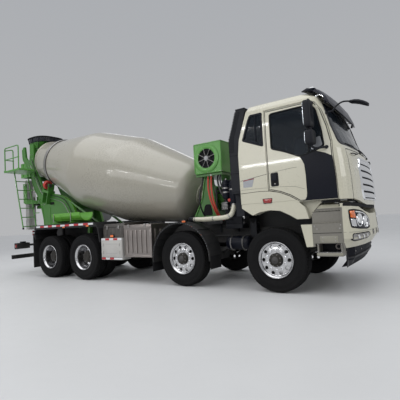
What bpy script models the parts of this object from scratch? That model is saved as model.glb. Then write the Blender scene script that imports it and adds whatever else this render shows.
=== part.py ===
"""Eight-by-four concrete mixer truck.

Metres, +X ahead, +Y to the left, +Z up, ground at z = 0.  Stations along the
truck are measured from the first axle and AXLE1_X moves them all, so that the
origin is under the middle of the whole length.
"""
import math

import bmesh
import bpy
from mathutils import Matrix, Vector

# ---------------------------------------------------------------- dimensions
AXLE1_X = 3.773                    # first axle ahead of the origin
AXLES = (0.0, -1.93, -4.86, -6.21)  # stations of the four axles
TYRE_R = 0.542
TYRE_W = 0.30
FRONT_TRACK = 1.02                 # tyre centre from the middle plane
REAR_TRACK = 0.92                  # middle of a twin pair from the middle plane
KINGPIN_Y = 0.80
RAIL_Y = 0.43                      # outer face of a chassis rail
RAIL_Z = (0.79, 1.07)
FRAME_X = (-8.05, 1.02)
GAP = 0.0006

DRUM_TILT = math.radians(15.5)
DRUM_O = (-7.08, 0.0, 3.245)       # middle of the track ring
RING_R = 0.745
ROLLER_R = 0.13
ROLLER_ANGLE = math.radians(38)    # of each roller from straight below the ring

CAB_FLOOR_Z = 1.50
CAB_TILT = (1.26, 0.90)            # station and height of the cab's tilt axis
SWIVEL = (-8.60, 0.0)              # vertical axis of the chute
CHUTE_TOP_Z = 2.86

# ------------------------------------------------------------------- scene
for _o in list(bpy.data.objects):
    bpy.data.objects.remove(_o, do_unlink=True)
PARTS = bpy.data.collections.new("concrete_mixer_truck")
TOOLS = bpy.data.collections.new("cutters")
for _c in (PARTS, TOOLS):
    bpy.context.scene.collection.children.link(_c)

COLOURS = {  # name: (base colour, metallic, roughness)
    "rubber": ((0.018, 0.018, 0.019), 0.0, 0.85),
    "aluminium": ((0.74, 0.75, 0.77), 1.0, 0.25),
    "black": ((0.020, 0.021, 0.023), 0.0, 0.55),
    "steel": ((0.10, 0.10, 0.11), 0.6, 0.5),
    "greige": ((0.52, 0.50, 0.41), 0.0, 0.30),
    "drum": ((0.34, 0.32, 0.29), 0.0, 0.32),
    "green": ((0.06, 0.22, 0.04), 0.0, 0.40),
    "lime": ((0.13, 0.42, 0.06), 0.0, 0.40),
    "grey": ((0.32, 0.32, 0.33), 0.2, 0.45),
    "stainless": ((0.62, 0.62, 0.62), 1.0, 0.30),
    "red": ((0.42, 0.03, 0.03), 0.0, 0.45),
    "glass": ((0.03, 0.04, 0.045), 0.0, 0.08),
    "chrome": ((0.80, 0.80, 0.82), 1.0, 0.12),
    "fabric": ((0.05, 0.05, 0.055), 0.0, 0.90),
    "white": ((0.70, 0.70, 0.70), 0.0, 0.40),
}
_mats = {}


def material(key, node):
    name = node + "_" + key
    if name not in _mats:
        m = bpy.data.materials.new(name)
        m.use_nodes = True
        b = m.node_tree.nodes["Principled BSDF"]
        rgb, metal, rough = COLOURS[key]
        b.inputs["Base Color"].default_value = (*rgb, 1.0)
        b.inputs["Metallic"].default_value = metal
        b.inputs["Roughness"].default_value = rough
        _mats[name] = m
    return _mats[name]


def link(obj, coll=None):
    (coll or TOOLS).objects.link(obj)
    return obj


def mesh_object(name, bm, matrix=None):
    if matrix is not None:
        bmesh.ops.transform(bm, matrix=matrix, verts=bm.verts)
    bmesh.ops.recalc_face_normals(bm, faces=bm.faces)
    me = bpy.data.meshes.new(name)
    bm.to_mesh(me)
    bm.free()
    return link(bpy.data.objects.new(name, me))


def evaluated(obj, name=None):
    """Return a plain mesh object of obj with its modifiers and place applied."""
    bpy.context.view_layer.update()
    dg = bpy.context.evaluated_depsgraph_get()
    me = bpy.data.meshes.new_from_object(obj.evaluated_get(dg))
    me.transform(obj.matrix_world)
    out = link(bpy.data.objects.new(name or obj.name, me))
    data = obj.data
    bpy.data.objects.remove(obj, do_unlink=True)
    if isinstance(data, bpy.types.Curve):
        bm = bmesh.new()
        bm.from_mesh(out.data)
        bmesh.ops.remove_doubles(bm, verts=bm.verts, dist=1e-5)
        bmesh.ops.recalc_face_normals(bm, faces=bm.faces)
        bm.to_mesh(out.data)
        bm.free()
        bpy.data.curves.remove(data)
    return out


def box(x, y, z, rot=None, about=None):
    """A box between the pairs x, y and z, turned by rot about a point."""
    bm = bmesh.new()
    bmesh.ops.create_cube(bm, size=1.0)
    c = Vector(((x[0] + x[1]) / 2, (y[0] + y[1]) / 2, (z[0] + z[1]) / 2))
    s = Matrix.Diagonal((abs(x[1] - x[0]), abs(y[1] - y[0]), abs(z[1] - z[0]), 1.0))
    m = Matrix.Translation(c) @ s
    if rot is not None:
        p = Vector(about if about is not None else c)
        m = Matrix.Translation(p) @ rot.to_4x4() @ Matrix.Translation(-p) @ m
    return mesh_object("box", bm, m)


def rod(a, b, r, r2=None, seg=14):
    """A straight bar or cone from a to b."""
    a, b = Vector(a), Vector(b)
    bm = bmesh.new()
    bmesh.ops.create_cone(bm, cap_ends=True, cap_tris=False, segments=seg,
                          radius1=r, radius2=r if r2 is None else r2, depth=(b - a).length)
    rot = (b - a).to_track_quat("Z", "Y").to_matrix().to_4x4()
    return mesh_object("rod", bm, Matrix.Translation((a + b) / 2) @ rot)


def tube(points, r, res=1, cyclic=False):
    """A bent bar of round section along points, with closed ends."""
    cu = bpy.data.curves.new("tube", "CURVE")
    cu.dimensions = "3D"
    cu.bevel_depth = r
    cu.bevel_resolution = res
    cu.use_fill_caps = True
    sp = cu.splines.new("POLY")
    sp.points.add(len(points) - 1)
    for p, q in zip(sp.points, points):
        p.co = (*q, 1.0)
    sp.use_cyclic_u = cyclic
    return evaluated(link(bpy.data.objects.new("tube", cu)))


def rounded(points, r, n=3):
    """Round the inner corners of an open path with arcs of radius r."""
    pts = [Vector(p) for p in points]
    out = [pts[0]]
    for a, b, c in zip(pts, pts[1:], pts[2:]):
        u, v = (a - b).normalized(), (c - b).normalized()
        d = min(r, (a - b).length * 0.45, (c - b).length * 0.45)
        for i in range(n + 1):
            t = i / n
            out.append((b + u * d) * (1 - t) ** 2 + b * 2 * t * (1 - t) + (b + v * d) * t * t)
    out.append(pts[-1])
    return [tuple(p) for p in out]


def plate(points, axis, lo, hi):
    """A flat outline thickened along axis ("x", "y" or "z") from lo to hi.

    The outline is given in the other two coordinates, in alphabetical order.
    """
    cu = bpy.data.curves.new("plate", "CURVE")
    cu.dimensions = "2D"
    cu.fill_mode = "BOTH"
    cu.extrude = (hi - lo) / 2
    sp = cu.splines.new("POLY")
    sp.points.add(len(points) - 1)
    for p, q in zip(sp.points, points):
        p.co = (q[0], q[1], 0.0, 1.0)
    sp.use_cyclic_u = True
    ob = link(bpy.data.objects.new("plate", cu))
    mid = (lo + hi) / 2
    rows = {"x": ((0, 0, 1, mid), (1, 0, 0, 0), (0, 1, 0, 0), (0, 0, 0, 1)),
            "y": ((1, 0, 0, 0), (0, 0, -1, mid), (0, 1, 0, 0), (0, 0, 0, 1)),
            "z": ((1, 0, 0, 0), (0, 1, 0, 0), (0, 0, 1, mid), (0, 0, 0, 1))}[axis]
    ob.matrix_world = Matrix(rows)
    return evaluated(ob)


def turned(profile, closed=True, steps=24, matrix=None):
    """Turn a profile of (radius, height) about +Z, then place it by matrix."""
    bm = bmesh.new()
    vs = [bm.verts.new((r, 0.0, h)) for r, h in profile]
    for a, b in zip(vs, vs[1:]):
        bm.edges.new((a, b))
    if closed:
        bm.edges.new((vs[-1], vs[0]))
    me = bpy.data.meshes.new("turned")
    bm.to_mesh(me)
    bm.free()
    ob = link(bpy.data.objects.new("turned", me))
    sc = ob.modifiers.new("turn", "SCREW")
    sc.steps = sc.render_steps = steps
    sc.use_merge_vertices = True
    sc.merge_threshold = 0.0001
    if matrix is not None:
        ob.matrix_world = matrix
    out = evaluated(ob)
    bm = bmesh.new()
    bm.from_mesh(out.data)
    bmesh.ops.remove_doubles(bm, verts=bm.verts, dist=1e-5)
    bmesh.ops.recalc_face_normals(bm, faces=bm.faces)
    bm.to_mesh(out.data)
    bm.free()
    return out


def boolean(a, b, op):
    m = a.modifiers.new(op.lower(), "BOOLEAN")
    m.operation = op
    m.object = b
    m.solver = "EXACT"
    out = evaluated(a)
    bpy.data.objects.remove(b, do_unlink=True)
    return out


def join(*items):
    out = items[0]
    for it in items[1:]:
        out = boolean(out, it, "UNION")
    return out


def cut(a, *tools):
    for t in tools:
        a = boolean(a, t, "DIFFERENCE")
    return a


def common(a, b):
    return boolean(a, b, "INTERSECT")


def copy(a):
    return link(bpy.data.objects.new("copy", a.data.copy()))


def mirrored(a):
    """The other side's copy of a piece, reflected in the middle plane."""
    b = copy(a)
    bm = bmesh.new()
    bm.from_mesh(b.data)
    bmesh.ops.transform(bm, matrix=Matrix.Diagonal((1, -1, 1, 1)), verts=bm.verts)
    bmesh.ops.reverse_faces(bm, faces=bm.faces)
    bm.to_mesh(b.data)
    bm.free()
    return b


SHIFT = Matrix.Translation((AXLE1_X, 0, 0))


def node(name, obj, colour, origin=(0.0, 0.0, 0.0)):
    """Name a finished piece; its own origin goes to a station of the truck."""
    bm = bmesh.new()
    bm.from_mesh(obj.data)
    bmesh.ops.dissolve_limit(bm, angle_limit=0.002, verts=bm.verts, edges=bm.edges)
    bmesh.ops.triangulate(bm, faces=bm.faces)
    bmesh.ops.transform(bm, matrix=Matrix.Translation(-Vector(origin)), verts=bm.verts)
    bm.to_mesh(obj.data)
    bm.free()
    TOOLS.objects.unlink(obj)
    PARTS.objects.link(obj)
    obj.name = name
    obj.data.name = name
    obj.matrix_world = SHIFT @ Matrix.Translation(Vector(origin))
    obj.data.materials.clear()
    obj.data.materials.append(material(colour, name))
    obj.data.shade_smooth()
    obj.data.set_sharp_from_angle(angle=math.radians(32))
    return obj


def to_y(side, x, y, z):
    """Matrix that stands a turned piece's +Z along side * Y at (x, y, z)."""
    q = Vector((0, side, 0)).to_track_quat("Z", "X")
    return Matrix.Translation((x, y, z)) @ q.to_matrix().to_4x4()


SIDES = (("right", -1), ("left", 1))

# ------------------------------------------------------------------- wheels
# profiles are (radius, distance outwards from the wheel's middle plane)
TYRE = [(0.288, -0.118), (0.36, -0.142), (0.45, -0.150), (TYRE_R, -0.118),
        (TYRE_R, 0.118), (0.45, 0.150), (0.36, 0.142), (0.288, 0.118)]
FRONT_RIM = [(0.062, 0.098), (0.062, 0.125), (0.150, 0.128), (0.178, 0.098), (0.250, 0.086),
             (0.272, 0.128), (0.299, 0.140), (0.2874, 0.117), (0.2874, -0.117), (0.270, -0.117),
             (0.262, 0.060), (0.178, 0.074)]
REAR_PAIR = [(0.0, 0.165), (0.10, 0.165), (0.12, 0.035), (0.245, 0.035), (0.272, 0.300),
             (0.299, 0.312), (0.45, 0.320), (TYRE_R, 0.285),
             (TYRE_R, 0.052), (0.45, 0.020), (0.33, 0.030), (0.33, -0.030), (0.45, -0.020),
             (TYRE_R, -0.052), (TYRE_R, -0.285), (0.45, -0.320), (0.299, -0.312),
             (0.270, -0.300), (0.245, 0.010), (0.0, 0.010)]

for i, ax in enumerate(AXLES[:2], 1):
    for tag, s in SIDES:
        c = (ax, s * FRONT_TRACK, TYRE_R)
        node(f"front_tyre_{i}_{tag}", turned(TYRE, steps=20, matrix=to_y(s, *c)), "rubber", c)
        node(f"front_rim_{i}_{tag}", turned(FRONT_RIM, steps=20, matrix=to_y(s, *c)), "aluminium", c)
        # knuckle: two lugs round the beam's end, a back plate and the spindle
        k = s * KINGPIN_Y
        lugs = [box((ax - 0.045, ax + 0.045), sorted((k - s * 0.045, k + s * 0.085)), z)
                for z in ((0.640, 0.690), (0.394, 0.444))]
        back = box((ax - 0.05, ax + 0.05), (s * (KINGPIN_Y + 0.065), s * (KINGPIN_Y + 0.10)), (0.394, 0.690))
        spindle = turned([(0.0, 0.0), (0.10, 0.0), (0.10, 0.04), (0.058, 0.05), (0.058, 0.315), (0.0, 0.345)],
                         closed=False, steps=16, matrix=to_y(s, ax, s * (KINGPIN_Y + 0.08), TYRE_R))
        node(f"knuckle_{i}_{tag}", join(back, *lugs, spindle), "steel", (ax, k, TYRE_R))
    # beam axle with the springs that it hangs on
    beam = plate([(-0.845, 0.457), (-0.845, 0.627), (-0.76, 0.627), (-0.62, 0.50), (0.62, 0.50), (0.76, 0.627),
                  (0.845, 0.627), (0.845, 0.457), (0.735, 0.457), (0.60, 0.36), (-0.60, 0.36), (-0.735, 0.457)],
                 "x", ax - 0.045, ax + 0.045)
    parts = [beam]
    for tag, s in SIDES:
        leaf = [(ax - 0.78, 0.715), (ax - 0.42, 0.60), (ax, 0.555), (ax + 0.42, 0.60), (ax + 0.78, 0.715),
                (ax + 0.78, 0.745), (ax + 0.42, 0.655), (ax, 0.625), (ax - 0.42, 0.655), (ax - 0.78, 0.745)]
        y = sorted((s * 0.355, s * 0.435))
        parts.append(plate(leaf, "y", *y))
        parts.append(box((ax - 0.11, ax + 0.11), y, (0.49, 0.57)))
    node(f"front_axle_{i}", join(*parts), "steel", (ax, 0, TYRE_R))

for i, ax in enumerate(AXLES[2:], 1):
    for tag, s in SIDES:
        c = (ax, s * REAR_TRACK, TYRE_R)
        node(f"rear_wheels_{i}_{tag}", turned(REAR_PAIR, closed=False, steps=20, matrix=to_y(s, *c)), "rubber", c)

# two driven axles on a rocking bogie with long springs
bogie = []
mid = (AXLES[2] + AXLES[3]) / 2
for ax in AXLES[2:]:
    bogie.append(rod((ax, -0.90, TYRE_R), (ax, 0.90, TYRE_R), 0.085, seg=14))
    bogie.append(turned([(0.0, -0.20), (0.15, -0.17), (0.215, -0.06), (0.215, 0.06), (0.15, 0.17), (0.0, 0.20)],
                        closed=False, steps=16, matrix=to_y(1, ax, 0, TYRE_R)))
bogie.append(rod((AXLES[3], 0, TYRE_R), (AXLES[2], 0, TYRE_R), 0.055, seg=10))
for tag, s in SIDES:
    y = sorted((s * 0.36, s * 0.45))
    leaf = [(AXLES[3] - 0.10, 0.56), (mid - 0.2, 0.70), (mid + 0.2, 0.70), (AXLES[2] + 0.10, 0.56),
            (AXLES[2] + 0.10, 0.66), (mid + 0.2, 0.785), (mid - 0.2, 0.785), (AXLES[3] - 0.10, 0.66)]
    bogie.append(plate(leaf, "y", *y))
node("rear_bogie", join(*bogie), "steel", (mid, 0, TYRE_R))

# ------------------------------------------------------------------ chassis
rails = []
for tag, s in SIDES:
    web = box(FRAME_X, sorted((s * RAIL_Y, s * (RAIL_Y - 0.012))), RAIL_Z)
    top = box(FRAME_X, sorted((s * RAIL_Y, s * (RAIL_Y - 0.085))), (RAIL_Z[1] - 0.012, RAIL_Z[1]))
    low = box(FRAME_X, sorted((s * RAIL_Y, s * (RAIL_Y - 0.085))), (RAIL_Z[0], RAIL_Z[0] + 0.012))
    rails.append(join(web, top, low))
cross = [box((x - 0.05, x + 0.05), (-RAIL_Y + 0.006, RAIL_Y - 0.006), (RAIL_Z[0] + 0.05, RAIL_Z[1] - 0.05))
         for x in (0.93, -1.30, -2.60, -3.80, -5.53, -7.00, -7.97)]
UNDERRUN = (-8.20, -8.08)
under = box(UNDERRUN, (-1.17, 1.17), (0.45, 0.56))
hang = [box((-8.12, -8.00), sorted((s * 0.34, s * 0.42)), (0.50, 0.90)) for _, s in SIDES]
lampbar = [box((-8.00, -7.93), sorted((s * 0.40, s * 1.16)), (0.80, 0.86)) for _, s in SIDES]
lamps = [box((-8.03, -7.90), sorted((s * 0.78, s * 1.16)), (0.74, 0.90)) for _, s in SIDES]
node("chassis_frame", join(*rails, *cross, under, *hang, *lampbar, *lamps), "black")

node("engine_block", box((-0.95, 0.45), (-0.30, 0.30), (0.86, 1.40)), "steel")

# ------------------------------------------------- bumper with the entry steps
def loft(rings):
    """A closed solid through rings of equally many points."""
    bm = bmesh.new()
    vr = [[bm.verts.new(p) for p in ring] for ring in rings]
    n = len(vr[0])
    for lo, hi in zip(vr, vr[1:]):
        for j in range(n):
            bm.faces.new((lo[j], lo[(j + 1) % n], hi[(j + 1) % n], hi[j]))
    bm.faces.new(list(reversed(vr[0])))
    bm.faces.new(vr[-1])
    return mesh_object("loft", bm)


def arc(c, r, a0, a1, n):
    return [(c[0] + r * math.cos(math.radians(a0 + (a1 - a0) * i / n)),
             c[1] + r * math.sin(math.radians(a0 + (a1 - a0) * i / n))) for i in range(n + 1)]


# half plan of the bumper from the middle outwards: (y, x)
NOSE = ((0.0, 1.375), (0.45, 1.36), (0.85, 1.31), (1.08, 1.25), (1.19, 1.185), (1.245, 1.11))


def nose_ring(z, dx, inset, back):
    half = [(back, NOSE[-1][0] - inset)]
    half += [(max(x + dx, back + 0.004 * i), y - inset) for i, (y, x) in enumerate(reversed(NOSE[1:]), 1)]
    mid = [(NOSE[0][1] + dx, 0.0)]
    return [(x, y, z) for x, y in half + mid] + [(x, -y, z) for x, y in reversed(half)]


bumper = loft([nose_ring(z, dx, i, 1.095) for z, dx, i in
               ((0.735, -0.10, 0.03), (0.80, -0.06, 0.008), (0.88, 0.0, 0.0), (1.0, 0.0, 0.0), (1.22, -0.015, 0.0), (1.405, -0.04, 0.004))])
bumper = cut(bumper, loft([nose_ring(z, -0.12 - dz, 0.09, 0.9) for z, dz in ((0.60, 0.06), (0.84, 0.02), (1.17, 0.02))]))
bumper = cut(bumper, plate([(-0.93, 1.60), (-0.93, 1.375), (-0.75, 1.32), (-0.55, 1.265), (-0.32, 1.23), (0.32, 1.23),
                            (0.55, 1.265), (0.75, 1.32), (0.93, 1.375), (0.93, 1.60)], "x", 1.0, 1.6))
# lip below the bumper, leaning back towards its lower edge
LIP = ((0.97, 1.075), (0.96, 1.11), (0.80, 1.185), (0.40, 1.215))
lip = loft([[(max(x + dx, 1.07 + 0.003 * k), y, z) for k, (y, x) in enumerate(LIP)] + [(1.225 + dx, 0.0, z)]
            + [(max(x + dx, 1.07 + 0.003 * k), -y, z) for k, (y, x) in reversed(list(enumerate(LIP)))]
            for z, dx in ((0.42, -0.125), (0.56, -0.015), (0.78, 0.0))])
arms = [box((0.94, 1.31), sorted((s * 0.442, s * 0.52)), (0.82, 0.975)) for _, s in SIDES]
# stair-shaped blocks between the bumper's ends and the wings, with a hung tread
TILT_R = 0.700                     # the cab's lower edge swings past at this radius
well_block = plate([(-0.99, 0.815), (-1.235, 0.815), (-1.235, 1.115), (-1.205, 1.125), (-1.205, 1.295), (-1.165, 1.305),
                    (-1.12, 1.40), (-0.99, 1.40)], "x", 0.665, 1.12)
well_block = cut(well_block, plate(arc(CAB_TILT, TILT_R - 0.006, 158, 126, 6) + [(0.80, 1.50), (0.50, 1.50)], "y", -1.3, -0.9))
steps = join(well_block,
             plate([(0.49, 1.11), (0.695, 1.108), (0.695, 0.765), (0.56, 0.76)], "y", -1.232, -0.995),
             box((0.717, 0.742), (-1.22, -1.02), (0.65, 0.83)), box((1.062, 1.087), (-1.22, -1.02), (0.65, 0.83)),
             box((0.71, 1.09), (-1.236, -1.00), (0.62, 0.675)))
steps_left = mirrored(steps)
node("bumper", join(bumper, steps, steps_left, lip, *arms), "greige")

# ---------------------------------------------------------------------- cab
# sections of the cab: height, front at the middle, back, half width, bow
CAB = ((1.30, 1.36, -0.52, 1.240, 1.0), (1.80, 1.345, -0.52, 1.245, 1.0), (2.08, 1.315, -0.52, 1.245, 0.95),
       (2.24, 1.27, -0.52, 1.245, 0.80), (2.36, 1.20, -0.52, 1.245, 0.65), (2.62, 1.09, -0.49, 1.245, 0.55),
       (2.92, 0.995, -0.39, 1.235, 0.45), (3.10, 0.93, -0.345, 1.20, 0.50), (3.19, 0.84, -0.31, 1.12, 0.80),
       (3.25, 0.68, -0.24, 0.98, 1.0))
# the front's bow: share of the half width, set-back from the middle
BOW = ((1.0, 0.27), (0.975, 0.20), (0.93, 0.145), (0.86, 0.105), (0.72, 0.065), (0.45, 0.025), (0.18, 0.004))


def cab_solid(inset, z0=None):
    """The cab's closed outer form, drawn in by inset."""
    rings = []
    for z, xf, xr, w, f in CAB:
        if z == CAB[0][0]:
            z = z + inset if z0 is None else z0
        if z == CAB[-1][0]:
            z = z - inset
        w1, f1, r1 = w - inset, xf - inset, xr + inset
        half = [(r1, w1)] + [(f1 - b * f, w1 * k) for k, b in BOW]
        rings.append([(x, y, z) for x, y in half] + [(x, -y, z) for x, y in reversed(half)])
    return loft(rings)


def grown(points, d):
    """Move an outline outwards by about d, corner by corner."""
    n = len(points)
    area = sum(points[i][0] * points[(i + 1) % n][1] - points[(i + 1) % n][0] * points[i][1] for i in range(n))
    sgn = 1.0 if area > 0 else -1.0
    out = []
    for i in range(n):
        p, q, r = (Vector(points[(i + k) % n]) for k in (-1, 0, 1))
        u, v = (q - p).normalized(), (r - q).normalized()
        nu, nv = Vector((u.y, -u.x)) * sgn, Vector((v.y, -v.x)) * sgn
        m = (nu + nv)
        m = m / max(m.length_squared / 2, 0.5)
        out.append(tuple(q + m * d))
    return out


WING_TOP = ((-0.515, 1.68), (-0.16, 1.69), (0.02, 1.68), (0.19, 1.64), (0.35, 1.57), (0.46, 1.50), (0.58, 1.38), (0.63, 1.20))
WING_LOW = ((0.44, 1.20), (0.33, 1.27), (0.17, 1.35), (0.0, 1.37), (-0.18, 1.35), (-0.32, 1.30), (-0.515, 1.43))
DOOR = ((0.0, 1.697), (0.0, 3.03), (0.70, 3.03), (0.83, 3.00), (0.92, 2.87), (1.00, 2.60), (1.05, 2.36), (1.056, 2.13),
        (1.08, 1.82), (1.088, 1.478), (0.515, 1.478), (0.465, 1.512), (0.355, 1.583), (0.195, 1.652), (0.05, 1.69))
DOOR_GLASS = ((0.10, 2.38), (0.10, 2.96), (0.62, 2.97), (0.80, 2.93), (0.84, 2.88), (0.91, 2.54), (0.935, 2.30),
              (0.82, 2.25), (0.56, 2.19), (0.30, 2.31))
QUARTER = ((-0.42, 2.60), (-0.27, 3.02), (-0.05, 3.02), (-0.05, 2.45))
SCREEN = ((-1.12, 2.33), (-1.06, 2.98), (1.06, 2.98), (1.12, 2.33))       # (y, z)
PANEL = ((-1.02, 1.20), (-1.02, 2.23), (1.02, 2.23), (1.02, 1.20))        # (y, z)
SKIRT = ((-1.40, 1.10), (-1.40, 1.47), (-1.00, 1.465), (-0.80, 1.435), (-0.60, 1.395), (-0.42, 1.372),
         (0.42, 1.372), (0.60, 1.395), (0.80, 1.435), (1.00, 1.465), (1.40, 1.47), (1.40, 1.10))
WALL = 0.055
DOOR_GAP = 0.008

wall = cut(cab_solid(0.0), cab_solid(WALL, z0=1.0))
wall = cut(wall, plate(SKIRT, "x", -1.0, 2.0))
shell = cut(copy(wall), plate(grown(PANEL, 0.006), "x", 1.095, 1.60))
shell = cut(shell, plate(SCREEN, "x", 0.75, 1.60))
floor = plate([(-0.47, -1.18), (1.07, -1.18), (1.205, -1.04), (1.16, -0.98), (1.16, 0.98), (1.205, 1.04), (1.07, 1.18),
               (-0.47, 1.18)], "z", CAB_FLOOR_Z, CAB_FLOOR_Z + 0.05)
bulkhead = box((1.04, 1.09), (-1.03, 1.03), (CAB_FLOOR_Z + 0.01, 2.12))
shell = join(shell, floor, bulkhead)
low = box((-0.60, 0.45), (-1.3, 1.3), (1.0, 1.50))
shell = cut(shell, low)
pieces = {}
for tag, s in SIDES:
    y = sorted((s * 1.183, s * 1.30))
    pieces["door_" + tag] = common(copy(wall), plate(DOOR, "y", *y))
    pieces["door_" + tag] = cut(pieces["door_" + tag], plate(DOOR_GLASS, "y", *y))
    shell = cut(shell, plate(grown(DOOR, DOOR_GAP), "y", *sorted((s * 1.150, s * 1.30))))
    shell = cut(shell, plate(grown(DOOR_GLASS, 0.011), "y", *sorted((s * 1.04, s * 1.31))))
    shell = cut(shell, plate(QUARTER, "y", *sorted((s * 1.06, s * 1.32))))
shell = cut(shell, box((-0.60, -0.25), (-0.55, 0.55), (2.55, 2.95)))
panel = common(copy(wall), plate(PANEL, "x", 1.095, 1.60))
glass = cut(cab_solid(0.012), cab_solid(0.020))
pieces["windscreen"] = common(copy(glass), plate(grown(SCREEN, -0.004), "x", 0.75, 1.60))
for tag, s in SIDES:
    y = sorted((s * 1.02, s * 1.30))
    pieces["door_glass_" + tag] = common(copy(glass), plate(grown(DOOR_GLASS, -0.003), "y", *y))
bpy.data.objects.remove(glass)
bpy.data.objects.remove(wall)
# wings round the first wheels with the inner end of the step well
well = arc(CAB_TILT, TILT_R + 0.006, 154, 131, 5) + [(0.80, 1.468), (0.44, 1.468), (0.44, 1.21)]
for tag, s in SIDES:
    shell = join(shell, plate(WING_TOP + WING_LOW, "y", *sorted((s * 1.00, s * 1.238))),
                 plate(well, "y", *sorted((s * 1.02, s * 1.13))))
node("cab_shell", shell, "greige")
HINGE = (1.04, 1.24)
for tag, s in SIDES:
    node("door_" + tag, pieces["door_" + tag], "greige", (HINGE[0], s * HINGE[1], 2.2))
    node("door_glass_" + tag, pieces["door_glass_" + tag], "glass", (HINGE[0], s * HINGE[1], 2.2))
node("windscreen", pieces["windscreen"], "glass")
PANEL_HINGE = (1.275, 2.23)
node("front_panel", panel, "greige", (PANEL_HINGE[0], 0, PANEL_HINGE[1]))

# seats, dashboard with its wheel
for name, y in (("driver_seat", 0.58), ("passenger_seat", -0.58)):
    base = box((-0.06, 0.42), (y - 0.24, y + 0.24), (CAB_FLOOR_Z + 0.0506, 1.90))
    cushion = box((-0.16, 0.46), (y - 0.26, y + 0.26), (1.86, 2.02))
    back = plate([(-0.17, 1.90), (-0.02, 1.90), (-0.14, 2.56), (-0.18, 2.76), (-0.29, 2.76), (-0.30, 2.56)],
                 "y", y - 0.25, y + 0.25)
    node(name, join(base, cushion, back), "fabric")
dash = plate([(0.62, 2.02), (0.66, 2.20), (1.02, 2.20), (1.0394, 2.12), (1.0394, 1.80), (0.90, 1.80)], "y", -1.00, 1.00)
hub = Vector((0.56, 0.58, 2.24))
axis = Vector((-0.62, 0.0, 0.78)).normalized()
u = Vector((0, 1, 0))
v = axis.cross(u)
wheel = tube([tuple(hub + (u * math.cos(t) + v * math.sin(t)) * 0.22) for t in [i * math.tau / 16 for i in range(16)]],
             0.018, cyclic=True)
spoke = rod(hub - u * 0.22, hub + u * 0.22, 0.02, seg=8)
column = rod(hub, hub - axis * 0.34, 0.035, seg=8)
node("dashboard", join(dash, column, spoke, wheel), "black")

# visor: one profile carried across the cab's front, set back and lowered to its ends
VISOR = ((0.71, 3.275), (0.80, 3.31), (0.93, 3.26), (1.03, 3.14), (1.10, 2.98), (1.115, 2.89),
         (1.09, 2.892), (1.072, 2.975), (1.00, 3.11), (0.91, 3.225), (0.80, 3.279), (0.71, 3.262))
VISOR_Y = ((1.13, 0.085, 0.035, 0.35), (1.05, 0.055, 0.03, 0.50), (0.80, 0.035, 0.01, 0.78), (0.40, 0.01, 0.0, 0.95))
VISOR_DROP = (1.03, 3.14)          # below this point the brow shortens towards its ends by the last figure


def brow(back, down, keep):
    """The visor's section at one side station."""
    out = []
    for x, z in VISOR:
        if z < VISOR_DROP[1]:
            x = VISOR_DROP[0] + (x - VISOR_DROP[0]) * keep
            z = VISOR_DROP[1] + (z - VISOR_DROP[1]) * keep
        out.append((x - back, z - down))
    return out


rows = [(-y, b, d, k) for y, b, d, k in VISOR_Y] + [(y, b, d, k) for y, b, d, k in reversed(VISOR_Y)]
node("sun_visor", loft([[(x, y, z) for x, z in brow(b, d, k)] for y, b, d, k in rows]), "black")
# intake duct up the cab's back, with its elbow down to the engine
duct = plate([(-0.705, 1.70), (-0.535, 1.70), (-0.535, 2.40), (-0.51, 2.62), (-0.41, 2.92), (-0.363, 3.12), (-0.365, 3.175),
              (-0.53, 3.175), (-0.62, 2.89), (-0.70, 2.66)], "y", -1.215, -0.90)
duct = join(duct, box((-0.70, -0.54), (-1.10, -0.45), (1.30, 1.74)), box((-0.68, -0.56), (-0.60, -0.442), (0.90, 1.40)))
node("intake_duct", duct, "black")
arm = tube(rounded([(0.976, -1.10, 2.815), (1.07, -1.10, 2.825), (1.13, -1.07, 2.91), (1.22, -1.02, 2.965), (1.34, -0.98, 2.95)], 0.06), 0.013)
head = plate([(1.30, 2.962), (1.36, 2.972), (1.46, 2.94), (1.56, 2.86), (1.55, 2.83), (1.45, 2.835), (1.34, 2.90)], "y", -1.08, -0.86)
node("front_mirror", join(arm, head), "black")
for tag, s in SIDES:
    ys = lambda a, b: sorted((s * a, s * b))
    big = box((0.75, 0.84), ys(1.34, 1.57), (2.57, 2.96))
    small = box((0.74, 0.86), ys(1.32, 1.55), (2.31, 2.52))
    spine = box((0.78, 0.83), ys(1.40, 1.50), (2.45, 2.62))
    top = tube(rounded([(0.78, s * 1.2315, 2.97), (0.79, s * 1.30, 2.99), (0.80, s * 1.45, 2.98), (0.80, s * 1.45, 2.90)], 0.05), 0.018)
    foot = tube(rounded([(0.96, s * 1.2530, 2.25), (0.95, s * 1.30, 2.25), (0.82, s * 1.40, 2.24), (0.81, s * 1.42, 2.34)], 0.05), 0.018)
    node("mirror_" + tag, join(big, spine, small, top, foot), "black", (HINGE[0], s * HINGE[1], 2.2))

# ------------------------------------------------------- along the chassis
# low boxes and tanks: name, x range, y range (right side), z range
RAIL_OUT = RAIL_Y + GAP
node("aftertreatment_box", join(box((-3.46, -2.66), (-1.20, -0.62), (0.56, 1.24)),
                                box((-3.30, -2.75), (-0.64, -RAIL_OUT), (0.82, 1.02))), "stainless")
tank = rod((-3.65, 0.87, 0.86), (-2.75, 0.87, 0.86), 0.31, seg=22)
node("fuel_tank", join(tank, *[box((x - 0.04, x + 0.04), (RAIL_OUT, 0.80), (0.80, 1.00)) for x in (-3.45, -2.95)]), "aluminium")
side = box((-4.17, -3.50), (-1.24, -0.98), (0.50, 0.985))
side = join(side, box((-4.10, -3.60), (-1.02, -RAIL_OUT), (0.82, 0.96)))
node("side_locker", side, "white")

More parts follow.
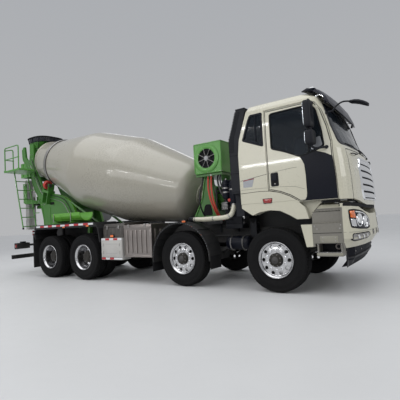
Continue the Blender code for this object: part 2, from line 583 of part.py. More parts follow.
for tag, s in SIDES:
    ys = lambda a, b: sorted((s * a, s * b))
    outer = arc((AXLES[1], 0.56), 0.70, -4, 188, 14)
    inner = arc((AXLES[1], 0.56), 0.672, 188, -4, 14)
    guard = plate(outer + inner, "y", *ys(0.80, 1.235))
    stay = box((AXLES[1] - 0.03, AXLES[1] + 0.03), ys(RAIL_OUT, 0.84), (1.19, 1.25))
    stay = join(stay, box((AXLES[1] - 0.03, AXLES[1] + 0.03), ys(RAIL_OUT, RAIL_Y + 0.06), (1.00, 1.20)))
    node("mudguard_2_" + tag, join(guard, stay), "black")
    # long guard over the driven wheels
    line = [(-6.86, 1.00), (-6.90, 1.14), (-6.80, 1.37), (-4.40, 1.37), (-4.27, 1.22), (-4.22, 0.90),
            (-4.25, 0.90), (-4.30, 1.21), (-4.415, 1.345), (-6.785, 1.345), (-6.87, 1.14), (-6.83, 1.00)]
    guard = plate(line, "y", *ys(0.56, 1.235))
    rim = plate([(-6.88, 1.27), (-6.80, 1.37), (-4.40, 1.37), (-4.29, 1.27)], "y", *ys(1.215, 1.245))
    flap = box((-6.98, -6.955), ys(0.60, 1.22), (0.24, 1.13))
    flap2 = box((-6.98, -6.84), ys(0.60, 1.22), (1.06, 1.13))
    stays = [box((x - 0.03, x + 0.03), ys(0.47, 0.60), (1.30, 1.36)) for x in (-6.62, -4.55)]
    stays += [box((x - 0.03, x + 0.03), ys(0.471, 0.53), (0.985, 1.34)) for x in (-6.62, -4.55)]
    stays += [box((x - 0.031, x + 0.031), ys(RAIL_OUT, 0.525), (0.98, 1.055)) for x in (-6.62, -4.55)]
    node("rear_mudguard_" + tag, join(guard, rim, flap, flap2, *stays), "black")

# ---------------------------------------------------------- mixer's frame
SUB_Z = (RAIL_Z[1] + GAP, 1.25)
sub = [box((-8.02, -1.16), sorted((s * 0.335, s * 0.42)), SUB_Z) for _, s in SIDES]
sub += [box((x - 0.05, x + 0.05), (-0.34, 0.34), (1.10, 1.20)) for x in (-1.25, -2.3, -3.6, -5.0, -6.4, -7.9)]
node("mixer_subframe", join(*sub), "green")

tilt_rot = Matrix.Rotation(DRUM_TILT, 3, "Y")


def drum_point(s, r=0.0, ang=0.0):
    """Point at s along the drum's axis (towards the mouth) and r from it."""
    a = Vector((-math.cos(DRUM_TILT), 0, math.sin(DRUM_TILT)))
    up = Vector((math.sin(DRUM_TILT), 0, math.cos(DRUM_TILT)))
    return Vector(DRUM_O) + a * s + (up * math.cos(ang) + Vector((0, 1, 0)) * math.sin(ang)) * r


_a = Vector((-math.cos(DRUM_TILT), 0, math.sin(DRUM_TILT)))
DRUM_M = Matrix.Translation(DRUM_O) @ _a.to_track_quat("Z", "Y").to_matrix().to_4x4()
# drum: distance along the axis from the track ring, radius
DRUM = ((-5.18, 0.0), (-5.15, 0.42), (-5.00, 0.66), (-3.18, 1.085), (-1.62, 1.085), (-0.10, 0.73), (-0.045, RING_R),
        (0.045, RING_R), (0.10, 0.725), (0.60, 0.615), (0.765, 0.585))
inner = [(0.765, 0.555), (0.60, 0.585), (0.0, 0.700), (-1.62, 1.055), (-3.18, 1.055), (-4.98, 0.635), (-5.12, 0.0)]
drum = turned([(r, h) for h, r in DRUM] + [(r, h) for h, r in inner], closed=False, steps=30, matrix=DRUM_M)
flange = rod(drum_point(-5.30), drum_point(-5.14), 0.20, seg=20)
node("drum", join(drum, flange), "drum", DRUM_O)

# front pedestal with the gearbox that turns the drum
ped = []
for _, s in SIDES:
    y = sorted((s * 0.34, s * 0.41))
    ped.append(plate([(-2.16, 1.2506), (-1.50, 1.2506), (-1.54, 1.72), (-1.60, 2.1994), (-1.78, 2.1994), (-1.88, 1.72)], "y", *y))
ped.append(box((-1.86, -1.60), (-0.40, 0.40), (1.46, 1.64)))
ped.append(rod(drum_point(-5.86), drum_point(-5.32), 0.235, seg=18))
ped.append(box((-1.86, -1.62), (-0.36, 0.36), (1.60, 1.80)))
ped.append(box((-1.77, -1.16), (-0.74, 0.40), (2.15, 2.1994)))
node("front_pedestal", join(*ped), "green")

# rear pedestal: two side plates that rise in curved arms, with cross plates
REAR_ARM = ((-7.56, 1.2506), (-7.71, 1.80), (-7.87, 2.20), (-8.04, 2.46), (-8.20, 2.74), (-8.32, 3.05), (-8.60, 3.42),
            (-8.70, 3.55), (-8.73, 3.88), (-8.68, 3.95), (-8.60, 3.95), (-8.55, 3.60), (-8.44, 3.48), (-8.12, 3.48), (-8.03, 3.20), (-7.95, 3.00), (-7.80, 2.80), (-7.64, 2.50), (-7.45, 2.36),
            (-6.80, 2.24), (-6.36, 2.04), (-6.12, 1.70), (-5.98, 1.2506))
ped = []
for _, s in SIDES:
    y = sorted((s * 0.40, s * 0.46))
    ped.append(plate(REAR_ARM, "y", *y))
ped.append(box((-7.42, -6.20), (-0.43, 0.43), (1.2506, 1.30)))
ped.append(box((-7.50, -7.44), (-0.43, 0.43), (1.27, 2.05)))
ped.append(box((-7.82, -7.70), (-0.43, 0.43), (1.90, 2.12)))
ped.append(box((-8.64, -7.76), (-0.07, 0.07), (1.95, 2.0545)))
ped.append(box((-6.34, -6.28), (-0.43, 0.43), (1.27, 1.80)))
ped.append(box((-8.16, -8.08), (-0.43, 0.43), (2.80, 2.94)))
for _, s in SIDES:
    ped.append(tube([(-6.34, s * 0.43, 2.0), (-5.10, s * 0.39, 1.285)], 0.035))
# rollers under the track ring, with their axes along the drum's, in forks
ROLL_D = RING_R + ROLLER_R + 0.0055
for tag, s in SIDES:
    ang = math.pi - s * ROLLER_ANGLE
    c = drum_point(0, ROLL_D, ang)
    for d0, d1 in ((-0.125, -0.095), (0.095, 0.125)):
        ped.append(box((c.x - d1, c.x - d0), sorted((s * 0.40, c.y + s * 0.05)), (2.02, c.z + 0.05),
                       rot=tilt_rot, about=c))
    ped.append(box((c.x - 0.16, c.x + 0.16), sorted((s * 0.38, c.y + s * 0.06)), (c.z - ROLLER_R - 0.10, c.z - ROLLER_R - 0.03),
                   rot=tilt_rot, about=c))
node("rear_pedestal", join(*ped), "green")
for tag, s in SIDES:
    ang = math.pi - s * ROLLER_ANGLE
    roller = rod(drum_point(-0.055, ROLL_D, ang), drum_point(0.055, ROLL_D, ang), ROLLER_R, seg=20)
    pin = rod(drum_point(-0.088, ROLL_D, ang), drum_point(0.088, ROLL_D, ang), 0.045, seg=10)
    node("roller_" + tag, join(roller, pin), "red", tuple(drum_point(0, ROLL_D, ang)))

# hopper: a funnel that leans into the drum's mouth, open above and below
HOP = ((4.19, -8.62, -7.66, 0.47), (4.035, -8.58, -7.70, 0.45), (3.84, -8.46, -7.97, 0.35), (3.45, -8.12, -7.72, 0.20))


def funnel(inset, z_top, z_low):
    rings = []
    for i, (z, x0, x1, w) in enumerate(HOP):
        z = z_top if i == 0 else z_low if i == len(HOP) - 1 else z
        c, hx, hy = (x0 + x1) / 2, (x1 - x0) / 2 - inset, w - inset
        rings.append([(c + hx * math.copysign(abs(math.cos(t)) ** 0.7, math.cos(t)),
                       hy * math.copysign(abs(math.sin(t)) ** 0.7, math.sin(t)), z)
                      for t in [math.tau * (k + 0.5) / 16 for k in range(16)]])
    return loft(rings)


hopper = funnel(0.0, HOP[0][0], HOP[-1][0])
for _, s in SIDES:
    y = sorted((s * 0.36, s * 0.43))
    hopper = join(hopper, plate([(-8.40, 3.4815), (-8.15, 3.4815), (-8.14, 3.70), (-8.14, 4.00), (-8.36, 4.00), (-8.36, 3.70)], "y", *y))
hopper = cut(hopper, funnel(0.02, HOP[0][0] + 0.05, HOP[-1][0] - 0.05))
node("hopper", hopper, "black")

# trough under the drum's mouth: two slanted walls and a back that lead to the chute
trough = cut(plate([(-8.98, 2.98), (-8.98, 3.44), (-8.12, 3.44), (-7.93, 3.10), (-8.45, 2.98)], "y", -0.385, 0.385),
             plate([(-8.95, 2.90), (-8.95, 3.60), (-8.14, 3.60), (-8.00, 3.36), (-7.90, 3.13), (-8.10, 3.085), (-8.46, 3.01), (-8.46, 2.90)],
                   "y", -0.355, 0.355))
node("discharge_trough", trough, "green")

# chute: a post on the frame's end, an arm that swings on it and the half-pipe
POST = (SWIVEL[0], SWIVEL[1])
CH_DIR = Vector((-0.68, -0.73, 0)).normalized()
CH_SIDE = Vector((-CH_DIR.y, CH_DIR.x, 0))
CH_OFF = 0.36
CH_R = 0.235
CH_LEN = 1.60
HINGE_Z = 2.70
base = Vector((POST[0], POST[1], 0))
mast = rod(base + Vector((0, 0, 2.06)), base + Vector((0, 0, 2.34)), 0.085, seg=14)
yaw = math.atan2(CH_DIR.y, CH_DIR.x)
rotz = Matrix.Rotation(yaw, 3, "Z")


swivel = [mast]
ARM = ((-0.05, 2.10), (-0.05, 2.20), (CH_OFF - 0.05, 2.24), (CH_OFF - 0.05, HINGE_Z + 0.05), (CH_OFF + 0.05, HINGE_Z + 0.05),
       (CH_OFF + 0.05, 2.14), (CH_OFF, 2.10))
for sy in (-1, 1):
    a = plate(ARM, "y", *sorted((sy * (CH_R + 0.035), sy * (CH_R + 0.075))))
    a.data.transform(Matrix.Translation(base) @ rotz.to_4x4())
    swivel.append(a)
bar = box((-0.04, 0.06), (-CH_R - 0.055, CH_R + 0.055), (2.11, 2.19))
bar.data.transform(Matrix.Translation(base) @ rotz.to_4x4())
swivel.append(bar)
node("chute_swivel", join(*swivel), "green", (POST[0], POST[1], 2.2))
half = [(CH_R * math.cos(math.radians(a)), CH_R * math.sin(math.radians(a))) for a in range(90, 271, 20)]
half_in = [((CH_R - 0.018) * math.cos(math.radians(a)), (CH_R - 0.018) * math.sin(math.radians(a))) for a in range(270, 89, -20)]
pipe = plate(half + half_in, "z", HINGE_Z - CH_LEN + 0.18, HINGE_Z + 0.18)
pipe = join(pipe, box((-0.04, 0.04), (CH_R - 0.014, CH_R + 0.028), (HINGE_Z - 0.04, HINGE_Z + 0.04)),
            box((-0.04, 0.04), (-CH_R - 0.028, -CH_R + 0.014), (HINGE_Z - 0.04, HINGE_Z + 0.04)))
pipe.data.transform(Matrix.Translation(base + CH_DIR * CH_OFF) @ rotz.to_4x4())
hinge = base + CH_DIR * CH_OFF
node("main_chute", pipe, "grey", (hinge.x, hinge.y, HINGE_Z))

# platform, its rails and the ladder below it
deck = plate([(-8.46, -1.20), (-7.62, -1.20), (-7.62, -0.74), (-8.05, -0.4615), (-8.46, -0.4615)], "z", 3.03, 3.08)
X0, X1, Y0, Y1 = -8.43, -7.68, -1.18, -0.93
rail1 = tube(rounded([(X0, Y0, 3.06), (X0, Y0, 3.77), (X1, Y0, 3.77), (X1, Y0, 3.06)], 0.06, 2), 0.017)
rail2 = tube(rounded([(X0, Y0, 3.70), (X0, Y1, 3.77), (X0, Y1, 3.06)], 0.06, 2), 0.017)
mid1 = tube([(X0, Y0, 3.42), (X1, Y0, 3.42)], 0.015)
mid2 = tube([(X0, Y0, 3.42), (X0, Y1, 3.42)], 0.015)
LT, LB = Vector((-8.43, 0, 3.04)), Vector((-8.02, 0, 1.30))
stiles = [tube([(LT.x, y, LT.z), (LB.x, y, LB.z)], 0.020) for y in (-0.90, -0.48)]
rungs = []
for k in range(6):
    p = LT.lerp(LB, (k + 0.9) / 6.2)
    rungs.append(tube([(p.x, -0.90, p.z), (p.x, -0.48, p.z)], 0.014))
hold = box((-8.16, -8.02), (-0.50, -0.4615), (2.90, 3.05))
node("platform", join(deck, rail1, rail2, mid1, mid2, *stiles, *rungs, hold), "green")

# cooler over the front pedestal, with its fan facing the right side
CX, CY, CZ = (-1.76, -1.12), (-0.80, -0.10), (2.20, 2.82)
FAN = (-1.46, 2.50)
cool = box(CX, CY, CZ)
cool = cut(cool, rod((FAN[0], -1.0, FAN[1]), (FAN[0], CY[0] + 0.14, FAN[1]), 0.255, seg=24))
node("cooler_box", cool, "green")
bladed = [rod((FAN[0], CY[0] + 0.02, FAN[1]), (FAN[0], CY[0] + 0.133, FAN[1]), 0.07, seg=16)]
for k in range(6):
    a = math.tau * k / 6
    r = Matrix.Rotation(a, 3, "Y") @ Matrix.Rotation(math.radians(28), 3, "Z")
    bl = box((-0.045, 0.045), (-0.008, 0.008), (0.05, 0.235))
    bl.data.transform(Matrix.Translation((FAN[0], CY[0] + 0.075, FAN[1])) @ r.to_4x4())
    bladed.append(bl)
node("cooler_fan", join(*bladed), "black", (FAN[0], CY[0] + 0.07, FAN[1]))

# water tank on the far side, extension chute stowed on the near side
tankw = rod((-7.12, 0.86, 1.66), (-6.36, 0.86, 1.66), 0.24, seg=20)
feet = [box((x - 0.04, x + 0.04), (0.4606, 0.95), (1.376, 1.46)) for x in (-6.98, -6.50)]
node("water_tank", join(tankw, *feet), "grey")
ext = [(0.21 * math.cos(math.radians(a)), 0.21 * math.sin(math.radians(a))) for a in range(180, 361, 20)]
ext_in = [(0.195 * math.cos(math.radians(a)), 0.195 * math.sin(math.radians(a))) for a in range(360, 179, -20)]
extp = plate([(x, y) for x, y in ext + ext_in], "x", -6.30, -5.15)
extp.data.transform(Matrix.Translation((0, -0.86, 1.64)))
brk = [box((-6.25, -6.19), (-0.88, -0.4606), (1.376, 1.45)), box((-5.53, -5.47), (-0.88, -0.45), (1.376, 1.45)),
       box((-5.54, -5.46), (-0.52, -0.4206), (1.10, 1.44))]
node("extension_chute", join(extp, *brk), "lime")

for o in list(TOOLS.objects):
    o.hide_render = True
    o.display_type = "WIRE"
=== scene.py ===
"""Looks of an eight-by-four concrete mixer truck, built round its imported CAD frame.

Stations along the truck are measured from the first axle, as in the CAD source;
X0 is the station's offset in the frame.  Metres, +X ahead, +Y left, +Z up.
"""

import math

import bmesh
import bpy
from mathutils import Matrix, Vector, noise
from mathutils.bvhtree import BVHTree


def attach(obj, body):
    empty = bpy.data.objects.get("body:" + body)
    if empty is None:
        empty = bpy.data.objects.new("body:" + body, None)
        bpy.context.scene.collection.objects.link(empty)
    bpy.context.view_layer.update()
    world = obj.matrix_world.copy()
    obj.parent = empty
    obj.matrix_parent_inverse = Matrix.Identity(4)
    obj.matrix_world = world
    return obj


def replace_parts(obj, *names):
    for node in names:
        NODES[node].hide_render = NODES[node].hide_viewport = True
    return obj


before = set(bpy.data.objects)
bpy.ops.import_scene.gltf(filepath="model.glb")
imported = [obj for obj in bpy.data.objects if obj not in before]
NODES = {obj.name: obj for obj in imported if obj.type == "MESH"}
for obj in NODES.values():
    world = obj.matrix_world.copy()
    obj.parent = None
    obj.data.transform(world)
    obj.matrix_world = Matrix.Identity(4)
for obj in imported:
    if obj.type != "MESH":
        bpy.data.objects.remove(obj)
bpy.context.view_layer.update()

X0 = 3.773
AXLES = (0.0, -1.93, -4.86, -6.21)
TYRE_R = 0.542
FRONT_TRACK, REAR_TRACK = 1.02, 0.92
SIDES = (("right", -1), ("left", 1))


def P(x, y, z):
    """A point of the truck in the frame, from its station."""
    return Vector((x + X0, y, z))


# ============================================================== materials
def mat_base(name):
    m = bpy.data.materials.new(name)
    m.use_nodes = True
    t = m.node_tree
    return m, t, t.nodes["Principled BSDF"]


def nd(t, kind, **kw):
    n = t.nodes.new(kind)
    for k, v in kw.items():
        if hasattr(n, k):
            setattr(n, k, v)
        else:
            n.inputs[k.replace("_", " ")].default_value = v
    return n


def math_node(t, op, a, b=None, c=None, clamp=False):
    n = t.nodes.new("ShaderNodeMath")
    n.operation = op
    n.use_clamp = clamp
    for i, v in enumerate((a, b, c)):
        if v is None:
            continue
        if isinstance(v, (int, float)):
            n.inputs[i].default_value = v
        else:
            t.links.new(v, n.inputs[i])
    return n.outputs[0]


def remap(t, v, a, b, c=0.0, d=1.0, smooth=True):
    n = t.nodes.new("ShaderNodeMapRange")
    n.interpolation_type = "SMOOTHSTEP" if smooth else "LINEAR"
    t.links.new(v, n.inputs["Value"])
    for k, x in (("From Min", a), ("From Max", b), ("To Min", c), ("To Max", d)):
        n.inputs[k].default_value = x
    return n.outputs[0]


def mix_rgb(t, fac, a, b, blend="MIX"):
    n = t.nodes.new("ShaderNodeMix")
    n.data_type = "RGBA"
    n.blend_type = blend
    for sock, v in ((n.inputs[0], fac), (n.inputs[6], a), (n.inputs[7], b)):
        if isinstance(v, (int, float)):
            sock.default_value = v
        elif isinstance(v, tuple):
            sock.default_value = (*v, 1.0)
        else:
            t.links.new(v, sock)
    return n.outputs[2]


def coords(t, scale=(1, 1, 1), rot=(0, 0, 0)):
    tc = t.nodes.new("ShaderNodeTexCoord")
    mp = t.nodes.new("ShaderNodeMapping")
    mp.inputs["Scale"].default_value = scale
    mp.inputs["Rotation"].default_value = rot
    t.links.new(tc.outputs["Object"], mp.inputs["Vector"])
    return mp.outputs["Vector"], tc.outputs["Object"]


def noise_tex(t, vec, scale, detail=4.0, rough=0.55, distortion=0.0):
    n = t.nodes.new("ShaderNodeTexNoise")
    n.inputs["Scale"].default_value = scale
    n.inputs["Detail"].default_value = detail
    n.inputs["Roughness"].default_value = rough
    n.inputs["Distortion"].default_value = distortion
    t.links.new(vec, n.inputs["Vector"])
    return n.outputs["Fac"]


def scaled(rgb, k):
    return tuple(min(1.0, c * k) for c in rgb)


def finish_mat(name, rgb, rough=0.4, metal=0.0, coat=0.0, coat_rough=0.05, var=0.08, big=1.3, fine=28.0, rvar=0.10,
               bump=0.0, bump_scale=260.0, bump_dist=0.001, dust=0.0, dust_rgb=(0.30, 0.28, 0.25), dust_top=1.9,
               wear=0.0, wear_rgb=(0.35, 0.34, 0.32), wear_r=0.006, stretch=(1, 1, 1), spec=0.5, aniso=0.0, sheen=0.0,
               soft_edge=0.0, streak=0.0, zones=()):
    """A surface of one finish: mottled colour, uneven gloss, grain, dust that thins with height and worn edges."""
    m, t, b = mat_base(name)
    vec, raw = coords(t, stretch)
    n1 = noise_tex(t, vec, big, 5.0)
    n2 = noise_tex(t, vec, fine, 4.0, 0.6)
    f = math_node(t, "ADD", math_node(t, "MULTIPLY", n1, 0.6), math_node(t, "MULTIPLY", n2, 0.4))
    col = mix_rgb(t, remap(t, f, 0.3, 0.7), scaled(rgb, 1 - var), scaled(rgb, 1 + var))
    rough_v = remap(t, f, 0.3, 0.7, max(0.02, rough - rvar * 0.5), min(1.0, rough + rvar * 0.5))
    if streak:
        sv, _ = coords(t, (9, 9, 0.7))
        s = remap(t, noise_tex(t, sv, 1.6, 3.0), 0.56, 0.74, 0.0, streak)
        col = mix_rgb(t, s, col, scaled(rgb, 0.6))
    clean = None
    for lo, hi, z_rgb, z_rough in zones:
        # a region in its own colour and gloss, used for another finish and also for painted shade: |y| and z between
        # limits, x below one
        zs = t.nodes.new("ShaderNodeSeparateXYZ")
        t.links.new(raw, zs.inputs[0])
        mask = None
        for v, from_, to_ in ((zs.outputs[0], lo[0], hi[0]), (math_node(t, "ABSOLUTE", zs.outputs[1]), lo[1], hi[1]), (zs.outputs[2], lo[2], hi[2])):
            for edge, sgn in ((from_, 1), (to_, -1)):
                if abs(edge) < 90:
                    q = remap(t, v, edge - 0.001 * sgn, edge + 0.001 * sgn, 0.0, 1.0, smooth=False)
                    mask = q if mask is None else math_node(t, "MULTIPLY", mask, q)
        col = mix_rgb(t, mask, col, mix_rgb(t, remap(t, f, 0.3, 0.7), scaled(z_rgb, 0.9), scaled(z_rgb, 1.1)))
        rough_v = math_node(t, "ADD", math_node(t, "MULTIPLY", rough_v, math_node(t, "SUBTRACT", 1.0, mask)), math_node(t, "MULTIPLY", mask, z_rough))
        clean = mask if clean is None else math_node(t, "MAXIMUM", clean, mask)
    if dust:
        sep = t.nodes.new("ShaderNodeSeparateXYZ")
        t.links.new(raw, sep.inputs[0])
        low = remap(t, sep.outputs[2], 0.15, dust_top, 1.0, 0.0, smooth=False)
        patch = remap(t, noise_tex(t, vec, 4.0, 6.0, 0.65), 0.35, 0.75)
        d = math_node(t, "MULTIPLY", math_node(t, "MULTIPLY", low, patch), dust, clamp=True)
        if clean is not None:
            d = math_node(t, "MULTIPLY", d, math_node(t, "SUBTRACT", 1.0, math_node(t, "MULTIPLY", clean, 0.85)))
        col = mix_rgb(t, d, col, dust_rgb)
        rough_v = math_node(t, "ADD", rough_v, math_node(t, "MULTIPLY", d, 0.45), clamp=True)
    if wear or soft_edge:
        bev = t.nodes.new("ShaderNodeBevel")
        bev.samples = 4
        bev.inputs["Radius"].default_value = max(wear_r, soft_edge)
    if wear:
        geo = t.nodes.new("ShaderNodeNewGeometry")
        dot = t.nodes.new("ShaderNodeVectorMath")
        dot.operation = "DOT_PRODUCT"
        t.links.new(bev.outputs[0], dot.inputs[0])
        t.links.new(geo.outputs["Normal"], dot.inputs[1])
        edge = remap(t, dot.outputs["Value"], 0.995, 0.90)
        chip = remap(t, noise_tex(t, vec, 38.0, 5.0, 0.7), 0.48, 0.62)
        w = math_node(t, "MULTIPLY", math_node(t, "MULTIPLY", edge, chip), wear, clamp=True)
        col = mix_rgb(t, w, col, wear_rgb)
        rough_v = math_node(t, "ADD", rough_v, math_node(t, "MULTIPLY", w, 0.2), clamp=True)
    t.links.new(col, b.inputs["Base Color"])
    t.links.new(rough_v, b.inputs["Roughness"])
    b.inputs["Metallic"].default_value = metal
    b.inputs["Specular IOR Level"].default_value = spec
    b.inputs["Coat Weight"].default_value = coat
    b.inputs["Coat Roughness"].default_value = coat_rough
    b.inputs["Anisotropic"].default_value = aniso
    b.inputs["Sheen Weight"].default_value = sheen
    if bump:
        bp = t.nodes.new("ShaderNodeBump")
        bp.inputs["Strength"].default_value = bump
        bp.inputs["Distance"].default_value = bump_dist
        t.links.new(noise_tex(t, vec, bump_scale, 3.0), bp.inputs["Height"])
        if soft_edge or wear:
            t.links.new(bev.outputs[0], bp.inputs["Normal"])
        t.links.new(bp.outputs[0], b.inputs["Normal"])
    return m


def lens_mat(name, rgb, ribs=90.0, rough=0.12, emit=0.0, transmission=0.0):
    """A moulded lamp lens: deep colour behind a ribbed clear face."""
    m, t, b = mat_base(name)
    vec, _ = coords(t)
    w = t.nodes.new("ShaderNodeTexWave")
    w.inputs["Scale"].default_value = ribs
    w.inputs["Distortion"].default_value = 0.3
    t.links.new(vec, w.inputs["Vector"])
    n = noise_tex(t, vec, 14.0, 3.0)
    col = mix_rgb(t, remap(t, n, 0.35, 0.65), scaled(rgb, 0.75), scaled(rgb, 1.25))
    t.links.new(col, b.inputs["Base Color"])
    t.links.new(remap(t, n, 0.3, 0.7, rough * 0.6, rough * 1.4), b.inputs["Roughness"])
    bp = t.nodes.new("ShaderNodeBump")
    bp.inputs["Strength"].default_value = 0.35
    bp.inputs["Distance"].default_value = 0.002
    t.links.new(w.outputs["Fac"], bp.inputs["Height"])
    t.links.new(bp.outputs[0], b.inputs["Normal"])
    b.inputs["Coat Weight"].default_value = 1.0
    b.inputs["Coat Roughness"].default_value = 0.04
    b.inputs["Transmission Weight"].default_value = transmission
    if emit:
        b.inputs["Emission Color"].default_value = (*rgb, 1.0)
        b.inputs["Emission Strength"].default_value = emit
    return m


def glass_mat(name, rgb, transmission=0.9, rough=0.02, ior=1.25):
    m, t, b = mat_base(name)
    vec, raw = coords(t)
    n = noise_tex(t, vec, 2.2, 5.0)
    col = mix_rgb(t, remap(t, n, 0.3, 0.7), scaled(rgb, 0.85), scaled(rgb, 1.12))
    t.links.new(col, b.inputs["Base Color"])
    smear = remap(t, noise_tex(t, vec, 9.0, 6.0, 0.7), 0.52, 0.8, rough, rough + 0.10)
    t.links.new(smear, b.inputs["Roughness"])
    b.inputs["Transmission Weight"].default_value = transmission
    b.inputs["IOR"].default_value = ior
    b.inputs["Specular IOR Level"].default_value = 0.5
    return m


GREIGE = (0.560, 0.538, 0.428)
M = {}
M["greige"] = finish_mat("cab_paint", GREIGE, 0.30, coat=0.7, coat_rough=0.04, var=0.030, big=0.7, rvar=0.08, bump=0.04,
                         bump_scale=420.0, dust=0.35, dust_top=1.6, soft_edge=0.006)
# bumper: its first zone paints the step panels (x 0.662 to 1.1175, |y| over 0.90, below z 1.345) a darker greige as
# painted shade of their recesses; the other two zones are the black apron
M["bumper"] = finish_mat("bumper_paint", GREIGE, 0.34, coat=0.12, coat_rough=0.05, var=0.030, big=0.7, rvar=0.08, bump=0.04,
                         bump_scale=420.0, dust=0.35, dust_top=1.6, soft_edge=0.006,
                         zones=(((0.662 + X0, 0.90, -99), (1.1175 + X0, 99, 1.345), (0.190, 0.180, 0.156), 0.5),
                                ((0.90 + X0, -99, -99), (99, 0.996, 0.7335), (0.0085, 0.0090, 0.0130), 0.55),
                                ((1.04 + X0, -99, -99), (99, 1.03, 0.665), (0.0085, 0.0090, 0.0130), 0.55)), spec=0.35)
# a darker copy of the cab greige: painted shade for the steps in their recesses and for pressed lines and joints, with
# real dust and wear on it
M["greige_shade"] = finish_mat("greige_painted_shade", scaled(GREIGE, 0.46), 0.45, coat=0.15, var=0.06, rvar=0.15, bump=0.08,
                              dust=0.5, dust_top=1.5, wear=0.5, soft_edge=0.006)
M["drum"] = finish_mat("drum_paint", (0.335, 0.318, 0.266), 0.30, coat=0.6, coat_rough=0.03, var=0.040, big=0.5, rvar=0.10,
                       bump=0.06, bump_scale=3.0, bump_dist=0.004, streak=0.10)
M["green"] = finish_mat("green_paint", (0.070, 0.255, 0.034), 0.38, coat=0.35, coat_rough=0.12, var=0.10, rvar=0.14, bump=0.08,
                        bump_scale=140.0, dust=0.25, wear=0.55, wear_rgb=(0.22, 0.21, 0.18), soft_edge=0.006)
# pedestal paint; below z 1.300 the pedestals are painted near-black as painted shade where they sit behind the guards
M["deep_green"] = finish_mat("deep_green_paint", (0.047, 0.175, 0.024), 0.38, coat=0.35, coat_rough=0.12, var=0.12, rvar=0.14, bump=0.08,
                             soft_edge=0.008, dust=0.25, zones=(((-99, -99, -99), (99, 99, 1.300), (0.014, 0.014, 0.015), 0.5),))
M["funnel"] = finish_mat("funnel_paint", (0.0085, 0.010, 0.017), 0.26, coat=0.2, var=0.12, rvar=0.10, bump=0.05, soft_edge=0.005, spec=0.3,
                         zones=(((-99, -99, -99), (99, 99, 4.020), (0.055, 0.190, 0.028), 0.42),))
M["lime"] = finish_mat("lime_paint", (0.125, 0.400, 0.035), 0.36, coat=0.4, coat_rough=0.10, var=0.10, rvar=0.12, bump=0.08,
                       dust=0.2, wear=0.5, soft_edge=0.005)
M["black"] = finish_mat("black_plastic", (0.0115, 0.0125, 0.0165), 0.50, var=0.15, rvar=0.12, bump=0.22, bump_scale=520.0,
                        bump_dist=0.0006, dust=0.25, dust_rgb=(0.05, 0.049, 0.048), soft_edge=0.006, spec=0.20)
M["gloss_black"] = finish_mat("black_enamel", (0.0060, 0.0070, 0.0125), 0.32, coat=0.0, var=0.12, rvar=0.08, bump=0.03, soft_edge=0.005, spec=0.14)
M["frame"] = finish_mat("frame_enamel", (0.017, 0.017, 0.018), 0.50, var=0.2, rvar=0.2, bump=0.14, bump_scale=90.0,
                        dust=0.55, dust_rgb=(0.12, 0.11, 0.10), dust_top=1.5, wear=0.5, wear_rgb=(0.12, 0.10, 0.085), soft_edge=0.005, spec=0.3)
M["steel"] = finish_mat("cast_steel", (0.050, 0.050, 0.052), 0.55, metal=0.4, var=0.2, rvar=0.2, bump=0.35, bump_scale=120.0,
                        dust=0.7, dust_rgb=(0.13, 0.12, 0.11), dust_top=1.4, wear=0.5, soft_edge=0.006)
M["bare_steel"] = finish_mat("bare_steel", (0.34, 0.33, 0.32), 0.38, metal=0.9, var=0.15, rvar=0.2, bump=0.12, bump_scale=180.0,
                             dust=0.3)
M["rubber"] = finish_mat("tyre_rubber", (0.0065, 0.0065, 0.007), 0.75, var=0.18, rvar=0.14, bump=0.25, bump_scale=340.0,
                         dust=0.40, dust_rgb=(0.022, 0.021, 0.020), dust_top=0.9, spec=0.15)
M["aluminium"] = finish_mat("polished_alloy", (0.56, 0.56, 0.57), 0.20, metal=1.0, var=0.10, rvar=0.12, bump=0.05, bump_scale=90.0,
                            aniso=0.35, dust=0.10, dust_top=1.2)
# front rims: everything behind the disc face (|y| under 1.112) is painted near-black, painted shade in the rim's well
# and behind the hand holes
M["alloy_front"] = finish_mat("polished_alloy_front", (0.56, 0.56, 0.57), 0.20, metal=1.0, var=0.10, rvar=0.12, bump=0.05, bump_scale=90.0,
                              aniso=0.35, dust=0.10, dust_top=1.2, zones=(((-99, -99, -99), (99, 1.112, 99), (0.030, 0.029, 0.028), 0.6),))
M["chrome"] = finish_mat("chrome", (0.84, 0.85, 0.87), 0.08, metal=1.0, var=0.03, rvar=0.06, bump=0.02, bump_scale=60.0)
M["stainless"] = finish_mat("stainless_sheet", (0.335, 0.302, 0.285), 0.32, metal=1.0, var=0.07, rvar=0.14, bump=0.06,
                            bump_scale=40.0, stretch=(1, 1, 7), aniso=0.4, dust=0.25, soft_edge=0.010)
M["galvanised"] = finish_mat("galvanised_sheet", (0.50, 0.49, 0.48), 0.38, metal=0.45, var=0.16, big=5.0, fine=45.0, rvar=0.2,
                             bump=0.10, bump_scale=60.0, streak=0.35)
M["cover_grey"] = finish_mat("cover_sheet", (0.040, 0.035, 0.031), 0.45, coat=0.1, var=0.12, rvar=0.15, bump=0.12, dust=0.3, soft_edge=0.006)
M["grey"] = finish_mat("grey_paint", (0.30, 0.30, 0.31), 0.42, coat=0.2, var=0.08, rvar=0.12, bump=0.08, dust=0.25, soft_edge=0.006)
M["white"] = finish_mat("white_sheet", (0.46, 0.45, 0.43), 0.40, coat=0.2, var=0.07, rvar=0.15, bump=0.06, dust=0.45, dust_top=1.4,
                        soft_edge=0.006)
M["red"] = finish_mat("red_rubber", (0.40, 0.030, 0.022), 0.45, var=0.15, rvar=0.2, bump=0.15, bump_scale=200.0)
M["hose_red"] = finish_mat("orange_red_hose", (0.46, 0.050, 0.028), 0.50, var=0.12, rvar=0.15, bump=0.25, bump_scale=300.0)
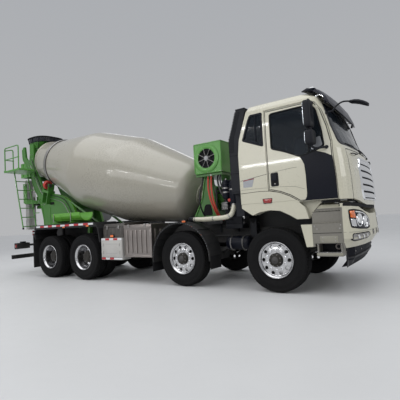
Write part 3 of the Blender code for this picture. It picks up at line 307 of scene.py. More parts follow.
M["hose"] = finish_mat("black_hose", (0.018, 0.018, 0.019), 0.55, var=0.15, rvar=0.15, bump=0.25, bump_scale=400.0)
M["hub"] = finish_mat("hub_enamel", (0.016, 0.014, 0.011), 0.38, coat=0.1, var=0.2, rvar=0.15, bump=0.08, dust=0.25,
                      dust_rgb=(0.06, 0.055, 0.045), dust_top=1.2, spec=0.3)
M["fabric"] = finish_mat("seat_cloth", (0.045, 0.046, 0.052), 0.88, var=0.2, rvar=0.1, bump=0.6, bump_scale=700.0, sheen=0.4)
M["dash"] = finish_mat("dash_plastic", (0.045, 0.045, 0.048), 0.60, var=0.12, rvar=0.1, bump=0.25, bump_scale=600.0)
M["mud"] = finish_mat("guard_plastic", (0.014, 0.014, 0.015), 0.58, var=0.2, rvar=0.2, bump=0.25, bump_scale=220.0, dust=0.7,
                      dust_rgb=(0.045, 0.043, 0.04), dust_top=1.5, soft_edge=0.006, spec=0.28)
# near-black rubber of seals and seams; the same near-black is also used as painted shade in pressed lines, the handle
# recess, the step edges and the gap under the cab's panel
M["seam_and_shade"] = finish_mat("seam_rubber_and_painted_shade", (0.009, 0.009, 0.010), 0.75, var=0.2, rvar=0.1, bump=0.2, spec=0.2)
M["tape_white"] = finish_mat("tape_white", (0.66, 0.67, 0.68), 0.30, coat=0.5, var=0.05, fine=120.0, rvar=0.1, bump=0.3, bump_scale=300.0)
M["tape_red"] = finish_mat("tape_red", (0.42, 0.012, 0.020), 0.30, coat=0.5, var=0.12, fine=120.0, rvar=0.1, bump=0.3, bump_scale=300.0)
M["plate"] = finish_mat("blank_plate", (0.30, 0.31, 0.33), 0.35, metal=0.5, var=0.06, rvar=0.1, bump=0.05)
M["amber"] = lens_mat("amber_lens", (0.80, 0.16, 0.015))
M["redlens"] = lens_mat("red_lens", (0.26, 0.012, 0.010))
M["clearlens"] = lens_mat("clear_lens", (0.75, 0.76, 0.77), ribs=60.0, rough=0.08)
M["lamp_glass"] = glass_mat("lamp_glass", (0.94, 0.95, 0.96), 0.95, 0.01)
M["glass"] = glass_mat("tinted_glass", (0.075, 0.095, 0.120), 0.85, 0.055, 1.16)
M["apron"] = finish_mat("apron_plastic", (0.0085, 0.0090, 0.0130), 0.55, var=0.2, rvar=0.15, bump=0.15, bump_scale=420.0, spec=0.06)
M["smoke"] = finish_mat("smoked_acrylic", (0.0085, 0.0090, 0.018), 0.30, coat=0.0, var=0.15, rvar=0.06, bump=0.02, spec=0.25)
M["mirror"] = finish_mat("mirror_glass", (0.62, 0.66, 0.70), 0.03, metal=1.0, var=0.03, rvar=0.02, bump=0.01, bump_scale=20.0)


def dress(node, key):
    o = NODES[node]
    if not o.material_slots:
        o.data.materials.append(M[key])
    for s in o.material_slots:
        s.material = M[key]


for names, key in (
        (("cab_shell", "door_right", "door_left", "front_panel"), "greige"),
        (("bumper",), "bumper"),
        (("drum",), "drum"),
        (("green_",), "green"),
        (("mixer_subframe",), "frame"),
        (("front_pedestal", "rear_pedestal"), "deep_green"),
        (("discharge_trough", "chute_swivel", "platform", "cooler_box"), "green"),
        (("extension_chute",), "lime"),
        (("chassis_frame",), "frame"),
        (("engine_block", "front_axle_1", "front_axle_2", "rear_bogie", "knuckle_1_right", "knuckle_1_left", "knuckle_2_right",
          "knuckle_2_left"), "steel"),
        (("windscreen", "door_glass_right", "door_glass_left"), "glass"),
        (("sun_visor",), "smoke"),
        (("intake_duct", "mirror_right", "mirror_left", "front_mirror", "cooler_fan"), "black"),
        (("hopper",), "funnel"),
        (("dashboard",), "dash"),
        (("driver_seat", "passenger_seat"), "fabric"),
        (("aftertreatment_box",), "stainless"),
        (("fuel_tank",), "aluminium"),
        (("side_locker",), "white"),
        (("mudguard_2_right", "mudguard_2_left", "rear_mudguard_right", "rear_mudguard_left"), "mud"),
        (("main_chute",), "galvanised"),
        (("water_tank",), "grey"),
        (("roller_right", "roller_left"), "red")):
    for n in names:
        if n in NODES:
            dress(n, key)


# ============================================================ mesh helpers
class Piece:
    """A mesh under construction in frame coordinates, with its list of finishes."""

    def __init__(self, name, *mats):
        self.name = name
        self.bm = bmesh.new()
        self.mats = list(mats)

    def _tag(self, faces, k):
        if k not in self.mats:
            self.mats.append(k)
        i = self.mats.index(k)
        for f in faces:
            f.material_index = i

    def _new(self, before):
        return [f for f in self.bm.faces if f not in before]

    def merge(self, bm, k, M4=None):
        """Add another bmesh, in finish k, placed by a matrix."""
        me = bpy.data.meshes.new("tmp")
        if M4 is not None:
            bmesh.ops.transform(bm, matrix=M4, verts=bm.verts)
        bm.to_mesh(me)
        bm.free()
        n = len(self.bm.faces)
        self.bm.from_mesh(me)
        self.bm.faces.ensure_lookup_table()
        self._tag(self.bm.faces[n:], k)
        bpy.data.meshes.remove(me)

    def box(self, x, y, z, k, r=0.004, seg=2, rot=None, about=None):
        """A block with rounded edges between stations x, and y, z."""
        bm = bmesh.new()
        bmesh.ops.create_cube(bm, size=1.0)
        s = (abs(x[1] - x[0]), abs(y[1] - y[0]), abs(z[1] - z[0]))
        bmesh.ops.scale(bm, vec=s, verts=bm.verts)
        r = min(r, min(s) * 0.45)
        if r > 0:
            bmesh.ops.bevel(bm, geom=bm.edges[:], offset=r, segments=seg, affect="EDGES", profile=0.5)
        c = P((x[0] + x[1]) / 2, (y[0] + y[1]) / 2, (z[0] + z[1]) / 2)
        m = Matrix.Translation(c)
        if rot is not None:
            p = Vector(about) if about is not None else c
            m = Matrix.Translation(p) @ rot.to_4x4() @ Matrix.Translation(-p) @ m
        self.merge(bm, k, m)

    def rod(self, a, b, r, k, r2=None, seg=16, bev=0.0):
        """A round bar, its ends a and b given in the frame."""
        a, b = Vector(a), Vector(b)
        bm = bmesh.new()
        bmesh.ops.create_cone(bm, cap_ends=True, cap_tris=False, segments=seg, radius1=r, radius2=r if r2 is None else r2,
                              depth=(b - a).length)
        if bev:
            ed = [e for e in bm.edges if abs(e.verts[0].co.z - e.verts[1].co.z) < 1e-6]
            bmesh.ops.bevel(bm, geom=ed, offset=bev, segments=2, affect="EDGES", profile=0.5)
        rot = (b - a).to_track_quat("Z", "Y").to_matrix().to_4x4()
        self.merge(bm, k, Matrix.Translation((a + b) / 2) @ rot)

    def lathe(self, profile, k, M4, steps=32, close=False, caps=True):
        """Turn (radius, height) points about +Z and place by M4."""
        bm = bmesh.new()
        rings = []
        for r, h in profile:
            if r < 1e-6:
                rings.append([bm.verts.new((0, 0, h))])
            else:
                rings.append([bm.verts.new((r * math.cos(math.tau * i / steps), r * math.sin(math.tau * i / steps), h))
                              for i in range(steps)])
        pairs = list(zip(rings, rings[1:]))
        if close:
            pairs.append((rings[-1], rings[0]))
        for a, b in pairs:
            for i in range(steps):
                j = (i + 1) % steps
                if len(a) == 1 and len(b) == 1:
                    continue
                if len(a) == 1:
                    bm.faces.new((a[0], b[i], b[j]))
                elif len(b) == 1:
                    bm.faces.new((a[j], a[i], b[0]))
                else:
                    bm.faces.new((a[j], a[i], b[i], b[j]))
        bmesh.ops.recalc_face_normals(bm, faces=bm.faces)
        self.merge(bm, k, M4)

    def pipe(self, pts, r, k, seg=10, closed=False, flat=None):
        """A round or flat section carried along points given in the frame."""
        pts = [Vector(p) for p in pts]
        n = len(pts)
        bm = bmesh.new()
        rings = []
        prev = None
        for i, p in enumerate(pts):
            if closed:
                d = (pts[(i + 1) % n] - pts[i - 1])
            else:
                d = pts[min(i + 1, n - 1)] - pts[max(i - 1, 0)]
            d.normalize()
            if prev is None:
                u = d.orthogonal().normalized()
                if flat:
                    u = (Vector(flat) - d * d.dot(Vector(flat))).normalized()
            else:
                u = (prev - d * prev.dot(d)).normalized()
                if flat:
                    u = (Vector(flat) - d * d.dot(Vector(flat))).normalized()
            prev = u
            v = d.cross(u)
            ru, rv = r if isinstance(r, tuple) else (r, r)
            rings.append([bm.verts.new(p + u * ru * math.cos(math.tau * j / seg) + v * rv * math.sin(math.tau * j / seg))
                          for j in range(seg)])
        pairs = list(zip(rings, rings[1:])) + ([(rings[-1], rings[0])] if closed else [])
        for a, b in pairs:
            for j in range(seg):
                bm.faces.new((a[j], a[(j + 1) % seg], b[(j + 1) % seg], b[j]))
        if not closed:
            bm.faces.new(list(reversed(rings[0])))
            bm.faces.new(rings[-1])
        bmesh.ops.recalc_face_normals(bm, faces=bm.faces)
        self.merge(bm, k)

    def prism(self, outline, axis, lo, hi, k, r=0.0, seg=2, M4=None):
        """An outline in the other two coordinates (stations for x), thickened along an axis."""
        bm = bmesh.new()

        def at(p, w):
            q = {"x": (w, p[0], p[1]), "y": (p[0], w, p[1]), "z": (p[0], p[1], w)}[axis]
            return P(*q)
        lo_v = [bm.verts.new(at(p, lo)) for p in outline]
        hi_v = [bm.verts.new(at(p, hi)) for p in outline]
        n = len(outline)
        fa = bm.faces.new(lo_v)
        fb = bm.faces.new(list(reversed(hi_v)))
        for i in range(n):
            j = (i + 1) % n
            bm.faces.new((lo_v[j], lo_v[i], hi_v[i], hi_v[j]))
        bmesh.ops.recalc_face_normals(bm, faces=bm.faces)
        if r > 0:
            ed = list({e for f in (fa, fb) for e in f.edges})
            bmesh.ops.bevel(bm, geom=ed, offset=r, segments=seg, affect="EDGES", profile=0.5, clamp_overlap=True)
        self.merge(bm, k, M4)

    def sheet(self, grid, k, thick=0.0, closed_u=False):
        """A surface through rows of points in the frame, thickened along its normal."""
        bm = bmesh.new()
        vs = [[bm.verts.new(p) for p in row] for row in grid]
        for a, b in zip(vs, vs[1:]):
            m = len(a)
            for j in range(m if closed_u else m - 1):
                bm.faces.new((a[j], a[(j + 1) % m], b[(j + 1) % m], b[j]))
        if thick:
            bm.normal_update()
            bmesh.ops.solidify(bm, geom=bm.faces[:], thickness=thick)
        self.merge(bm, k)

    def bolts(self, pts, normal, r, h, k, six=True):
        for p in pts:
            p = Vector(p)
            n = Vector(normal).normalized()
            self.rod(p - n * 0.002, p + n * h * 0.25, r * 1.35, k, seg=16)
            self.rod(p + n * h * 0.2, p + n * h, r, k, seg=6 if six else 14, bev=r * 0.12)

    def done(self, body, smooth=34.0, subsurf=0, slot=None, weld=False):
        bm = self.bm
        if weld:
            bmesh.ops.remove_doubles(bm, verts=bm.verts, dist=1e-5)
        bmesh.ops.recalc_face_normals(bm, faces=bm.faces)
        me = bpy.data.meshes.new(self.name)
        bm.to_mesh(me)
        bm.free()
        for k in self.mats:
            me.materials.append(M[k])
        o = bpy.data.objects.new(self.name, me)
        bpy.context.scene.collection.objects.link(o)
        me.shade_smooth()
        me.set_sharp_from_angle(angle=math.radians(smooth))
        if subsurf:
            s = o.modifiers.new("smooth", "SUBSURF")
            s.levels = s.render_levels = subsurf
        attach(o, body)
        return o


def spline(pts, n=8):
    """Catmull-Rom points through the given ones."""
    pts = [Vector(p) for p in pts]
    q = [pts[0] * 2 - pts[1]] + pts + [pts[-1] * 2 - pts[-2]]
    out = []
    for i in range(1, len(q) - 2):
        a, b, c, d = q[i - 1], q[i], q[i + 1], q[i + 2]
        for j in range(n):
            t = j / n
            out.append(0.5 * ((2 * b) + (c - a) * t + (2 * a - 5 * b + 4 * c - d) * t * t + (3 * b - a - 3 * c + d) * t ** 3))
    out.append(pts[-1])
    return out


def arc(c, r, a0, a1, n):
    return [(c[0] + r * math.cos(math.radians(a0 + (a1 - a0) * i / n)),
             c[1] + r * math.sin(math.radians(a0 + (a1 - a0) * i / n))) for i in range(n + 1)]


def round_path(pts, r, n=4, closed=False):
    """Round the corners of a 2-D path."""
    pts = [Vector(p) for p in pts]
    m = len(pts)
    out = []
    for i in range(m):
        if not closed and i in (0, m - 1):
            out.append(pts[i])
            continue
        a, b, c = pts[i - 1], pts[i], pts[(i + 1) % m]
        d = min(r, (a - b).length * 0.45, (c - b).length * 0.45)
        u, v = (a - b).normalized(), (c - b).normalized()
        for k in range(n + 1):
            t = k / n
            out.append((b + u * d) * (1 - t) ** 2 + b * 2 * t * (1 - t) + (b + v * d) * t * t)
    return [tuple(p) for p in out]


_trees = {}


def tree(*names):
    if names not in _trees:
        vs, fs = [], []
        for n in names:
            me = NODES[n].data
            k = len(vs)
            vs += [v.co.copy() for v in me.vertices]
            fs += [tuple(i + k for i in p.vertices) for p in me.polygons]
        _trees[names] = BVHTree.FromPolygons(vs, fs)
    return _trees[names]


def cast(names, origin, direction, far=10.0):
    h = tree(*names).ray_cast(Vector(origin), Vector(direction).normalized(), far)
    return h[0], h[1]


# the cab's sections, to lay trim on its skin
CAB = ((1.30, 1.36, -0.52, 1.240, 1.0), (1.80, 1.345, -0.52, 1.245, 1.0), (2.08, 1.315, -0.52, 1.245, 0.95),
       (2.24, 1.27, -0.52, 1.245, 0.80), (2.36, 1.20, -0.52, 1.245, 0.65), (2.62, 1.09, -0.49, 1.245, 0.55),
       (2.92, 0.995, -0.39, 1.235, 0.45), (3.10, 0.93, -0.345, 1.20, 0.50), (3.19, 0.84, -0.31, 1.12, 0.80),
       (3.25, 0.68, -0.24, 0.98, 1.0))
BOW = ((1.0, 0.27), (0.975, 0.20), (0.93, 0.145), (0.86, 0.105), (0.72, 0.065), (0.45, 0.025), (0.18, 0.004))


def cab_row(z):
    """Half outline of the cab at a height: (x, y) from the back corner to the middle of the front."""
    z = min(max(z, CAB[0][0]), CAB[-1][0])
    for a, b in zip(CAB, CAB[1:]):
        if z <= b[0]:
            t = (z - a[0]) / (b[0] - a[0])
            rows = []
            for q in (a, b):
                _, xf, xr, w, f = q
                rows.append([(xr, w)] + [(xf - s * f, w * k) for k, s in BOW] + [(xf, 0.0)])
            return [((1 - t) * p[0] + t * q[0], (1 - t) * p[1] + t * q[1]) for p, q in zip(*rows)]
    return []


def cab_y(x, z):
    """Half width of the cab's skin at a station and height."""
    row = cab_row(z)
    if x <= row[0][0]:
        return row[0][1]
    for p, q in zip(row, row[1:]):
        if x <= q[0]:
            t = (x - p[0]) / max(q[0] - p[0], 1e-9)
            return p[1] + t * (q[1] - p[1])
    return 0.0


def cab_x(y, z):
    """Station of the cab's front skin at a distance from the middle and a height."""
    row = cab_row(z)[::-1]
    y = abs(y)
    for p, q in zip(row, row[1:]):
        if y <= q[1]:
            t = (y - p[1]) / max(q[1] - p[1], 1e-9)
            return p[0] + t * (q[0] - p[0])
    return row[-2][0]


def skin_side(x, z, s, proud=0.0):
    y = cab_y(x, z) + proud
    return P(x, s * y, z)


def skin_front(y, z, proud=0.0):
    return P(cab_x(y, z) + proud, y, z)


def densify(path, step, closed=False):
    path = [Vector(p) for p in path]
    pairs = list(zip(path, path[1:])) + ([(path[-1], path[0])] if closed else [])
    out = []
    for a, b in pairs:
        n = max(1, int((b - a).length / step))
        out += [a.lerp(b, i / n) for i in range(n)]
    if not closed:
        out.append(path[-1])
    return out


def strip(piece, path, w0, w1, skin, k, proud=0.003, deep=0.006, closed=False, step=0.04, crown=True):
    """A flat bead laid on a skin along a 2-D path; w0 and w1 are its edges to either side of the path."""
    pts = densify(path, step, closed)
    n = len(pts)
    rows = []
    for i, p in enumerate(pts):
        a = pts[i - 1] if (closed or i > 0) else pts[0]
        b = pts[(i + 1) % n] if (closed or i < n - 1) else pts[-1]
        d = (b - a).normalized()
        # mitre at corners
        nrm = Vector((-d.y, d.x))
        e, f = p + nrm * w0, p + nrm * w1
        e1, f1 = p + nrm * (w0 + (w1 - w0) * 0.2), p + nrm * (w0 + (w1 - w0) * 0.8)
        if crown:
            rows.append([skin(e.x, e.y, -deep), skin(e.x, e.y, proud * 0.4), skin(e1.x, e1.y, proud), skin(f1.x, f1.y, proud),
                         skin(f.x, f.y, proud * 0.4), skin(f.x, f.y, -deep)])
        else:
            rows.append([skin(e.x, e.y, -deep), skin(e.x, e.y, proud), skin(f.x, f.y, proud), skin(f.x, f.y, -deep)])
    bm = bmesh.new()
    vs = [[bm.verts.new(q) for q in row] for row in rows]
    m = len(vs[0])
    pairs = list(zip(vs, vs[1:])) + ([(vs[-1], vs[0])] if closed else [])
    for a, b in pairs:
        for j in range(m):
            bm.faces.new((a[j], a[(j + 1) % m], b[(j + 1) % m], b[j]))
    if not closed:
        bm.faces.new(vs[0])
        bm.faces.new(vs[-1])
    bmesh.ops.recalc_face_normals(bm, faces=bm.faces)
    piece.merge(bm, k)


def patch(piece, outline, skin, k, proud=0.002, deep=0.008, step=0.05, r=0.0):
    """A filled outline laid on a skin, cut into a grid so that it follows the curve."""
    bm = bmesh.new()
    vs = [bm.verts.new((p[0], p[1], 0)) for p in outline]
    bm.faces.new(vs)
    xs = [p[0] for p in outline]
    ys = [p[1] for p in outline]
    for axis, lo, hi in ((0, min(xs), max(xs)), (1, min(ys), max(ys))):
        n = int((hi - lo) / step)
        for i in range(1, n + 1):
            co = [0, 0, 0]
            co[axis] = lo + (hi - lo) * i / (n + 1)
            no = [0, 0, 0]
            no[axis] = 1
            bmesh.ops.bisect_plane(bm, geom=bm.verts[:] + bm.edges[:] + bm.faces[:], plane_co=co, plane_no=no, dist=1e-6)
    ext = bmesh.ops.extrude_face_region(bm, geom=bm.faces[:])
    top = {v for v in ext["geom"] if isinstance(v, bmesh.types.BMVert)}
    for v in bm.verts:
        v.co = skin(v.co.x, v.co.y, proud if v in top else -deep)
    bmesh.ops.recalc_face_normals(bm, faces=bm.faces)
    if r:
        ed = [e for e in bm.edges if len(e.link_faces) == 2 and e.calc_face_angle(0) > 1.0
              and all(v in top for v in e.verts)]
        bmesh.ops.bevel(bm, geom=ed, offset=r, segments=2, affect="EDGES", profile=0.5, clamp_overlap=True)
    piece.merge(bm, k)


def to_y(side, x, y, z):
    """Stands a turned piece's +Z outwards along side * Y at a station."""
    q = Vector((0, side, 0)).to_track_quat("Z", "X")
    return Matrix.Translation(P(x, y, z)) @ q.to_matrix().to_4x4()


# ================================================================== wheels
def tyre_bm(width=0.300, steps=180):
    """One tyre about +Z: ribbed tread with notched shoulders, and a sidewall with raised rings."""
    h = width / 2
    side = [(0.292, h * 0.70), (0.300, h * 0.80), (0.318, h * 0.86), (0.324, h * 0.895), (0.331, h * 0.895), (0.336, h * 0.88),
            (0.375, h * 0.955), (0.410, h * 0.992), (0.416, h * 1.0), (0.424, h * 1.0), (0.430, h * 0.990), (0.462, h * 0.972),
            (0.490, h * 0.945), (0.494, h * 0.955), (0.502, h * 0.950), (0.507, h * 0.925), (0.524, h * 0.885)]
    tread_z = [0.122, 0.112, 0.095, 0.0885, 0.0775, 0.071, 0.050, 0.036, 0.030, 0.0195, 0.0135, 0.0]
    groove = {0.0885: 1, 0.0775: 1, 0.030: 1, 0.0195: 1}
    bm = bmesh.new()
    cols = []
    for i in range(steps):
        a = math.tau * i / steps
        ca, sa = math.cos(a), math.sin(a)
        ring = []
        notch = (i % 3) == 0
        for r, z in side:
            rr = r - (0.005 if notch and r > 0.505 else 0.0)
            ring.append((rr, z))
        for z in tread_z:
            rr = TYRE_R - 0.012 * (z / 0.122) ** 4
            zz = z
            if z in groove:
                rr -= 0.013
            elif 0.0 < z <= 0.071:
                zz = z + 0.003 * math.sin(a * 30)
            if notch and z >= 0.095:
                rr -= 0.010
            if (i % 6) == 0 and z < 0.0195:
                rr -= 0.004
            ring.append((rr, zz))
        full = ring + [(r, -z) for r, z in reversed(ring[:-1])]
        cols.append([bm.verts.new((r * ca, r * sa, z)) for r, z in full])
    n = len(cols[0])
    for i in range(steps):
        a, b = cols[i], cols[(i + 1) % steps]
        for j in range(n - 1):
            bm.faces.new((a[j], b[j], b[j + 1], a[j + 1]))
        bm.faces.new((a[n - 1], b[n - 1], b[0], a[0]))
    bmesh.ops.recalc_face_normals(bm, faces=bm.faces)
    return bm


def disc_bm(profile, holes, hole_r, ring_r, depth, steps=60):
    """A turned wheel disc with a ring of round hand holes cut through it."""
    def turned(prof, n):
        bm = bmesh.new()
        rings = [[bm.verts.new((r * math.cos(math.tau * i / n), r * math.sin(math.tau * i / n), h)) for i in range(n)]
                 for r, h in prof]
        for a, b in zip(rings, rings[1:] + rings[:1]):
            for i in range(n):
                bm.faces.new((a[i], a[(i + 1) % n], b[(i + 1) % n], b[i]))
        bmesh.ops.recalc_face_normals(bm, faces=bm.faces)
        return bm
    bm = turned(profile, steps)
    me = bpy.data.meshes.new("disc")
    bm.to_mesh(me)
    bm.free()
    o = bpy.data.objects.new("disc", me)
    bpy.context.scene.collection.objects.link(o)
    bm = bmesh.new()
    for k in range(holes):
        a = math.tau * (k + 0.5) / holes
        bmesh.ops.create_cone(bm, cap_ends=True, segments=18, radius1=hole_r, radius2=hole_r, depth=0.3,
                              matrix=Matrix.Translation((ring_r * math.cos(a), ring_r * math.sin(a), depth)))
    me2 = bpy.data.meshes.new("holes")
    bm.to_mesh(me2)
    bm.free()
    c = bpy.data.objects.new("holes", me2)
    bpy.context.scene.collection.objects.link(c)
    md = o.modifiers.new("cut", "BOOLEAN")
    md.operation, md.object, md.solver = "DIFFERENCE", c, "EXACT"
    bpy.context.view_layer.update()
    out = bpy.data.meshes.new_from_object(o.evaluated_get(bpy.context.evaluated_depsgraph_get()))
    for q in (o, c):
        d = q.data
        bpy.data.objects.remove(q)
        bpy.data.meshes.remove(d)
    bm = bmesh.new()
    bm.from_mesh(out)
    bpy.data.meshes.remove(out)
    ed = [e for e in bm.edges if len(e.link_faces) == 2 and e.calc_face_angle(0) > 0.9
          and all(abs(math.hypot(v.co.x, v.co.y) - ring_r) < hole_r + 0.002 for v in e.verts)]
    bmesh.ops.bevel(bm, geom=ed, offset=0.0025, segments=2, affect="EDGES", profile=0.5, clamp_overlap=True)
    return bm


TYRE = tyre_bm()
TYRE_ME = bpy.data.meshes.new("tyre")
TYRE.to_mesh(TYRE_ME)
TYRE.free()
FRONT_DISC = disc_bm([(0.292, 0.112), (0.3015, 0.128), (0.3035, 0.138), (0.300, 0.1415), (0.294, 0.140), (0.288, 0.131), (0.276, 0.124),
                      (0.268, 0.112), (0.264, 0.098), (0.256, 0.094), (0.205, 0.103), (0.186, 0.108), (0.140, 0.110), (0.128, 0.112),
                      (0.118, 0.110), (0.118, 0.080), (0.190, 0.080), (0.246, 0.072), (0.255, 0.040), (0.262, -0.095),
                      (0.285, -0.112), (0.300, -0.135), (0.302, -0.128), (0.291, -0.105), (0.272, -0.085), (0.268, 0.040), (0.286, 0.104)],
                     10, 0.0310, 0.2245, 0.09)
REAR_DISC = disc_bm([(0.292, 0.285), (0.3015, 0.301), (0.3035, 0.309), (0.300, 0.3135), (0.293, 0.312), (0.287, 0.303), (0.275, 0.294),
                     (0.266, 0.280), (0.262, 0.262), (0.262, 0.150), (0.256, 0.120), (0.248, 0.075), (0.238, 0.058), (0.205, 0.050),
                     (0.118, 0.052), (0.118, 0.022), (0.200, 0.020), (0.246, 0.030), (0.268, 0.12), (0.286, 0.27)],
                    10, 0.0250, 0.216, 0.03)
DISC_ME = {}
for nm, bm_ in (("front", FRONT_DISC), ("rear", REAR_DISC)):
    DISC_ME[nm] = bpy.data.meshes.new(nm + "_disc")
    bm_.to_mesh(DISC_ME[nm])
    bm_.free()


def add_mesh(piece, me, k, M4):
    bm = bmesh.new()
    bm.from_mesh(me)
    piece.merge(bm, k, M4)


def wheel_nuts(piece, M4, r, h, k="chrome", n=10, size=0.0155):
    q = M4.to_3x3()
    for i in range(n):
        a = math.tau * i / n
        c = M4 @ Vector((r * math.cos(a), r * math.sin(a), h))
        d = q @ Vector((0, 0, 1))
        piece.rod(c, c + d * 0.006, size * 1.35, k, seg=14)
        piece.rod(c + d * 0.005, c + d * 0.027, size, k, seg=6, bev=0.002)
        piece.rod(c + d * 0.024, c + d * 0.040, size * 0.55, "bare_steel", seg=10, bev=0.002)


def hub_cap(piece, M4, r, z0, z1):
    """A dark hub with a bolted cover."""
    piece.lathe([(r, z0), (r, z1 - 0.030), (r - 0.006, z1 - 0.018), (r - 0.020, z1 - 0.014), (r - 0.034, z1 - 0.014),
                 (r - 0.038, z1 - 0.004), (r - 0.044, z1), (0.030, z1), (0.026, z1 - 0.005), (0.0, z1 - 0.005)],
                "hub", M4, steps=40)
    q = M4.to_3x3()
    d = q @ Vector((0, 0, 1))
    for i in range(8):
        a = math.tau * (i + 0.5) / 8
        c = M4 @ Vector(((r - 0.017) * math.cos(a), (r - 0.017) * math.sin(a), z1 - 0.016))
        piece.rod(c, c + d * 0.009, 0.0068, "bare_steel", seg=6, bev=0.001)


for i, ax in enumerate(AXLES[:2], 1):
    for tag, s in SIDES:
        m4 = to_y(s, ax, s * FRONT_TRACK, TYRE_R)
        body = f"front_wheel_{i}_{tag}_body"
        p = Piece(f"tyre_front_{i}_{tag}", "rubber")
        add_mesh(p, TYRE_ME, "rubber", m4)
        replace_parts(p.done(body, 40, slot="rubber"), f"front_tyre_{i}_{tag}")
        p = Piece(f"alloy_front_{i}_{tag}", "aluminium", "chrome", "hub", "bare_steel", "alloy_front")
        add_mesh(p, DISC_ME["front"], "alloy_front", m4)
        wheel_nuts(p, m4, 0.1675, 0.109)
        hub_cap(p, m4, 0.112, 0.060, 0.172)
        # valve and a balance weight on the flange
        q = m4.to_3x3()
        v0 = m4 @ Vector((0.0, 0.262, 0.100))
        p.rod(v0, v0 + q @ Vector((0, -0.020, 0.055)), 0.004, "bare_steel", seg=8)
        p.rod(m4 @ Vector((0.02, -0.284, 0.134)), m4 @ Vector((-0.02, -0.284, 0.134)), 0.006, "bare_steel", seg=8)
        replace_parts(p.done(body, 38, slot="aluminium"), f"front_rim_{i}_{tag}")
for i, ax in enumerate(AXLES[2:], 1):
    for tag, s in SIDES:
        m4 = to_y(s, ax, s * REAR_TRACK, TYRE_R)
        body = f"rear_wheels_{i}_{tag}_body"
        p = Piece(f"tyres_rear_{i}_{tag}", "rubber")
        for off in (0.170, -0.170):
            add_mesh(p, TYRE_ME, "rubber", m4 @ Matrix.Translation((0, 0, off)))
        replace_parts(p.done(body, 40, slot="rubber"), f"rear_wheels_{i}_{tag}")
        p = Piece(f"alloys_rear_{i}_{tag}", "aluminium", "chrome", "hub", "bare_steel")
        add_mesh(p, DISC_ME["rear"], "aluminium", m4)
        # inner rim of the pair, with the drum behind it
        p.lathe([(0.302, -0.312), (0.288, -0.300), (0.264, -0.285), (0.258, -0.02), (0.200, 0.018), (0.120, 0.018), (0.120, 0.002),
                 (0.235, 0.0), (0.250, -0.05), (0.250, -0.285), (0.268, -0.305), (0.290, -0.316)], "frame", m4, steps=40, close=True)
        p.lathe([(0.0, -0.02), (0.205, -0.02), (0.205, -0.24), (0.0, -0.24)], "steel", m4, steps=32)
        wheel_nuts(p, m4, 0.1675, 0.051, size=0.016)
        hub_cap(p, m4, 0.146, 0.020, 0.215)
        p.done(body, 38, slot="aluminium")

# ==================================================================== drum
DRUM_TILT = math.radians(15.5)
DRUM_O = P(-7.08, 0.0, 3.245)
D_AX = Vector((-math.cos(DRUM_TILT), 0, math.sin(DRUM_TILT)))
DRUM_M = Matrix.Translation(DRUM_O) @ D_AX.to_track_quat("Z", "Y").to_matrix().to_4x4()


def fillet(points, radii, n=6):
    """Round the corners of an open profile, each by its own radius."""
    pts = [Vector(p) for p in points]
    out = [tuple(pts[0])]
    for i in range(1, len(pts) - 1):
        a, b, c = pts[i - 1], pts[i], pts[i + 1]
        r = radii.get(i, 0.0)
        if not r:
            out.append(tuple(b))
            continue
        d = min(r, (a - b).length * 0.48, (c - b).length * 0.48)
        u, v = (a - b).normalized(), (c - b).normalized()
        for k in range(n + 1):
            t = k / n
            out.append(tuple((b + u * d) * (1 - t) ** 2 + b * 2 * t * (1 - t) + (b + v * d) * t * t))
    out.append(tuple(pts[-1]))
    return out


shell = [(0.0, -5.185), (0.30, -5.175), (0.68, -5.06), (1.089, -3.21), (1.089, -1.60), (0.745, -0.135), (0.728, -0.060),
         (0.728, 0.060), (0.718, 0.105), (0.610, 0.60), (0.585, 0.72), (0.588, 0.768), (0.560, 0.768), (0.556, 0.72),
         (0.585, 0.60), (0.70, 0.0), (1.055, -1.62), (1.055, -3.18), (0.64, -4.98), (0.0, -5.12)]
prof = fillet(shell, {2: 0.30, 3: 0.16, 4: 0.18, 5: 0.05, 9: 0.10, 14: 0.06, 16: 0.1, 17: 0.1, 18: 0.1}, 8)
d = Piece("drum_shell", "drum", "frame", "steel", "bare_steel")
d.lathe(prof, "drum", DRUM_M, steps=144)
# track ring, ground bright where the rollers run
d.lathe([(0.722, -0.050), (0.740, -0.050), (0.7445, -0.044), (0.7445, 0.044), (0.740, 0.050), (0.722, 0.050)], "steel", DRUM_M, steps=144)
d.lathe([(0.7440, -0.036), (0.7452, -0.034), (0.7452, 0.034), (0.7440, 0.036)], "bare_steel", DRUM_M, steps=144)
# weld beads round the shell where its courses meet
for r, h in ((1.0885, -3.20), (1.0895, -2.40), (1.0885, -1.61), (0.905, -0.795), (0.885, -4.14), (0.640, 0.485)):
    prof_r = [(r - 0.004, h - 0.012), (r + 0.0005, h - 0.006), (r + 0.0022, h), (r + 0.0005, h + 0.006), (r - 0.004, h + 0.012)]
    # sit the bead on the real profile
    rr = None
    for p, q in zip(prof, prof[1:]):
        if (p[1] - h) * (q[1] - h) <= 0 and abs(q[1] - p[1]) > 1e-9:
            t = (h - p[1]) / (q[1] - p[1])
            rr = max(rr or 0, p[0] + t * (q[0] - p[0]))
    prof_r = [(a - r + rr, b) for a, b in prof_r]
    d.lathe(prof_r, "drum", DRUM_M, steps=144)
# rolled lip of the mouth with its stiffener
d.lathe([(0.586, 0.700), (0.600, 0.705), (0.604, 0.716), (0.604, 0.748), (0.598, 0.762), (0.588, 0.766), (0.560, 0.766), (0.556, 0.755)],
        "drum", DRUM_M, steps=120)
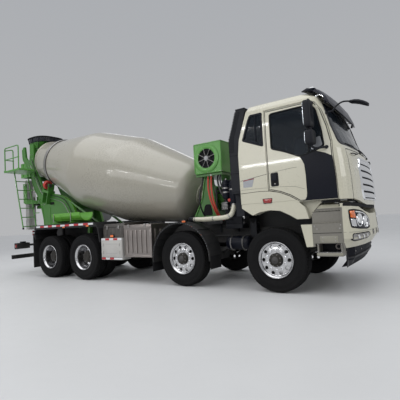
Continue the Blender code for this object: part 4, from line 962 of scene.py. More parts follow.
# bolted flange on the gearbox side
d.lathe([(0.0, -5.30), (0.205, -5.30), (0.210, -5.295), (0.210, -5.255), (0.150, -5.245), (0.150, -5.215), (0.275, -5.205),
         (0.285, -5.200), (0.285, -5.160)], "drum", DRUM_M, steps=64)
for i in range(16):
    a = math.tau * i / 16
    c = DRUM_M @ Vector((0.245 * math.cos(a), 0.245 * math.sin(a), -5.205))
    d.rod(c, c + D_AX * -0.018, 0.012, "bare_steel", seg=6, bev=0.0015)
# two spiral blades, from the mouth down into the drum
for start in (0.0, math.pi):
    rows = []
    n = 150
    for i in range(n):
        t = i / (n - 1)
        h = 0.735 - t * 4.3
        a = start + t * math.tau * 2.2
        ro = 0.0
        inner = [(0.556, 0.72), (0.585, 0.60), (0.70, 0.0), (1.055, -1.62), (1.055, -3.18), (0.64, -4.98)]
        for p, q in zip(inner, inner[1:]):
            if q[1] <= h <= p[1] or h > inner[0][1]:
                k = max(0.0, min(1.0, (h - p[1]) / (q[1] - p[1])))
                ro = p[0] + k * (q[0] - p[0])
                break
        blade = 0.16 + 0.20 * min(1.0, t * 3)
        rows.append([DRUM_M @ Vector(((ro + 0.006) * math.cos(a), (ro + 0.006) * math.sin(a), h)),
                     DRUM_M @ Vector(((ro - blade * 0.5) * math.cos(a), (ro - blade * 0.5) * math.sin(a), h - 0.02)),
                     DRUM_M @ Vector(((ro - blade) * math.cos(a), (ro - blade) * math.sin(a), h - 0.06))])
    d.sheet(rows, "frame", thick=0.008)
drum_piece = d.done("drum_body", 30, slot="drum")
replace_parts(drum_piece, "drum")

# ============================================================== cab's skin
DOOR = ((0.0, 1.697), (0.0, 3.03), (0.70, 3.03), (0.83, 3.00), (0.92, 2.87), (1.00, 2.60), (1.05, 2.36), (1.056, 2.13),
        (1.08, 1.82), (1.088, 1.478), (0.515, 1.478), (0.465, 1.512), (0.355, 1.583), (0.195, 1.652), (0.05, 1.69))
DOOR_GLASS = ((0.10, 2.38), (0.10, 2.96), (0.62, 2.97), (0.80, 2.93), (0.84, 2.88), (0.91, 2.54), (0.935, 2.30),
              (0.82, 2.25), (0.56, 2.19), (0.30, 2.31))
QUARTER = ((-0.42, 2.60), (-0.27, 3.02), (-0.05, 3.02), (-0.05, 2.45))
SCREEN = ((-1.12, 2.33), (-1.06, 2.98), (1.06, 2.98), (1.12, 2.33))
WING_TOP = ((-0.515, 1.68), (-0.16, 1.69), (0.02, 1.68), (0.19, 1.64), (0.35, 1.57), (0.46, 1.50))

for tag, s in SIDES:
    side = lambda x, z, h, s=s: skin_side(x, z, s, h)
    body = f"door_{tag}_body"
    # dark field over the lower front of the door, below the glass
    p = Piece(f"door_field_{tag}", "gloss_black")
    field = [(0.555, 2.176), (0.70, 2.206), (0.82, 2.234), (0.955, 2.180), (1.050, 2.122), (1.066, 1.985), (1.078, 1.80), (1.084, 1.484),
             (0.56, 1.484), (0.600, 1.505), (0.622, 1.545), (0.630, 1.60), (0.630, 1.88), (0.618, 2.05), (0.585, 2.13)]
    patch(p, field, side, "gloss_black", proud=0.0016, deep=0.004, step=0.06)
    p.done(body, 40, slot="black")
    # rubber round the drop glass, with the quarter bar, and a small plate in the glass's lower front corner
    p = Piece(f"door_rubber_{tag}", "seam_and_shade", "plate")
    ring = round_path(DOOR_GLASS, 0.035, 4, closed=True)
    strip(p, ring, -0.006, 0.016, side, "seam_and_shade", proud=0.005, deep=0.010, closed=True, step=0.03)
    strip(p, [(0.700, 2.235), (0.742, 2.930)], -0.007, 0.007, side, "seam_and_shade", proud=0.0012, deep=0.004, step=0.06)
    patch(p, round_path([(0.745, 2.262), (0.765, 2.42), (0.890, 2.455), (0.918, 2.312), (0.815, 2.270)], 0.02, 3, closed=True), side, "plate",
          proud=0.0010, deep=0.003, step=0.06)
    p.done(body, 40, slot="rubber")
    # push plate and grip of the door handle
    p = Piece(f"door_handle_{tag}", "gloss_black", "black", "bare_steel")
    rec = round_path([(0.050, 1.752), (0.050, 1.975), (0.182, 1.985), (0.188, 1.755)], 0.028, 4, closed=True)
    patch(p, rec, side, "black", proud=0.0025, deep=0.004, step=0.03, r=0.0015)
    # darker field inside the plate: painted shade of the handle's recess
    inner_rec = round_path([(0.066, 1.770), (0.066, 1.955), (0.166, 1.962), (0.172, 1.772)], 0.020, 4, closed=True)
    patch(p, inner_rec, side, "seam_and_shade", proud=0.0030, deep=0.002, step=0.05)
    grip = round_path([(0.078, 1.840), (0.078, 1.942), (0.156, 1.948), (0.160, 1.842)], 0.016, 4, closed=True)
    patch(p, grip, side, "gloss_black", proud=0.016, deep=0.001, step=0.02, r=0.006)
    c = side(0.120, 1.795, 0.002)
    p.rod(c, c + Vector((0, s * 0.007, 0)), 0.011, "bare_steel", seg=18, bev=0.0015)
    p.done(body, 40, slot="black")
    # pressed line across the door and the lower crease, drawn as darker strips: painted shade of the creases
    p = Piece(f"door_lines_{tag}", "seam_and_shade", "greige_shade")
    strip(p, [(0.010, 1.975), (0.20, 2.000), (0.42, 2.020), (0.50, 2.022)], -0.0035, 0.0035, side, "greige_shade", proud=0.0012, deep=0.002)
    strip(p, [(0.010, 1.742), (0.25, 1.738), (0.45, 1.72), (0.60, 1.665)], -0.003, 0.003, side, "greige_shade", proud=0.0012, deep=0.002)
    p.done(body, 40, slot="greige")
    # seal that shows in the gap round the door, gutter over it
    p = Piece(f"door_seal_{tag}", "seam_and_shade", "greige")
    strip(p, list(DOOR), -0.0210, -0.0090, side, "seam_and_shade", proud=0.0012, deep=0.006, closed=True, step=0.05)
    strip(p, [(-0.02, 3.052), (0.30, 3.056), (0.71, 3.054), (0.80, 3.030)], -0.006, 0.010, side, "greige", proud=0.010, deep=0.004)
    p.done("cab", 40, slot="greige")
    # quarter window: pane set back in a black frame
    p = Piece(f"quarter_window_{tag}", "seam_and_shade", "glass", "gloss_black")
    q = round_path(QUARTER, 0.025, 4, closed=True)
    strip(p, q, -0.022, 0.012, side, "gloss_black", proud=0.004, deep=0.030, closed=True, step=0.03)
    patch(p, q, side, "glass", proud=-0.012, deep=0.020, step=0.12)
    strip(p, [(-0.170, 2.55), (-0.170, 3.00)], -0.008, 0.008, side, "gloss_black", proud=0.002, deep=0.016)
    p.done("cab", 40, slot="glass")
    # pressed lines, drawn as dark strips as painted shade of the creases, wing seam, side lamp and a small blank
    # reflector plate on the rear quarter
    p = Piece(f"cab_lines_{tag}", "seam_and_shade", "greige_shade", "redlens", "black", "plate", "grey")
    strip(p, [(-0.505, 1.905), (-0.30, 1.932), (-0.014, 1.972)], -0.0035, 0.0035, side, "seam_and_shade", proud=0.0010, deep=0.002)
    strip(p, [(-0.505, 1.745), (-0.20, 1.747), (-0.014, 1.742)], -0.003, 0.003, side, "greige_shade", proud=0.0010, deep=0.002)
    strip(p, list(WING_TOP), 0.002, 0.0095, side, "seam_and_shade", proud=0.0014, deep=0.004, step=0.03)
    lamp = round_path([(-0.100, 1.492), (-0.112, 1.560), (0.046, 1.562), (0.034, 1.492)], 0.012, 3, closed=True)
    wing = lambda x, z, h, s=s: P(x, s * (1.240 + h), z)
    patch(p, round_path([(-0.108, 1.484), (-0.122, 1.568), (0.056, 1.570), (0.042, 1.484)], 0.014, 3, closed=True), wing, "black",
          proud=0.004, deep=0.004, step=0.08, r=0.0015)
    patch(p, lamp, wing, "redlens", proud=0.012, deep=0.002, step=0.05, r=0.005)
    blank = [(-0.455, 1.785), (-0.455, 1.915), (-0.245, 1.935), (-0.290, 1.785)]
    patch(p, blank, side, "plate", proud=0.0020, deep=0.002, step=0.08)
    strip(p, [(-0.452, 1.902), (-0.250, 1.922)], -0.010, 0.010, side, "redlens", proud=0.0030, deep=0.001)
    p.done("cab", 40, slot="greige")

# --------------------------------------------------------------- windscreen
front = lambda y, z, h: skin_front(y, z, h)
p = Piece("screen_rubber", "seam_and_shade", "gloss_black")
ring = round_path(SCREEN, 0.06, 5, closed=True)
strip(p, ring, -0.030, 0.030, front, "gloss_black", proud=0.004, deep=0.012, closed=True, step=0.05)
p.done("cab", 40, slot="rubber")
p = Piece("wipers", "black", "seam_and_shade")
for y0, y1 in ((0.66, -0.06), (-0.20, -0.92)):
    piv = skin_front(y0, 2.258, 0.004)
    p.rod(piv, piv + Vector((0.022, 0, 0.006)), 0.018, "black", seg=18, bev=0.004)
    mid_ = [skin_front(y0 + (y1 + 0.20 - y0) * t, 2.262 + 0.080 * t, 0.017 + 0.004 * math.sin(math.pi * t)) for t in (0, 0.2, 0.4, 0.6, 0.8, 1.0)]
    p.pipe(spline(mid_, 3), (0.007, 0.005), "black", seg=8)
    blade = [skin_front(y1 + 0.52 * t, 2.335 + 0.022 * t, 0.010) for t in (0, 0.2, 0.4, 0.6, 0.8, 1.0)]
    p.pipe(blade, (0.009, 0.005), "seam_and_shade", seg=8)
p.done("cab", 40, slot="black")

# --------------------------------------------------- grille on the lift-up panel
p = Piece("grille", "seam_and_shade", "chrome", "gloss_black", "greige")
field = round_path([(-0.600, 1.455), (-0.640, 1.60), (-0.640, 1.98), (-0.540, 2.135), (0.540, 2.135), (0.640, 1.98), (0.640, 1.60), (0.600, 1.455)],
                   0.06, 4, closed=True)
patch(p, field, front, "seam_and_shade", proud=0.004, deep=0.004, step=0.07)
strip(p, field, -0.022, 0.012, front, "chrome", proud=0.024, deep=0.003, closed=True, step=0.04)
for z0, z1, w in ((1.490, 1.568, 0.600), (1.600, 1.682, 0.625), (1.712, 1.796, 0.628), (1.826, 1.910, 0.624), (1.940, 2.024, 0.600), (2.046, 2.112, 0.525)):
    strip(p, [(-w, (z0 + z1) / 2), (w, (z0 + z1) / 2)], -(z1 - z0) / 2, (z1 - z0) / 2, front, "chrome", proud=0.020, deep=0.002, step=0.06)
for k in range(-11, 12):
    y = k * 0.054
    strip(p, [(y, 1.475), (y, 2.115 if abs(y) < 0.5 else 2.0)], -0.004, 0.004, front, "gloss_black", proud=0.009, deep=0.001, step=0.09)
p.done("front_panel_body", 40, slot="aluminium")
p = Piece("panel_trim", "seam_and_shade", "black", "greige")
strip(p, [(-1.020, 1.40), (-1.020, 2.228), (1.020, 2.228), (1.020, 1.40)], 0.006, 0.016, front, "seam_and_shade", proud=0.0012, deep=0.006, step=0.05)
# grab handles below the screen
p.done("cab", 40, slot="greige")
# black band set back under the cab's panel edge: painted shade under the overhang
p = Piece("skirt_shade_band", "seam_and_shade")
for s in (-1, 1):
    sb = lambda y, z, h, s=s: P(cab_x(y, 1.44) - 0.045 + h, s * y, z)
    strip(p, [(0.50, 1.428), (0.80, 1.446), (1.00, 1.452), (1.10, 1.452)], -0.022, 0.030, sb, "seam_and_shade", proud=0.003, deep=0.012, step=0.05)
    sb = lambda x, z, h, s=s: P(x, s * (1.205 + h), z)
    strip(p, [(0.84, 1.452), (1.10, 1.452)], -0.024, 0.024, sb, "seam_and_shade", proud=0.003, deep=0.012, step=0.1)
p.done("cab", 60, slot="black")
p = Piece("panel_handles", "black")
for s in (-1, 1):
    a, b = skin_front(s * 0.86, 2.175, 0.0), skin_front(s * 0.60, 2.185, 0.0)
    m = [a, a + Vector((0.034, 0, 0)), b + Vector((0.034, 0, 0)), b]
    pts = [m[0], m[0].lerp(m[1], 0.7)] + [m[1].lerp(m[2], t) for t in (0.08, 0.3, 0.5, 0.7, 0.92)] + [m[3].lerp(m[2], 0.7), m[3]]
    p.pipe(spline(pts, 3), 0.009, "black", seg=10)
p.done("front_panel_body", 40, slot="black")

# ------------------------------------------------------------- roof and back
p = Piece("roof_trim", "greige", "seam_and_shade", "amber", "black", "clearlens")
for y in (-0.62, -0.31, 0.0, 0.31, 0.62):
    row = [P(-0.14 + 0.76 * t, y, 3.2495) for t in (0, 0.25, 0.5, 0.75, 1)]
    p.pipe(row, (0.035, 0.006), "greige", seg=12, flat=(0, 1, 0))
hatch = round_path([(-0.02, -0.30), (-0.02, 0.30), (0.46, 0.30), (0.46, -0.30)], 0.05, 4, closed=True)
p.prism(hatch, "z", 3.248, 3.272, "greige", r=0.010, seg=3)
p.done("cab", 40, slot="greige")
# rear window with its rubber
p = Piece("rear_window", "glass", "seam_and_shade")
rear = lambda y, z, h: P(-0.52 + (0.0 if z < 2.36 else 0.03 * (z - 2.36) / 0.26 if z < 2.62 else 0.03 + 0.10 * (z - 2.62) / 0.30) - h, y, z)
win = round_path([(-0.55, 2.55), (-0.55, 2.95), (0.55, 2.95), (0.55, 2.55)], 0.05, 4, closed=True)
patch(p, win, rear, "glass", proud=-0.015, deep=0.022, step=0.2)
strip(p, win, -0.028, 0.014, rear, "seam_and_shade", proud=0.006, deep=0.02, closed=True, step=0.05)
p.done("cab", 40, slot="glass")

# ===================================================== bumper, lamps, steps
NOSE = ((0.0, 1.375), (0.45, 1.36), (0.85, 1.31), (1.08, 1.25), (1.19, 1.185), (1.245, 1.11))
NOSE_DX = ((0.735, -0.10), (0.80, -0.06), (0.88, 0.0), (1.0, 0.0), (1.22, -0.015), (1.405, -0.04))


def interp(table, v):
    if v <= table[0][0]:
        return table[0][1]
    for a, b in zip(table, table[1:]):
        if v <= b[0]:
            return a[1] + (b[1] - a[1]) * (v - a[0]) / (b[0] - a[0])
    return table[-1][1]


def nose(y, z, h=0.0):
    """A point on the bumper's skin, moved out along its plan normal."""
    x = interp(NOSE, abs(y))
    d = 0.02
    sl = (interp(NOSE, abs(y) + d) - interp(NOSE, max(0, abs(y) - d))) / (2 * d)
    nx, ny = 1.0, -sl
    m = math.hypot(nx, ny)
    sg = math.copysign(1, y)
    return P(x + interp(NOSE_DX, z) + h * nx / m, y + sg * h * ny / m, z)


def nose_frame(y, z, h):
    """Matrix whose +Z looks out of the bumper's skin."""
    c = nose(y, z, h)
    n = (nose(y, z, h + 0.01) - c).normalized()
    return Matrix.Translation(c) @ n.to_track_quat("Z", "Y").to_matrix().to_4x4()


HEAD = ((1.139, 1.300), (1.004, 1.303), (0.711, 1.273), (0.542, 1.221), (0.420, 1.134), (0.455, 1.015), (0.60, 0.996), (0.919, 1.012), (1.137, 1.040), (1.152, 1.180))
FOG = ((1.125, 0.938), (0.52, 0.935), (0.46, 0.905), (0.52, 0.850), (1.05, 0.838), (1.12, 0.856))
for tag, s in SIDES:
    sk = lambda y, z, h, s=s: nose(s * y, z, h)
    p = Piece(f"headlamp_{tag}", "chrome", "gloss_black", "amber", "clearlens", "seam_and_shade")
    o = round_path(HEAD, 0.022, 4, closed=True)
    patch(p, o, sk, "gloss_black", proud=0.003, deep=0.006, step=0.05)
    strip(p, o, -0.007, 0.009, sk, "seam_and_shade", proud=0.0045, deep=0.006, closed=True, step=0.04)
    for y, z, r in ((0.900, 1.140, 0.090), (0.660, 1.110, 0.082)):
        m4 = nose_frame(s * y, z, 0.002)
        p.lathe([(r + 0.012, 0.0), (r + 0.010, 0.008), (r, 0.012), (r * 0.93, 0.006), (r * 0.62, 0.002), (0.0, 0.001)], "chrome", m4, steps=40)
        p.lathe([(r * 0.60, 0.001), (r * 0.60, 0.006), (r * 0.5, 0.0105), (r * 0.25, 0.0125), (0.0, 0.013)], "clearlens", m4, steps=28)
    patch(p, round_path([(1.130, 1.185), (1.128, 1.283), (1.020, 1.287), (1.024, 1.175)], 0.012, 3, closed=True), sk, "amber",
          proud=0.013, deep=0.0, step=0.03, r=0.004)
    patch(p, round_path([(1.128, 1.060), (1.136, 1.165), (1.030, 1.158), (1.020, 1.045)], 0.012, 3, closed=True), sk, "chrome",
          proud=0.010, deep=0.0, step=0.03, r=0.003)
    strip(p, [(0.985, 1.270), (0.72, 1.246), (0.56, 1.198), (0.470, 1.130), (0.490, 1.045)], -0.011, 0.011, sk, "clearlens", proud=0.011,
          deep=0.0, step=0.03)
    for k in range(6):
        strip(p, [(0.56 + k * 0.018, 1.02 + 0.002 * k), (0.545 + k * 0.018, 1.05)], -0.003, 0.003, sk, "chrome", proud=0.006, deep=0.0)
    p.done("chassis", 38, slot="glass")
    p = Piece(f"foglamp_{tag}", "bare_steel", "plate", "gloss_black", "clearlens", "seam_and_shade")
    o = round_path(FOG, 0.030, 4, closed=True)
    patch(p, o, sk, "bare_steel", proud=0.002, deep=0.005, step=0.05)
    strip(p, o, -0.012, 0.004, sk, "seam_and_shade", proud=0.003, deep=0.005, closed=True, step=0.04)
    for k in range(15):
        y = 0.52 + k * 0.041
        strip(p, [(y, 0.846), (y + 0.004, 0.928)], -0.0035, 0.0035, sk, "plate", proud=0.0055, deep=0.0, step=0.1)
    for y, r in ((0.97, 0.036), (0.80, 0.036), (0.63, 0.032)):
        m4 = nose_frame(s * y, 0.890, 0.002)
        p.lathe([(r + 0.008, 0.0), (r + 0.006, 0.008), (r, 0.011), (r * 0.9, 0.006), (r * 0.86, 0.004)], "bare_steel", m4, steps=28)
        p.lathe([(r * 0.86, 0.003), (r * 0.7, 0.009), (r * 0.4, 0.012), (0.0, 0.013)], "clearlens", m4, steps=24)
    p.done("chassis", 38, slot="glass")
    # dark band along the bumper's top under the cab's panel: painted shade of the gap below the panel
    p = Piece(f"bumper_shade_band_{tag}", "seam_and_shade")
    strip(p, [(1.238, 1.398), (1.08, 1.392), (0.85, 1.380), (0.60, 1.366), (0.35, 1.352), (0.01, 1.345)], -0.026, 0.034, sk, "seam_and_shade", proud=0.0030, deep=0.004, step=0.05)
    p.done("chassis", 60, slot="black")
    # pressed joint above the fog lamp, in the darker greige as painted shade of its crease, towing eye cover, sensor
    # and skirt bolts
    p = Piece(f"bumper_trim_{tag}", "seam_and_shade", "greige_shade", "black", "bare_steel")
    strip(p, [(1.238, 0.972), (1.08, 0.968), (0.85, 0.966), (0.45, 0.966), (0.02, 0.966)], -0.0035, 0.0035, sk, "greige_shade", proud=0.0012, deep=0.003)
    patch(p, round_path([(0.13, 0.872), (0.13, 0.962), (0.235, 0.962), (0.235, 0.872)], 0.012, 3, closed=True), sk, "seam_and_shade", proud=0.002, deep=0.004, step=0.06)
    m4 = nose_frame(s * 0.182, 0.917, 0.003)
    p.lathe([(0.036, 0.0), (0.036, 0.006), (0.030, 0.010), (0.018, 0.010), (0.016, 0.004), (0.0, 0.004)], "bare_steel", m4, steps=24)
    m4 = nose_frame(s * 1.142, 0.862, 0.0)
    p.lathe([(0.014, 0.0), (0.013, 0.004), (0.0, 0.005)], "seam_and_shade", m4, steps=18)
    p.done("chassis", 38, slot="greige")
    # entry steps: ridged treads and the small cover plate in the darker greige as painted shade of the recesses, dark
    # lines at the step edges as painted shadow, and bolts
    p = Piece(f"step_details_{tag}", "seam_and_shade", "greige_shade", "bare_steel", "black", "aluminium", "stainless")
    yf = 1.235
    for z in (0.970,):
        p.box((0.668, 1.117), (s * (yf - 0.003), s * (yf + 0.0012)), (z - 0.004, z + 0.004), "seam_and_shade", r=0.001)
    p.box((0.668, 1.117), (s * 1.202, s * 1.2062), (1.293, 1.301), "seam_and_shade", r=0.001)
    for z, ya, yb in ((1.1195, 1.206, 1.234), (1.300, 1.168, 1.204)):
        for k in range(9):
            x = 0.70 + k * 0.048
            p.box((x, x + 0.030), (s * (ya + 0.003), s * (yb - 0.004)), (z + (0.001 if z < 1.2 else 0.0), z + 0.0085), "greige_shade", r=0.0025)
    p.box((0.775, 1.035), (s * (yf - 0.002), s * (yf + 0.0035)), (0.826, 0.925), "greige_shade", r=0.002)
    p.bolts([P(x, s * (yf + 0.0005), z) for x, z in ((0.737, 1.036), (1.070, 1.036), (0.700, 1.08), (1.085, 1.085))], (0, s, 0), 0.0085, 0.007, "bare_steel")
    p.bolts([P(x, s * (yf + 0.0035), z) for x, z in ((0.812, 0.902), (0.998, 0.902), (0.812, 0.850), (0.998, 0.850))], (0, s, 0), 0.0075, 0.006, "bare_steel")
    # treads of the hung step
    for k in range(13):
        x = 0.722 + k * 0.0285
        p.box((x, x + 0.014), (s * 1.012, s * 1.228), (0.6745, 0.6835), "aluminium", r=0.003)
    p.box((0.712, 1.088), (s * 1.2305, s * 1.2385), (0.630, 0.668), "greige_shade", r=0.003)
    for x in (0.7295, 1.0745):
        p.bolts([P(x, s * 1.2205, z) for z in (0.70, 0.80)], (0, s, 0), 0.007, 0.006, "bare_steel")
    # round fitting at the back of the step's recess
    c = P(0.985, s * 1.000, 0.748)
    p.rod(P(0.985, s * 0.985, 0.748), P(0.985, s * 1.028, 0.748), 0.048, "stainless", seg=28, bev=0.006)
    p.rod(P(0.985, s * 1.020, 0.748), P(0.985, s * 1.034, 0.748), 0.026, "black", seg=20, bev=0.003)
    p.box((0.70, 1.10), (s * 0.958, s * 0.990), (0.66, 0.815), "black", r=0.006)
    p.done("chassis", 38, slot="greige")
# apron below the bumper: dark, with a raised strip along its lower edge, a second strip across it, and bolts
p = Piece("apron_ribs", "black", "apron", "bare_steel", "grey", "seam_and_shade")
LIPY = ((0.0, 1.225), (0.40, 1.215), (0.80, 1.185), (0.96, 1.11))


def lip_pt(y, z, h):
    dx = interp(((0.42, -0.125), (0.56, -0.015), (0.78, 0.0)), z)
    return P(interp(LIPY, abs(y)) + dx + h, y, z)


LIP_OUT = [(-0.955, 0.425), (-0.955, 0.730), (0.955, 0.730), (0.955, 0.425)]
patch(p, LIP_OUT, lip_pt, "apron", proud=0.004, deep=0.002, step=0.07)
strip(p, [(-0.95, 0.445), (0.95, 0.445)], -0.016, 0.016, lip_pt, "apron", proud=0.014, deep=0.002, step=0.06)
strip(p, [(-0.93, 0.585), (-0.50, 0.600), (0.0, 0.605), (0.50, 0.600), (0.93, 0.585)], -0.008, 0.008, lip_pt, "seam_and_shade", proud=0.012, deep=0.002, step=0.06)
for y in (-0.80, -0.45, 0.45, 0.80):
    p.bolts([lip_pt(y, 0.66, 0.004)], (1, 0, 0), 0.010, 0.008, "bare_steel")
p.done("chassis", 38, slot="black")
# ====================================================== mirrors, visor, duct
def blob(piece, x, y, z, k, e=0.38, nu=28, nv=18, shear=0.0):
    """A closed form between the ranges with full, rounded sides."""
    bm = bmesh.new()
    c = [(a[0] + a[1]) / 2 for a in (x, y, z)]
    hh = [abs(a[1] - a[0]) / 2 for a in (x, y, z)]
    pw = lambda v, q: math.copysign(abs(v) ** q, v)
    rings = []
    for j in range(1, nv):
        ph = -math.pi / 2 + math.pi * j / nv
        rings.append([bm.verts.new(P(c[0] + hh[0] * pw(math.cos(ph), e) * pw(math.cos(math.tau * i / nu), e) + shear * hh[2] * pw(math.sin(ph), e),
                                     c[1] + hh[1] * pw(math.cos(ph), e) * pw(math.sin(math.tau * i / nu), e),
                                     c[2] + hh[2] * pw(math.sin(ph), e))) for i in range(nu)])
    for a, b in zip(rings, rings[1:]):
        for i in range(nu):
            bm.faces.new((a[i], a[(i + 1) % nu], b[(i + 1) % nu], b[i]))
    lo = bm.verts.new(P(c[0] - shear * hh[2], c[1], c[2] - hh[2]))
    hi = bm.verts.new(P(c[0] + shear * hh[2], c[1], c[2] + hh[2]))
    for i in range(nu):
        bm.faces.new((lo, rings[0][(i + 1) % nu], rings[0][i]))
        bm.faces.new((hi, rings[-1][i], rings[-1][(i + 1) % nu]))
    bmesh.ops.recalc_face_normals(bm, faces=bm.faces)
    piece.merge(bm, k)


for tag, s in SIDES:
    p = Piece(f"mirror_set_{tag}", "black", "mirror", "gloss_black", "seam_and_shade")
    ys = lambda a, b: tuple(sorted((s * a, s * b)))
    blob(p, (0.742, 0.850), ys(1.335, 1.570), (2.560, 2.965), "black", 0.30)
    for dy in (1.395, 1.452, 1.509):
        p.pipe([P(0.8485, s * dy, 2.63), P(0.8535, s * dy, 2.70), P(0.8535, s * dy, 2.84), P(0.8485, s * dy, 2.91)], 0.006, "black", seg=8)
    p.prism(round_path([(ys(1.358, 1.548)[0], 2.592), (ys(1.358, 1.548)[0], 2.935), (ys(1.358, 1.548)[1], 2.935), (ys(1.358, 1.548)[1], 2.592)], 0.03, 4, closed=True),
            "x", 0.7385, 0.746, "mirror", r=0.001)
    blob(p, (0.735, 0.862), ys(1.318, 1.552), (2.300, 2.525), "black", 0.42)
    p.prism(round_path([(ys(1.345, 1.525)[0], 2.322), (ys(1.345, 1.525)[0], 2.500), (ys(1.345, 1.525)[1], 2.500), (ys(1.345, 1.525)[1], 2.322)], 0.04, 5, closed=True),
            "x", 0.7335, 0.741, "mirror", r=0.001)
    # arms: an upright between two brackets on the door
    top = spline([P(0.790, s * 1.233, 2.985), P(0.790, s * 1.29, 3.000), P(0.795, s * 1.38, 2.998), P(0.800, s * 1.435, 2.985), P(0.805, s * 1.452, 2.94)], 5)
    p.pipe(top, 0.0165, "black", seg=12)
    p.pipe([P(0.808, s * 1.452, 2.60), P(0.810, s * 1.452, 2.47)], 0.022, "black", seg=14)
    foot = spline([P(0.975, s * 1.240, 2.268), P(0.960, s * 1.29, 2.262), P(0.90, s * 1.35, 2.252), P(0.845, s * 1.40, 2.25), P(0.815, s * 1.432, 2.275), P(0.812, s * 1.436, 2.34)], 5)
    p.pipe(foot, (0.019, 0.014), "black", seg=12)
    for x, z in ((0.790, 2.985), (0.975, 2.268)):
        p.rod(P(x, s * 1.228, z), P(x, s * 1.262, z), 0.034, "black", r2=0.024, seg=20, bev=0.004)
    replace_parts(p.done(f"door_{tag}_body", 42, slot="black"), f"mirror_{tag}")

# nearside-corner mirror over the windscreen
p = Piece("front_view_mirror", "black", "mirror", "grey")
p.pipe(spline([P(0.940, -1.105, 2.800), P(0.985, -1.105, 2.822), P(1.060, -1.100, 2.832), P(1.125, -1.070, 2.905), P(1.215, -1.020, 2.962), P(1.330, -0.980, 2.952)], 6),
       0.0125, "black", seg=10)
p.rod(P(0.938, -1.105, 2.795), P(0.975, -1.105, 2.822), 0.034, "black", r2=0.020, seg=18, bev=0.004)
head = [(1.300, 2.955, 0.030), (1.330, 2.940, 0.075), (1.370, 2.934, 0.095), (1.430, 2.915, 0.108), (1.490, 2.885, 0.104), (1.535, 2.858, 0.085), (1.557, 2.842, 0.05)]
rows = []
for x, z, w in head:
    th = 0.020 + 0.12 * w
    row = []
    for j in range(24):
        a = math.tau * j / 24
        row.append(P(x + 0.35 * th * math.sin(a), -0.970 + w * math.copysign(abs(math.cos(a)) ** 0.8, math.cos(a)), z + th * math.sin(a) * (1.0 if math.sin(a) > 0 else 0.45)))
    rows.append(row)
bm = bmesh.new()
vs = [[bm.verts.new(q) for q in row] for row in rows]
for a, b in zip(vs, vs[1:]):
    for j in range(24):
        bm.faces.new((a[j], a[(j + 1) % 24], b[(j + 1) % 24], b[j]))
bm.faces.new(vs[0])
bm.faces.new(vs[-1])
bmesh.ops.recalc_face_normals(bm, faces=bm.faces)
p.merge(bm, "black")
for k in range(3):
    y = -1.02 + 0.05 * k
    p.pipe([P(1.35, y, 2.9585), P(1.42, y, 2.9435), P(1.50, y, 2.905)], 0.005, "grey", seg=8)
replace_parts(p.done("cab", 45, slot="black"), "front_mirror")

# visor: mounts, end housings and marker lamps
p = Piece("visor_fittings", "black", "clearlens", "chrome", "gloss_black")
for s in (-1, 1):
    for x, z in ((0.80, 3.215), (0.955, 3.02)):
        p.rod(P(x, s * 1.06, z - 0.03), P(x + 0.012, s * 1.06, z + 0.025), 0.020, "black", seg=14, bev=0.003)
    blob(p, (0.700, 0.850), tuple(sorted((s * 0.985, s * 1.150))), (3.205, 3.268), "gloss_black", 0.7, nu=24, nv=14, shear=-0.35)
    blob(p, (0.735, 0.835), tuple(sorted((s * 1.005, s * 1.142))), (3.222, 3.281), "clearlens", 0.75, nu=24, nv=14, shear=-0.3)
    cres = []
    for t in range(9):
        a = math.radians(20 + 16 * t)
        cres.append(P(0.905 + 0.075 * math.cos(a) - 0.02, s * 1.137, 3.040 + 0.075 * math.sin(a)))
    p.pipe(cres, (0.006, 0.011), "chrome", seg=8)
for y in (-0.55, 0.0, 0.55):
    p.rod(P(0.985, y, 3.060), P(1.030, y, 3.085), 0.016, "black", seg=12)
for y in (-0.42, -0.14, 0.14, 0.42):
    blob(p, (0.760, 0.850), (y - 0.055, y + 0.055), (3.255, 3.312), "clearlens", 0.7, nu=20, nv=12, shear=-0.2)
p.done("cab", 42, slot="black")

# intake duct: louvres over its upper half, joint bands and a rain lip
p = Piece("duct_louvres", "black", "seam_and_shade")
REAR_X = ((1.70, -0.705), (2.66, -0.700), (2.89, -0.62), (3.175, -0.530))
for k in range(27):
    z = 2.44 + k * 0.0262
    xr = interp(REAR_X, z)
    p.box((xr - 0.010, xr + 0.092), (-1.2235, -1.19), (z, z + 0.013), "black", r=0.003)
    p.box((xr - 0.012, xr + 0.010), (-1.222, -0.905), (z, z + 0.013), "black", r=0.003)
for z in (1.74, 2.06, 2.38):
    p.box((-0.711, -0.532), (-1.2205, -0.896), (z - 0.012, z + 0.012), "black", r=0.005)
p.box((-0.538, -0.356), (-1.222, -0.893), (3.163, 3.186), "black", r=0.006)
p.pipe([P(-0.625, -0.60, 1.30), P(-0.625, -0.56, 1.26), P(-0.625, -0.53, 1.18)], 0.075, "seam_and_shade", seg=20)
for k in range(5):
    m4 = Matrix.Translation(P(-0.62, -0.52, 1.18 - k * 0.045))
    p.lathe([(0.064, -0.018), (0.078, -0.008), (0.080, 0.0), (0.078, 0.008), (0.064, 0.018)], "black", m4, steps=28)
p.done("cab", 42, slot="black")

# ============================================= cooler, hoses, boxes by the frame
FAN_C = P(-1.46, -0.80, 2.50)


def ring_pts(c, r, axis, n=40, a0=0.0, a1=360.0):
    out = []
    for i in range(n + (0 if a1 - a0 >= 359 else 1)):
        a = math.radians(a0 + (a1 - a0) * i / n)
        u, v = r * math.cos(a), r * math.sin(a)
        out.append(Vector(c) + {"y": Vector((u, 0, v)), "x": Vector((0, u, v)), "z": Vector((u, v, 0))}[axis])
    return out


